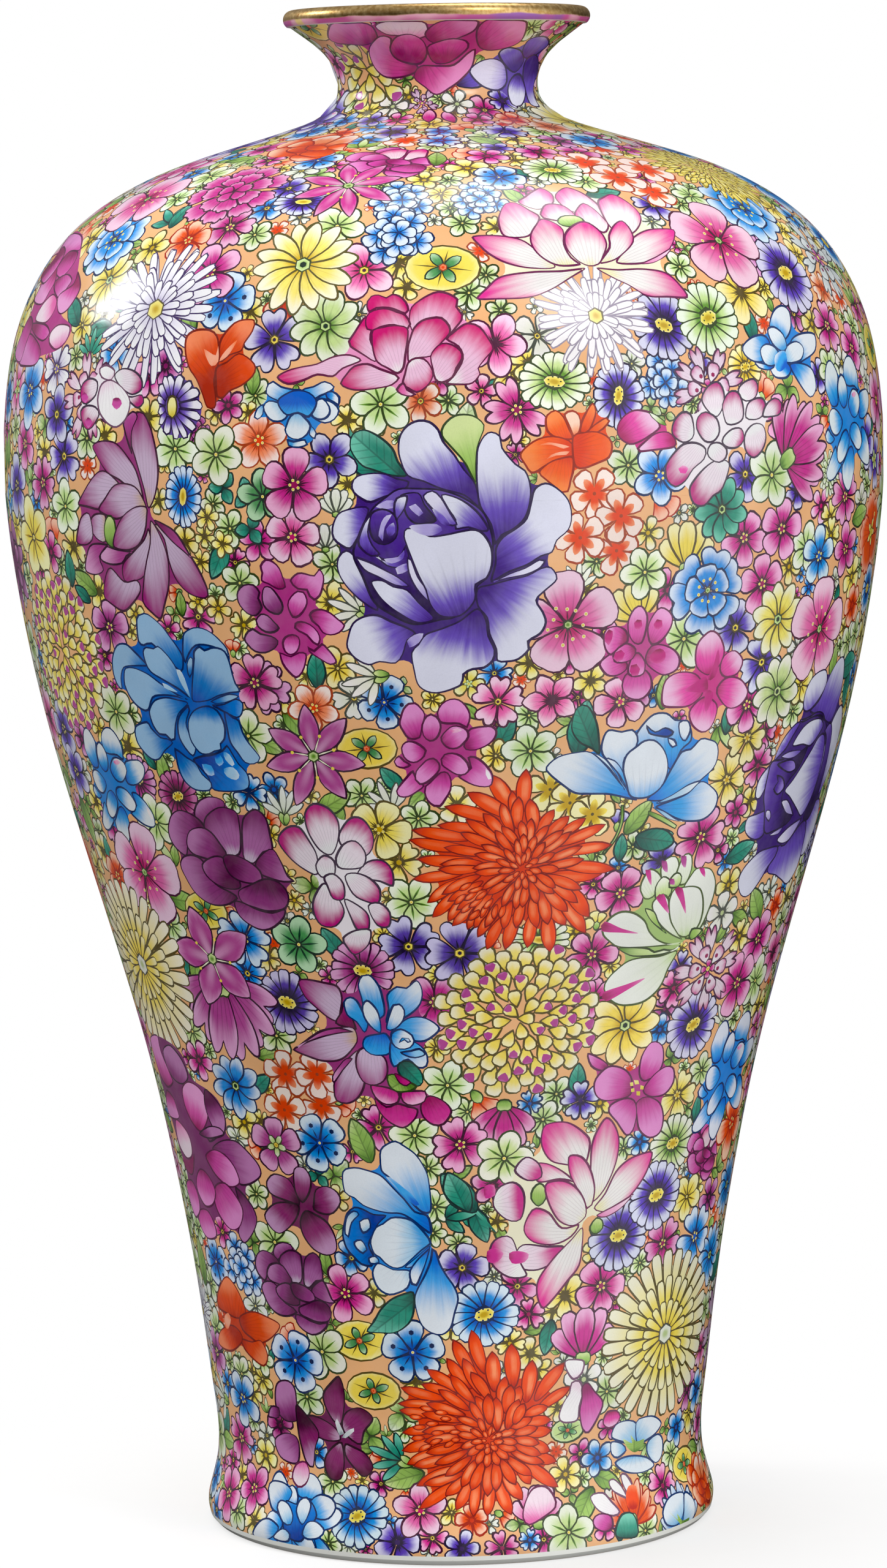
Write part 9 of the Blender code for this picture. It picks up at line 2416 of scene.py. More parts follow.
# Draw from the top down only to mark the sheet, so that gaps can be found; the final order is set afterwards.
drawn = []  # (depth, first stroke, last stroke)


def draw_layer(depth, how, row):
    first_petal, first_stroke, mark = len(petals), len(strokes), len(outlines)
    if how == "hero":
        hero(*row)
    else:
        draw(*row)
    take_petals(first_petal, mark)
    drawn.append((depth + 0.001 * len(drawn) * 0.01, first_stroke, len(strokes)))


for depth, how, row in layers:
    draw_layer(depth, how, row)

MIXED = ["magenta", "pink", "plum", "violet", "blue", "orangew", "yellow", "magenta", "pink", "blue", "violet"]
SIZES = [
    (15.0, 260, 0.88, ["dahlia", "five", "orchid", "hibiscus", "lily", "peony", "camellia", "aster", "ruffled", "cherry"]),
    (12.0, 420, 0.86, ["dahlia", "five", "orchid", "hibiscus", "lily", "camellia", "aster", "ruffled", "peony", "fringe"]),
    (9.5, 1100, 0.82, ["daisy", "five", "aster", "star", "lily", "cluster", "five", "disc", "daisy", "bell"]),
    (7.6, 2200, 0.77, ["five", "five", "star", "dots", "daisy", "leaf", "sprig", "five", "star", "cluster"]),
    (6.0, 4200, 0.7, ["five", "star", "five", "leaf", "five", "sprout", "star", "leaf"]),
]
for radius, tries, need, kinds in SIZES:
    for _ in range(tries):
        theta = rng.uniform(-180, 180)
        s = rng.uniform(BOTTOM + 2, TOP)
        if rng.random() > float(wall_radius(s)) / 122.0:
            continue
        if float(wall_radius(s)) < 2.6 * radius:
            continue
        if free_share(math.radians(theta), s, radius * 0.92) < need:
            continue
        kind = kinds[rng.integers(len(kinds))]
        pal = MIXED[rng.integers(len(MIXED))]
        extras = {}
        if kind in ("star", "sprig"):
            pal = ("green", "green", "yellow")[rng.integers(3)] if kind == "star" else "white"
        elif kind == "leaf" or kind == "sprout":
            pal = ("teal", "leaf")[rng.integers(2)]
        elif kind == "orchid":
            pal = ("whitemagenta", "whiteplum")[rng.integers(2)]
        elif kind == "dots":
            pal = "blue"
        elif kind == "disc":
            pal = "yellow"
        elif kind == "aster":
            pal = ("yelloww", "green", "teal", "blue")[rng.integers(4)]
        elif kind == "hibiscus":
            pal = ("orange", "pink", "magenta")[rng.integers(3)]
        elif kind == "fringe":
            pal = "violetwhite"
        if kind in ("leaf", "sprig", "sprout", "bell"):
            extras["rot"] = rng.uniform(0, 360)
        if kind == "five":
            extras["centre"] = ("stamen", "yellow", "dark", "star", "stamen")[rng.integers(5)]
            if radius > 11:
                extras["centre"] = ("long", "stamen")[rng.integers(2)]
        draw_layer(10 + radius, "kind", (kind, pal, theta, s, radius * rng.uniform(0.92, 1.05), extras))

# Small fillers in what is left, beneath everything.
TINY = [("star", "green"), ("five", "yellow"), ("leaf", "leaf"), ("star", "green"), ("five", "white"), ("star", "yellow"), ("trefoil", "leaf"),
        ("five", "magenta"), ("star", "green"), ("five", "yelloww"), ("leaf", "teal"), ("star", "white"), ("sprout", "leaf"), ("star", "green"),
        ("five", "yellow"), ("five", "blue"), ("trefoil", "green"), ("bud", "orange"), ("five", "magenta"), ("floret", "orangew")]
for radius, tries, need in [(4.8, 8000, 0.58), (3.7, 12000, 0.55), (2.8, 15000, 0.52), (2.0, 16000, 0.6)]:
    for _ in range(tries):
        theta = rng.uniform(-180, 180)
        s = rng.uniform(BOTTOM + 1, TOP)
        if free_share(math.radians(theta), s, radius * 0.8) < need:
            continue
        kind, pal = TINY[rng.integers(len(TINY))]
        extras = {"rot": rng.uniform(0, 360)}
        if kind == "five":
            extras["centre"] = "yellow" if pal not in ("yellow", "yelloww") else "dark"
        draw_layer(radius, "kind", (kind, pal, theta, s, radius * rng.uniform(1.1, 1.4), extras))

order = []
for depth, first, last in sorted(drawn, key=lambda row: row[0]):
    order.extend(range(first, last))
strokes = [strokes[i] for i in order]

# ---------------------------------------------------------------- flatten the paint into one sheet of triangles
HALF_TURN = math.pi * 100
painted = []  # (loop, petal, is line), in painting order, with copies across the back seam
for loop, petal_no, is_line in strokes:
    painted.append((loop, petal_no, is_line))
    if loop[:, 0].max() > HALF_TURN:
        painted.append((loop - (2 * HALF_TURN, 0), petal_no, is_line))
    if loop[:, 0].min() < -HALF_TURN:
        painted.append((loop + (2 * HALF_TURN, 0), petal_no, is_line))
painted = [row for row in painted if row[0][:, 1].max() > BOTTOM and row[0][:, 0].max() > -HALF_TURN and row[0][:, 0].min() < HALF_TURN]

LEVELS = [0.0, BOTTOM, *CUTS, LENGTH]  # lines round the vase that must stay edges
STRIPS = {0: 3, 1: 2, 2: 2, 3: 2, 4: 2}  # how many strips each section's skin is cut into for its texture
SPLITS = [-HALF_TURN / 2, -HALF_TURN / 3, HALF_TURN / 3, HALF_TURN / 2]


def frame_edges():
    """Points and edges of the sheet's border, the level lines and the strip lines."""
    points, edges = [], []

    def run(a, b, step):
        n = max(1, int(math.hypot(b[0] - a[0], b[1] - a[1]) / step))
        first = len(points)
        for f in np.linspace(0, 1, n + 1):
            points.append((a[0] + (b[0] - a[0]) * f, a[1] + (b[1] - a[1]) * f))
        edges.extend((first + i, first + i + 1) for i in range(n))

    for s in LEVELS:
        run((-HALF_TURN, s), (HALF_TURN, s), HALF_TURN / 90)
    for x in (-HALF_TURN, *SPLITS, HALF_TURN):
        run((x, 0.0), (x, LENGTH), 3.0)
    return points, edges


def steiner(step):
    rows = []
    n = int(LENGTH / step)
    for j in range(1, n):
        s = LENGTH * j / n
        around = max(24, int(math.tau * float(wall_radius(s)) / step))
        off = 0.5 * (j % 2)
        rows.append(np.stack([(np.arange(around) + off + 0.25) / around * 2 * HALF_TURN - HALF_TURN, np.full(around, s)], 1))
    return np.vstack(rows)


def triangulate(points, edges):
    verts, _, faces, *_ = delaunay_2d_cdt([Vector((float(x), float(y))) for x, y in points], edges, [], 0, 1e-4, False)
    v = np.array([(p.x, p.y) for p in verts])
    f = np.array([face[:3] for face in faces if len(face) == 3], np.int64)
    mid = v[f].mean(1)
    area = np.cross(v[f[:, 1]] - v[f[:, 0]], v[f[:, 2]] - v[f[:, 0]])
    keep = (np.abs(mid[:, 0]) < HALF_TURN) & (mid[:, 1] > 0) & (mid[:, 1] < LENGTH) & (np.abs(area) > 1e-7)
    f, area = f[keep], area[keep]
    f[area < 0] = f[area < 0][:, ::-1]
    return v, f


def label(v, f):
    """For each triangle the painted row that covers its middle last, or -1 for bare ground."""
    mid = v[f].mean(1)
    size = 4.0
    nx, ny = int(2 * HALF_TURN / size) + 1, int(LENGTH / size) + 1
    cx = np.clip(((mid[:, 0] + HALF_TURN) / size).astype(int), 0, nx - 1)
    cy = np.clip((mid[:, 1] / size).astype(int), 0, ny - 1)
    key = cy * nx + cx
    rank = np.argsort(key, kind="stable")
    starts = np.searchsorted(key[rank], np.arange(nx * ny + 1))
    mx, my = mid[rank, 0], mid[rank, 1]
    top = np.full(len(f), -1, np.int64)
    for number, (loop, _, _) in enumerate(painted):
        x0, y0 = loop.min(0)
        x1, y1 = loop.max(0)
        a, b = max(0, int((x0 + HALF_TURN) / size)), min(nx - 1, int((x1 + HALF_TURN) / size))
        for row in range(max(0, int(y0 / size)), min(ny - 1, int(y1 / size)) + 1):
            lo, hi = starts[row * nx + a], starts[row * nx + b + 1]
            if hi <= lo:
                continue
            px, py = mx[lo:hi], my[lo:hi]
            near = np.nonzero((px > x0) & (px < x1) & (py > y0) & (py < y1))[0]
            if not len(near):
                continue
            px, py = px[near], py[near]
            ax, ay = loop[:, 0][:, None], loop[:, 1][:, None]
            bx, by = np.roll(loop[:, 0], -1)[:, None], np.roll(loop[:, 1], -1)[:, None]
            crosses = (ay > py) != (by > py)
            with np.errstate(divide="ignore", invalid="ignore"):
                where = ax + (py - ay) * (bx - ax) / (by - ay)
            inside = (crosses & (px < where)).sum(0) % 2 == 1
            top[lo + near[inside]] = number
    out = np.empty_like(top)
    out[rank] = top
    return out


def seen_edges(f, top):
    """Edges between triangles that show different paint."""
    half = np.vstack([f[:, [0, 1]], f[:, [1, 2]], f[:, [2, 0]]])
    owner = np.tile(np.arange(len(f)), 3)
    half.sort(1)
    key = half[:, 0] * (f.max() + 1) + half[:, 1]
    rank = np.argsort(key, kind="stable")
    key, half, owner = key[rank], half[rank], owner[rank]
    same = np.nonzero(key[1:] == key[:-1])[0]
    differ = top[owner[same]] != top[owner[same + 1]]
    return half[same[differ]]


def straighten(v, edges, off=0.022):
    """Takes out corners between two edges that are in one line."""
    for _ in range(3):
        ends = edges.ravel()
        count = np.bincount(ends, minlength=len(v))
        two = np.nonzero(count == 2)[0]
        slot_of = np.full(len(v), -1, np.int64)
        slot_of[two] = np.arange(len(two))
        nb = np.full((len(two), 2), -1, np.int64)
        which = np.full((len(two), 2), -1, np.int64)
        for side in (0, 1):
            here = slot_of[edges[:, side]]
            ok = np.nonzero(here >= 0)[0]
            first_free = nb[here[ok], 0] < 0
            # Two passes, so that both edges of a corner are stored.
            nb[here[ok[first_free]], 0] = edges[ok[first_free], 1 - side]
            which[here[ok[first_free]], 0] = ok[first_free]
            left = ok[which[here[ok], 0] != ok]
            nb[here[left], 1] = edges[left, 1 - side]
            which[here[left], 1] = left
        good = (nb >= 0).all(1) & (nb[:, 0] != nb[:, 1])
        a, b, p = v[nb[:, 0]], v[nb[:, 1]], v[two]
        d = b - a
        far = np.abs(d[:, 0] * (p[:, 1] - a[:, 1]) - d[:, 1] * (p[:, 0] - a[:, 0])) / np.maximum(np.hypot(d[:, 0], d[:, 1]), 1e-9)
        between = ((p - a) * (b - p)).sum(1) > 0
        drop = good & (far < off) & between
        # Never two neighbours in one round.
        marked = np.zeros(len(v), bool)
        marked[two[drop]] = True
        drop &= ~(marked[nb[:, 0]] & (nb[:, 0] < two)) & ~(marked[nb[:, 1]] & (nb[:, 1] < two))
        if not drop.any():
            break
        gone = np.zeros(len(edges), bool)
        gone[which[drop].ravel()] = True
        edges = np.vstack([edges[~gone], nb[drop]])
    return edges


def flatten():
    border, border_edges = frame_edges()
    points, edges = list(border), list(border_edges)
    for loop, _, _ in painted:
        first = len(points)
        points.extend(map(tuple, loop))
        n = len(loop)
        edges.extend((first + i, first + (i + 1) % n) for i in range(n))
    v, f = triangulate(points, edges)
    top = label(v, f)
    top[v[f].mean(1)[:, 1] < BOTTOM] = -2
    print("first pass", len(points), "->", len(f), "triangles")
    seen = straighten(v, seen_edges(f, top))
    used, packed = np.unique(seen.ravel(), return_inverse=True)
    packed = packed.reshape(-1, 2) + len(border)
    spread = steiner(4.2)
    points = np.vstack([np.array(border), v[used], spread])
    v, f = triangulate(points, border_edges + [tuple(map(int, e)) for e in packed])
    top = label(v, f)
    top[v[f].mean(1)[:, 1] < BOTTOM] = -2
    print("second pass", len(points), "->", len(f), "triangles")
    return v, f, top


began = time.time()
sheet_v, sheet_f, sheet_top = flatten()
print("petals", len(petals), "strokes", len(painted), "flatten", round(time.time() - began, 1))


# ---------------------------------------------------------------- materials
def principled(n, out, **values):
    shader = n.add("ShaderNodeBsdfPrincipled")
    for key, value in values.items():
        n.put(shader.inputs[key.replace("_", " ")], value)
    n.put(out.inputs["Surface"], shader.outputs[0])
    return shader


def enamel_material():
    found, n, out = new_material("painted_enamel")
    pc = n.attribute("pc").outputs["Vector"]
    pa = n.attribute("pa").outputs["Vector"]
    pb = n.attribute("pb").outputs["Vector"]
    pd = n.attribute("pd").outputs["Vector"]
    stops = n.attribute("pg")
    heart, middle, tip, ink = (n.attribute(key).outputs["Color"] for key in ("ca", "cb", "cc", "cl"))
    g0, g1, g2 = n.split(stops.outputs["Color"])
    g3 = stops.outputs["Alpha"]
    u, v, _ = n.split(pc)
    radial, edge, seed = n.split(pa)
    style, veins, count = n.split(pb)
    length, half, line = n.split(pd)
    side = n.math("ABSOLUTE", v)
    # How far along its own petal a spot is: straight, fanned from the base, or from the middle of a disc.
    from_middle = n.math("SQRT", n.math("ADD", n.math("MULTIPLY", v, v), n.math("POWER", n.math("ABSOLUTE", n.math("MULTIPLY_ADD", u, 2.0, -1.0)), 2.0)))
    round_ = n.math("GREATER_THAN", radial, 1.5)
    t = n.lerp(round_, u, from_middle)
    fan = n.math("DIVIDE", n.math("MULTIPLY", v, 0.7), n.math("ADD", u, 0.35))
    shift = n.math("MULTIPLY", seed, 37.0)
    brush = n.noise(n.vec(n.math("MULTIPLY", fan, n.math("MULTIPLY_ADD", half, 0.55, 2.5)), n.math("MULTIPLY", u, 1.3), shift), 1.0, 2.0, 0.6)
    wash = n.noise(n.vec(n.math("MULTIPLY", v, 0.9), n.math("MULTIPLY", u, 1.4), n.math("ADD", shift, 5.0)), 1.1, 2.0, 0.55)
    t = n.math("ADD", t, n.math("MULTIPLY", n.math("SUBTRACT", brush, 0.5), 0.24))
    t = n.math("ADD", t, n.math("MULTIPLY", n.math("SUBTRACT", wash, 0.5), 0.2))
    t = n.math("ADD", t, n.math("MULTIPLY", edge, n.math("POWER", side, 3.0)))
    colour = n.mix(n.ramp(t, g0, g1), heart, middle)
    colour = n.mix(n.ramp(t, g2, g3), colour, tip)
    # Lance petals carry a pale streak down one side and a dark tip.
    sided = n.math("COMPARE", style, 3.0, 0.2)
    aside = n.math("ABSOLUTE", n.math("ADD", n.math("SUBTRACT", v, 0.12), n.math("MULTIPLY", n.math("SUBTRACT", brush, 0.5), 0.8)))
    streaked = n.math("MULTIPLY", n.ramp(aside, 0.1, 0.62, 0.9, 0.0), n.ramp(n.math("ABSOLUTE", n.math("SUBTRACT", u, n.math("MULTIPLY_ADD", seed, 0.22, 0.4))), 0.08, 0.34, 1.0, 0.0))
    streaked = n.math("MULTIPLY", streaked, n.math("MULTIPLY_ADD", n.math("FRACT", n.math("MULTIPLY", seed, 7.31)), 0.75, 0.25))
    colour = n.mix(n.math("MULTIPLY", sided, streaked), colour, tip)
    colour = n.mix(n.math("MULTIPLY", sided, n.ramp(u, 0.66, 1.0, 0.0, 0.9)), colour, heart)
    # Veins: fine lines fanned from the base, or a midrib with side ribs on leaves.
    comb = n.math("ABSOLUTE", n.math("SUBTRACT", n.math("FRACT", n.math("MULTIPLY_ADD", fan, count, 0.5)), 0.5))
    fine = n.math("MULTIPLY", n.ramp(comb, 0.0, 0.16, 1.0, 0.0), n.ramp(u, 0.35, 0.85, 1.0, 0.0))
    rib = n.ramp(n.math("MULTIPLY", side, half), 0.10, 0.34, 1.0, 0.0)
    ribs = n.math("SUBTRACT", n.math("MULTIPLY", u, count), n.math("MULTIPLY", side, 1.6))
    ribs = n.math("ABSOLUTE", n.math("SUBTRACT", n.math("FRACT", ribs), 0.5))
    ribs = n.math("MULTIPLY", n.ramp(ribs, 0.0, 0.15, 1.0, 0.0), n.ramp(side, 0.75, 1.0, 0.8, 0.0))
    leafy = n.math("COMPARE", style, 1.0, 0.2)
    streak = n.math("COMPARE", style, 2.0, 0.2)
    lines = n.lerp(leafy, fine, n.math("MAXIMUM", rib, ribs))
    lines = n.math("MULTIPLY", lines, n.math("MULTIPLY", veins, 0.6))
    colour = n.mix(n.math("MULTIPLY", lines, n.math("SUBTRACT", 1.0, streak)), colour, ink)
    pale = n.math("MULTIPLY", n.math("MULTIPLY", streak, n.ramp(side, 0.05, 0.5, 0.75, 0.0)), n.ramp(u, 0.1, 0.8, 1.0, 0.0))
    colour = n.mix(pale, colour, tip)
    # One half of a leaf is a little darker than the other.
    colour = n.mix(n.math("MULTIPLY", leafy, n.ramp(v, -0.05, 0.05, 0.0, 0.28)), colour, heart)
    # Enamel is never quite even: soft patches, fine speckle, and the line colour varies along the stroke.
    place = n.add("ShaderNodeTexCoord").outputs["Object"]
    patch = n.noise(place, 160.0, 3.0, 0.6)
    speck = n.noise(place, 2600.0, 2.0, 0.6)
    colour = n.mix(n.ramp(patch, 0.3, 0.7, 0.0, 0.035), colour, (0.9, 0.87, 0.83, 1))
    colour = n.mix(n.ramp(speck, 0.35, 0.75, 0.0, 0.10), colour, n.mix(0.5, colour, ink))
    bright = n.add("ShaderNodeHueSaturation")
    n.put(bright.inputs["Saturation"], 1.03)
    n.put(bright.inputs["Value"], n.ramp(n.noise(place, 45.0, 2.0), 0.3, 0.7, 0.93, 1.05))
    n.put(bright.inputs["Color"], colour)
    colour = bright.outputs[0]
    shader = principled(n, out, Base_Color=colour, IOR=1.5)
    n.put(shader.inputs["Roughness"], n.ramp(n.noise(place, 260.0, 3.0), 0.3, 0.7, 0.13, 0.24))
    # Fills stand a hair proud of the lines.
    height = n.math("MULTIPLY", n.ramp(side, 0.55, 1.0, 1.0, 0.0), n.math("SUBTRACT", 1.0, line))
    height = n.math("ADD", height, n.math("MULTIPLY", n.noise(place, 70.0, 2.0), 0.9))
    bump = n.add("ShaderNodeBump")
    n.put(bump.inputs["Strength"], 0.22)
    n.put(bump.inputs["Distance"], 0.00012)
    n.put(bump.inputs["Height"], height)
    n.put(shader.inputs["Normal"], bump.outputs[0])
    return found


def white_glaze_material():
    found, n, out = new_material("white_glaze")
    place = n.add("ShaderNodeTexCoord").outputs["Object"]
    cloud = n.noise(place, 22.0, 4.0, 0.6)
    fleck = n.noise(place, 900.0, 2.0, 0.7)
    colour = n.mix(cloud, (*srgb(226, 230, 226), 1), (*srgb(240, 240, 233), 1))
    colour = n.mix(n.ramp(fleck, 0.72, 0.8, 0.0, 0.6), colour, (*srgb(150, 130, 105), 1))
    shader = principled(n, out, Base_Color=colour, IOR=1.5)
    n.put(shader.inputs["Roughness"], n.ramp(cloud, 0.3, 0.7, 0.14, 0.26))
    bump = n.add("ShaderNodeBump")
    n.put(bump.inputs["Strength"], 0.2)
    n.put(bump.inputs["Distance"], 0.0004)
    n.put(bump.inputs["Height"], n.noise(place, 55.0, 3.0))
    n.put(shader.inputs["Normal"], bump.outputs[0])
    return found


def biscuit_material():
    found, n, out = new_material("bare_biscuit")
    place = n.add("ShaderNodeTexCoord").outputs["Object"]
    grain = n.noise(place, 1400.0, 5.0, 0.7)
    blotch = n.noise(place, 60.0, 4.0, 0.6)
    colour = n.mix(blotch, (*srgb(206, 196, 180), 1), (*srgb(232, 226, 214), 1))
    colour = n.mix(n.ramp(grain, 0.58, 0.75, 0.0, 0.7), colour, (*srgb(168, 142, 112), 1))
    shader = principled(n, out, Base_Color=colour)
    n.put(shader.inputs["Roughness"], n.ramp(grain, 0.3, 0.7, 0.72, 0.9))
    bump = n.add("ShaderNodeBump")
    n.put(bump.inputs["Strength"], 0.5)
    n.put(bump.inputs["Distance"], 0.0002)
    n.put(bump.inputs["Height"], grain)
    n.put(shader.inputs["Normal"], bump.outputs[0])
    return found


def slip_material():
    found, n, out = new_material("joint_slip_clay")
    place = n.add("ShaderNodeTexCoord").outputs["Object"]
    grain = n.noise(place, 700.0, 5.0, 0.7)
    blotch = n.noise(place, 90.0, 3.0, 0.6)
    colour = n.mix(blotch, (*srgb(205, 203, 194), 1), (*srgb(228, 228, 220), 1))
    colour = n.mix(n.ramp(grain, 0.5, 0.8, 0.0, 0.35), colour, (*srgb(160, 152, 138), 1))
    shader = principled(n, out, Base_Color=colour)
    n.put(shader.inputs["Roughness"], n.ramp(grain, 0.3, 0.7, 0.4, 0.62))
    bump = n.add("ShaderNodeBump")
    n.put(bump.inputs["Strength"], 0.4)
    n.put(bump.inputs["Distance"], 0.0003)
    n.put(bump.inputs["Height"], blotch)
    n.put(shader.inputs["Normal"], bump.outputs[0])
    return found


GOLD_FROM = 0.4170


def gold_material():
    found, n, out = new_material("burnished_gold")
    place = n.add("ShaderNodeTexCoord").outputs["Object"]
    wear = n.noise(place, 240.0, 5.0, 0.65)
    brushed = n.noise(place, 900.0, 3.0, 0.6)
    thin = n.ramp(wear, 0.62, 0.72)
    colour = n.mix(n.ramp(brushed, 0.3, 0.7), (*srgb(205, 160, 92), 1), (*srgb(236, 202, 140), 1))
    colour = n.mix(thin, colour, (*srgb(150, 98, 48), 1))
    # The gold stops short of the band's lower edge, where the ground's enamel colours run under it.
    _, _, high = n.split(place)
    limit = n.math("ADD", high, n.math("MULTIPLY", n.math("SUBTRACT", n.noise(place, 60.0, 3.0, 0.6), 0.5), 0.0016))
    covered = n.ramp(limit, GOLD_FROM - 0.0003, GOLD_FROM + 0.0003)
    patch = n.noise(place, 42.0, 2.0, 0.55)
    under = n.mix(n.ramp(patch, 0.36, 0.5), (*srgb(150, 92, 170), 1), (*srgb(196, 84, 150), 1))
    under = n.mix(n.ramp(patch, 0.5, 0.62), under, (*srgb(226, 170, 190), 1))
    under = n.mix(n.ramp(patch, 0.64, 0.68), under, (*srgb(232, 206, 132), 1))
    colour = n.mix(covered, under, colour)
    shader = principled(n, out, Base_Color=colour, IOR=1.5)
    n.put(shader.inputs["Metallic"], covered)
    n.put(shader.inputs["Roughness"], n.ramp(n.math("ADD", brushed, n.math("MULTIPLY", thin, 0.5)), 0.3, 1.1, 0.3, 0.55))
    bump = n.add("ShaderNodeBump")
    n.put(bump.inputs["Strength"], 0.12)
    n.put(bump.inputs["Distance"], 0.00015)
    n.put(bump.inputs["Height"], n.math("ADD", wear, brushed))
    n.put(shader.inputs["Normal"], bump.outputs[0])
    return found


ENAMEL, WHITE, BISCUIT, SLIP, GOLD = enamel_material(), white_glaze_material(), biscuit_material(), slip_material(), gold_material()


# ---------------------------------------------------------------- from sheet and profiles to pieces
def wrap(X, S):
    """Sheet spots as points in metres and outward normals."""
    a = X / 100.0
    r = np.minimum(np.interp(S, TABLE_S, TABLE_P[:, 1]), WIDEST)
    z = np.interp(S, TABLE_S, TABLE_P[:, 0])
    nz, nr = np.interp(S, TABLE_S, TABLE_N[:, 0]), np.interp(S, TABLE_S, TABLE_N[:, 1])
    sin, cos = np.sin(a), -np.cos(a)
    return np.stack([r * sin, r * cos, z], 1) * MM, np.stack([nr * sin, nr * cos, nz], 1)


def lathe(profile, turns=128):
    """A revolved profile of (z, r) in millimetres with a material number per step: points, triangles, corner normals, corner UV, materials."""
    zr = np.array([row[:2] for row in profile], float)
    mats = [row[2] for row in profile[1:]]
    step = np.diff(zr, axis=0)
    size = np.maximum(np.hypot(step[:, 0], step[:, 1]), 1e-9)
    t = step / size[:, None]
    normal = np.stack([-t[:, 1], t[:, 0]], 1)
    run = np.concatenate([[0], np.cumsum(size)]) / size.sum()
    a = np.linspace(-math.pi, math.pi, turns + 1)
    sin, cos = np.sin(a), -np.cos(a)
    points = np.concatenate([np.stack([r * sin, r * cos, np.full_like(a, z)], 1) for z, r in zr]) * MM
    tris, normals, uvs, materials = [], [], [], []
    w = turns + 1

    def turned(nz, nr, k):
        return np.array([nr * sin[k], nr * cos[k], nz])

    for i in range(len(zr) - 1):
        ends = []
        for j, other in ((i, i - 1), (i + 1, i + 1)):
            n = normal[i]
            if 0 <= other < len(normal) and float(normal[other] @ n) > 0.72:
                n = normal[i] + normal[other]
                n = n / np.hypot(*n)
            ends.append(n)
        low, high = ends
        for k in range(turns):
            p, q = i * w + k, (i + 1) * w + k
            corners = {
                p: (turned(*low, k), (a[k], run[i])), p + 1: (turned(*low, k + 1), (a[k + 1], run[i])),
                q: (turned(*high, k), (a[k], run[i + 1])), q + 1: (turned(*high, k + 1), (a[k + 1], run[i + 1])),
            }
            faces = []
            if zr[i, 1] > 1e-6:
                faces.append((p, p + 1, q + 1) if zr[i + 1, 1] > 1e-6 else (p, p + 1, q))
            if zr[i + 1, 1] > 1e-6:
                faces.append((p, q + 1, q))
            for face in faces:
                tris.append(face)
                normals.append([corners[c][0] for c in face])
                uvs.append([corners[c][1] for c in face])
                materials.append(mats[i])
    return points, np.array(tris), np.array(normals), np.array(uvs), np.array(materials)


def make_piece(name, nodes, materials, parts, attributes=None):
    """One mesh from parts of (points, triangles, corner normals, corner UV, material numbers)."""
    points, tris, normals, uvs, mats, offset = [], [], [], [], [], 0
    for p, t, nrm, uv, m in parts:
        points.append(p)
        tris.append(t + offset)
        normals.append(nrm)
        uvs.append(uv)
        mats.append(m)
        offset += len(p)
    points, tris = np.vstack(points), np.vstack(tris)
    normals, uvs, mats = np.vstack(normals), np.vstack(uvs), np.concatenate(mats)
    a, b, c = points[tris[:, 0]], points[tris[:, 1]], points[tris[:, 2]]
    facing = np.cross(b - a, c - a)
    turned = (facing * normals.mean(1)).sum(1) < 0
    tris[turned] = tris[turned][:, ::-1]
    normals[turned] = normals[turned][:, ::-1]
    uvs[turned] = uvs[turned][:, ::-1]
    mesh = bpy.data.meshes.new(name)
    mesh.vertices.add(len(points))
    mesh.vertices.foreach_set("co", points.astype(np.float32).ravel())
    mesh.loops.add(tris.size)
    mesh.loops.foreach_set("vertex_index", tris.astype(np.int32).ravel())
    mesh.polygons.add(len(tris))
    mesh.polygons.foreach_set("loop_start", np.arange(0, tris.size, 3, dtype=np.int32))
    mesh.polygons.foreach_set("material_index", mats.astype(np.int32))
    mesh.update(calc_edges=True)
    layer = mesh.uv_layers.new(name="OFBake")
    layer.data.foreach_set("uv", uvs.astype(np.float32).ravel())
    for key, (kind, domain, values, flips) in (attributes or {}).items():
        attr = mesh.attributes.new(key, kind, domain)
        width = 4 if kind == "FLOAT_COLOR" else 3
        count = len(mesh.polygons) if domain == "FACE" else len(mesh.loops)
        full = np.zeros((count, width), np.float32)
        if flips:
            values = values.copy()
            flip_rows = np.nonzero(turned[: len(values)])[0]
            values[flip_rows] = values[flip_rows][:, ::-1]
            values = values.reshape(-1, width)
        full[: len(values)] = values
        attr.data.foreach_set("color" if kind == "FLOAT_COLOR" else "vector", full.ravel())
    for material in materials:
        mesh.materials.append(material)
    mesh.polygons.foreach_set("use_smooth", np.ones(len(tris), bool))
    mesh.normals_split_custom_set(normals.reshape(-1, 3).astype(np.float32))
    piece = bpy.data.objects.new(name, mesh)
    bpy.context.scene.collection.objects.link(piece)
    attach(piece, "root")
    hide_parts(*nodes)
    return piece


PETALS = np.array(petals)
FRAMES = np.array([(f.theta, f.s, f.r, f.k) for f in frames])
ROW_PETAL = np.array([row[1] for row in painted])
ROW_LINE = np.array([row[2] for row in painted])


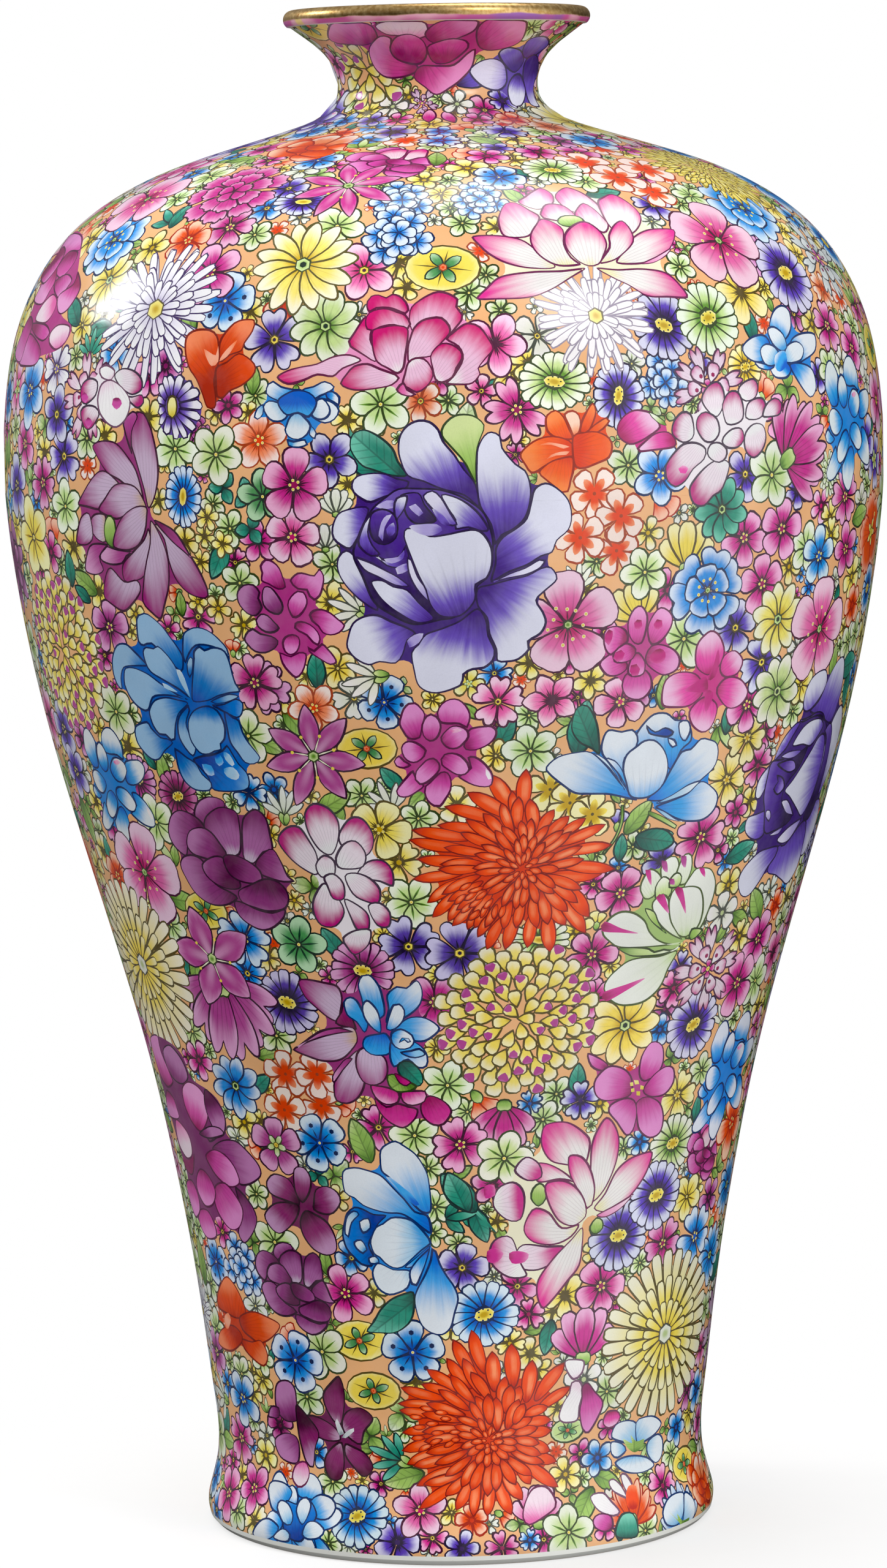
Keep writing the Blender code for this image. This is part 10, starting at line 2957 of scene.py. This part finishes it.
def skin_attributes(tri_v, top):
    """The enamel's attributes for triangles given as (n, 3, 2) sheet corners."""
    count = len(top)
    bare = top < 0
    row = np.where(bare, 0, top)
    p = PETALS[ROW_PETAL[row]]
    line = ROW_LINE[row] & ~bare
    f = FRAMES[p[:, 0].astype(int)][:, None, :]
    turn = (tri_v[:, :, 0] / 100.0 - f[:, :, 0] + math.pi) % math.tau - math.pi
    up = tri_v[:, :, 1] - f[:, :, 1]
    k, r = f[:, :, 3], f[:, :, 2]
    flat = np.abs(k) < 0.03
    safe = np.where(flat, 1.0, np.abs(k))
    sign = np.sign(k)
    apex = r / safe
    rho = apex + sign * up
    x = np.where(flat, turn * r, rho * np.sin(turn * safe))
    y = np.where(flat, up, sign * (rho * np.cos(turn * safe) - apex))
    dx, dy = x - p[:, 1, None], y - p[:, 2, None]
    ax, ay = p[:, 3, None], p[:, 4, None]
    u = (dx * ax + dy * ay) / p[:, 5, None]
    v = (dx * ay - dy * ax - p[:, 7, None] * u**2 - p[:, 8, None] * u) / p[:, 6, None]
    pc = np.stack([u, v, np.zeros_like(u)], 2)
    pc[bare] = (0.5, 0.5, 0)
    ground = np.array(srgb(*GROUND))

    def face(columns, for_line=None, for_bare=None):
        out = p[:, columns].copy()
        if for_line is not None:
            out[line] = for_line[line] if isinstance(for_line, np.ndarray) and for_line.ndim == 2 else for_line
        if for_bare is not None:
            out[bare] = for_bare
        return out

    ink = p[:, 18:21]
    solid4 = lambda rgb: np.concatenate([rgb, np.ones((count, 1))], 1)
    lighter = tuple(np.array(srgb(238, 184, 126)))
    return {
        "pc": ("FLOAT_VECTOR", "CORNER", pc, True),
        "ca": ("FLOAT_COLOR", "FACE", solid4(face(range(9, 12), ink, ground)), False),
        "cb": ("FLOAT_COLOR", "FACE", solid4(face(range(12, 15), ink, ground)), False),
        "cc": ("FLOAT_COLOR", "FACE", solid4(face(range(15, 18), ink, lighter)), False),
        "cl": ("FLOAT_COLOR", "FACE", solid4(face(range(18, 21), None, np.array(srgb(200, 140, 90)))), False),
        "pg": ("FLOAT_COLOR", "FACE", face(range(21, 25)), False),
        "pa": ("FLOAT_VECTOR", "FACE", face(range(25, 28)), False),
        "pb": ("FLOAT_VECTOR", "FACE", face(range(28, 31), 0.0, 0.0), False),
        "pd": ("FLOAT_VECTOR", "FACE", np.stack([p[:, 5], p[:, 6], line | bare], 1), False),
    }


def skin_uv(section, tri_v, low, high, width):
    """Strips of the section's skin stacked up the square; returns corner UV and the height where they end."""
    strips = STRIPS[section]
    tall = high - low
    around = 2 * HALF_TURN / strips
    mid = tri_v[:, :, 0].mean(1)
    if strips == 2:
        number = (np.abs(mid) > HALF_TURN / 2).astype(int)
        start = np.where(number == 0, -HALF_TURN / 2, HALF_TURN / 2)
    else:
        number = np.where(np.abs(mid) < HALF_TURN / 3, 0, np.where(mid > 0, 1, 2))
        start = np.choose(number, [-HALF_TURN / 3, HALF_TURN / 3, -HALF_TURN])
    across = tri_v[:, :, 0] - start[:, None]
    wrapped = (number == 1) & (mid < 0) & (strips == 2)
    across[wrapped] += 2 * HALF_TURN
    stack = strips * (tall + 3) + 3
    size = max(width / strips + 6, stack / 0.82)
    x = (3 + across / around * (width / strips)) / size
    y = (3 + number[:, None] * (tall + 3) + tri_v[:, :, 1] - low) / size
    return np.stack([x, y], 2), stack / size


def lathe_uv(uv, bottom):
    out = uv.copy()
    out[..., 0] = (uv[..., 0] / math.tau + 0.5) * 0.98 + 0.01
    out[..., 1] = bottom + 0.01 + (1 - bottom - 0.02) * uv[..., 1]
    return out


def arc(centre, radii, a0, a1, steps):
    return [(centre[0] + radii[0] * math.sin(math.radians(a)), centre[1] + radii[1] * math.cos(math.radians(a))) for a in np.linspace(a0, a1, steps)]


def inside_points(s_high, s_low, steps):
    """Down the inner wall between two lengths."""
    s = np.linspace(s_high, s_low, steps)
    p, _, n = wall_frame(s)
    w = wall_at(p[:, 0])[:, None]
    return [tuple(q) for q in p - n * w]


def lip_profile(off):
    """Round the lip from the outside to its top, moved inwards by off."""
    nose = arc((LIP_NOSE_Z, LIP_TOP_R), (LIP_NOSE_Z - OUTSIDE[-1][0] + 0.35 - off, LIP_NOSE_R - LIP_TOP_R - off), -52, 0, 6)
    crest = arc((LIP_NOSE_Z, LIP_TOP_R), (HEIGHT - LIP_NOSE_Z - off, LIP_NOSE_R - LIP_TOP_R - off), 0, 90, 9)
    return nose + crest[1:]


_, bore = smooth_curve([(HEIGHT, LIP_TOP_R)] + MOUTH_INNER)
BORE_LENGTH = _


def bore_points(z_low):
    pts = [tuple(q) for q in bore(np.linspace(0, BORE_LENGTH, 40))]
    return [q for q in pts if q[0] > z_low]


S_BORE = length_at_height(393.0)
UNDER = [(6.5, 0.0), (6.5, 30.0), (6.5, 59.0), (6.1, 60.2), (5.3, 60.6), (0.8, 62.1), (0.25, 62.3), (0.0, 62.8)]
RING_OUT = [(0.0, 68.9), (0.3, 69.5), (1.6, 70.7)]
WHITE_NO, BISCUIT_NO, ENAMEL_NO = 1, 2, 0


def with_material(points, number):
    return [(z, r, number) for z, r in points]


def build_sections():
    names = ["foot_section", "lower_body_section", "belly_section", "shoulder_section", "neck_section"]
    edges = [0.0, *CUTS, LENGTH]
    mid = sheet_v[sheet_f].mean(1)
    for i, name in enumerate(names):
        low, high = edges[i], edges[i + 1]
        mine = (mid[:, 1] > low) & (mid[:, 1] < high)
        f, top = sheet_f[mine], sheet_top[mine]
        used, packed = np.unique(f.ravel(), return_inverse=True)
        v = sheet_v[used]
        points, normals = wrap(v[:, 0], v[:, 1])
        tris = packed.reshape(-1, 3)
        tri_v = v[tris]
        s = np.linspace(low, high, 60)
        width = math.tau * float(wall_radius(s).max())
        uv, bottom = skin_uv(i, tri_v, low, high, width)
        skin = (points, tris, normals[tris], uv, np.where(top == -2, WHITE_NO, ENAMEL_NO))
        joint_low = [tuple(q) for q in outside([low])]
        joint_high = [tuple(q) for q in outside([high])]
        if i == 0:
            inner = inside_points(high, length_at_height(30.0), 8)
            floor = [q for q in FLOOR_FILLET][::-1]
            shell = with_material(joint_high + inner[:1], BISCUIT_NO) + with_material(inner[1:] + floor, WHITE_NO)
            under = with_material(UNDER[:6], WHITE_NO) + with_material(UNDER[6:] + RING_OUT[:2], BISCUIT_NO) + with_material(RING_OUT[2:], WHITE_NO)
            profiles = [shell, under]
        elif i < 4:
            inner = inside_points(high, low, 26)
            profiles = [with_material(joint_high + inner[:1], BISCUIT_NO) + with_material(inner[1:], WHITE_NO) + with_material(joint_low, BISCUIT_NO)]
        else:
            lip = lip_profile(0.2)
            mouth = [(z, r + 0.15) for z, r in bore_points(393.5)][1:]
            inner = inside_points(S_BORE, low, 5)
            profiles = [with_material(joint_high + lip + mouth + inner, WHITE_NO) + with_material(joint_low, BISCUIT_NO)]
        parts = [skin]
        share = (1 - bottom) / len(profiles)
        for j, profile in enumerate(profiles):
            p, t, nrm, luv, m = lathe(profile)
            b = bottom + j * share
            luv = luv.copy()
            luv[..., 0] = (luv[..., 0] / math.tau + 0.5) * 0.98 + 0.01
            luv[..., 1] = b + 0.005 + (share - 0.01) * luv[..., 1]
            parts.append((p, t, nrm, luv, m))
        make_piece("painted_" + name, [name], [ENAMEL, WHITE, BISCUIT], parts, skin_attributes(tri_v, top))
        print(name, len(tris))


def build_gilt():
    outer = [(z, r) for z, r in lip_profile(0.0)]
    inner_top = [q for q in bore_points(417.6)][1:]
    outer = outer + inner_top
    back = [(z - 0.05, r + 0.25) for z, r in inner_top][::-1] + lip_profile(0.3)[::-1]
    loop = outer + back + outer[:1]
    p, t, nrm, uv, m = lathe(with_material(loop, 0), turns=192)
    uv = lathe_uv(uv, 0.0)
    make_piece("gold_lip_band", ["gilt_lip_band"], [GOLD], [(p, t, nrm, uv, m)])


def build_fillets():
    """Beads of slip smoothed over each joint inside the vase."""
    for name, cut, half, rise in [("slip_fillet_foot", CUTS[0], 3.4, 1.1), ("slip_fillet_lower_body", CUTS[1], 3.4, 1.1),
                                  ("slip_fillet_belly", CUTS[2], 3.4, 1.1), ("slip_fillet_neck", CUTS[3], 2.6, 0.8)]:
        s = np.linspace(cut + half, cut - half, 9)
        p, _, n = wall_frame(s)
        w = wall_at(p[:, 0])[:, None]
        lift = rise * np.cos(np.linspace(-math.pi / 2, math.pi / 2, 9))[:, None]
        face = [tuple(q) for q in p - n * (w + np.maximum(lift, 0.02))]
        back = [tuple(q) for q in p - n * (w - 0.25)][::-1]
        q, t, nrm, uv, m = lathe(with_material(face + back + face[:1], 0), turns=96)
        make_piece("bead_" + name, [name], [SLIP], [(q, t, nrm, lathe_uv(uv, 0.0), m)])


build_sections()
build_gilt()
build_fillets()
print("pieces built", round(time.time() - began, 1))
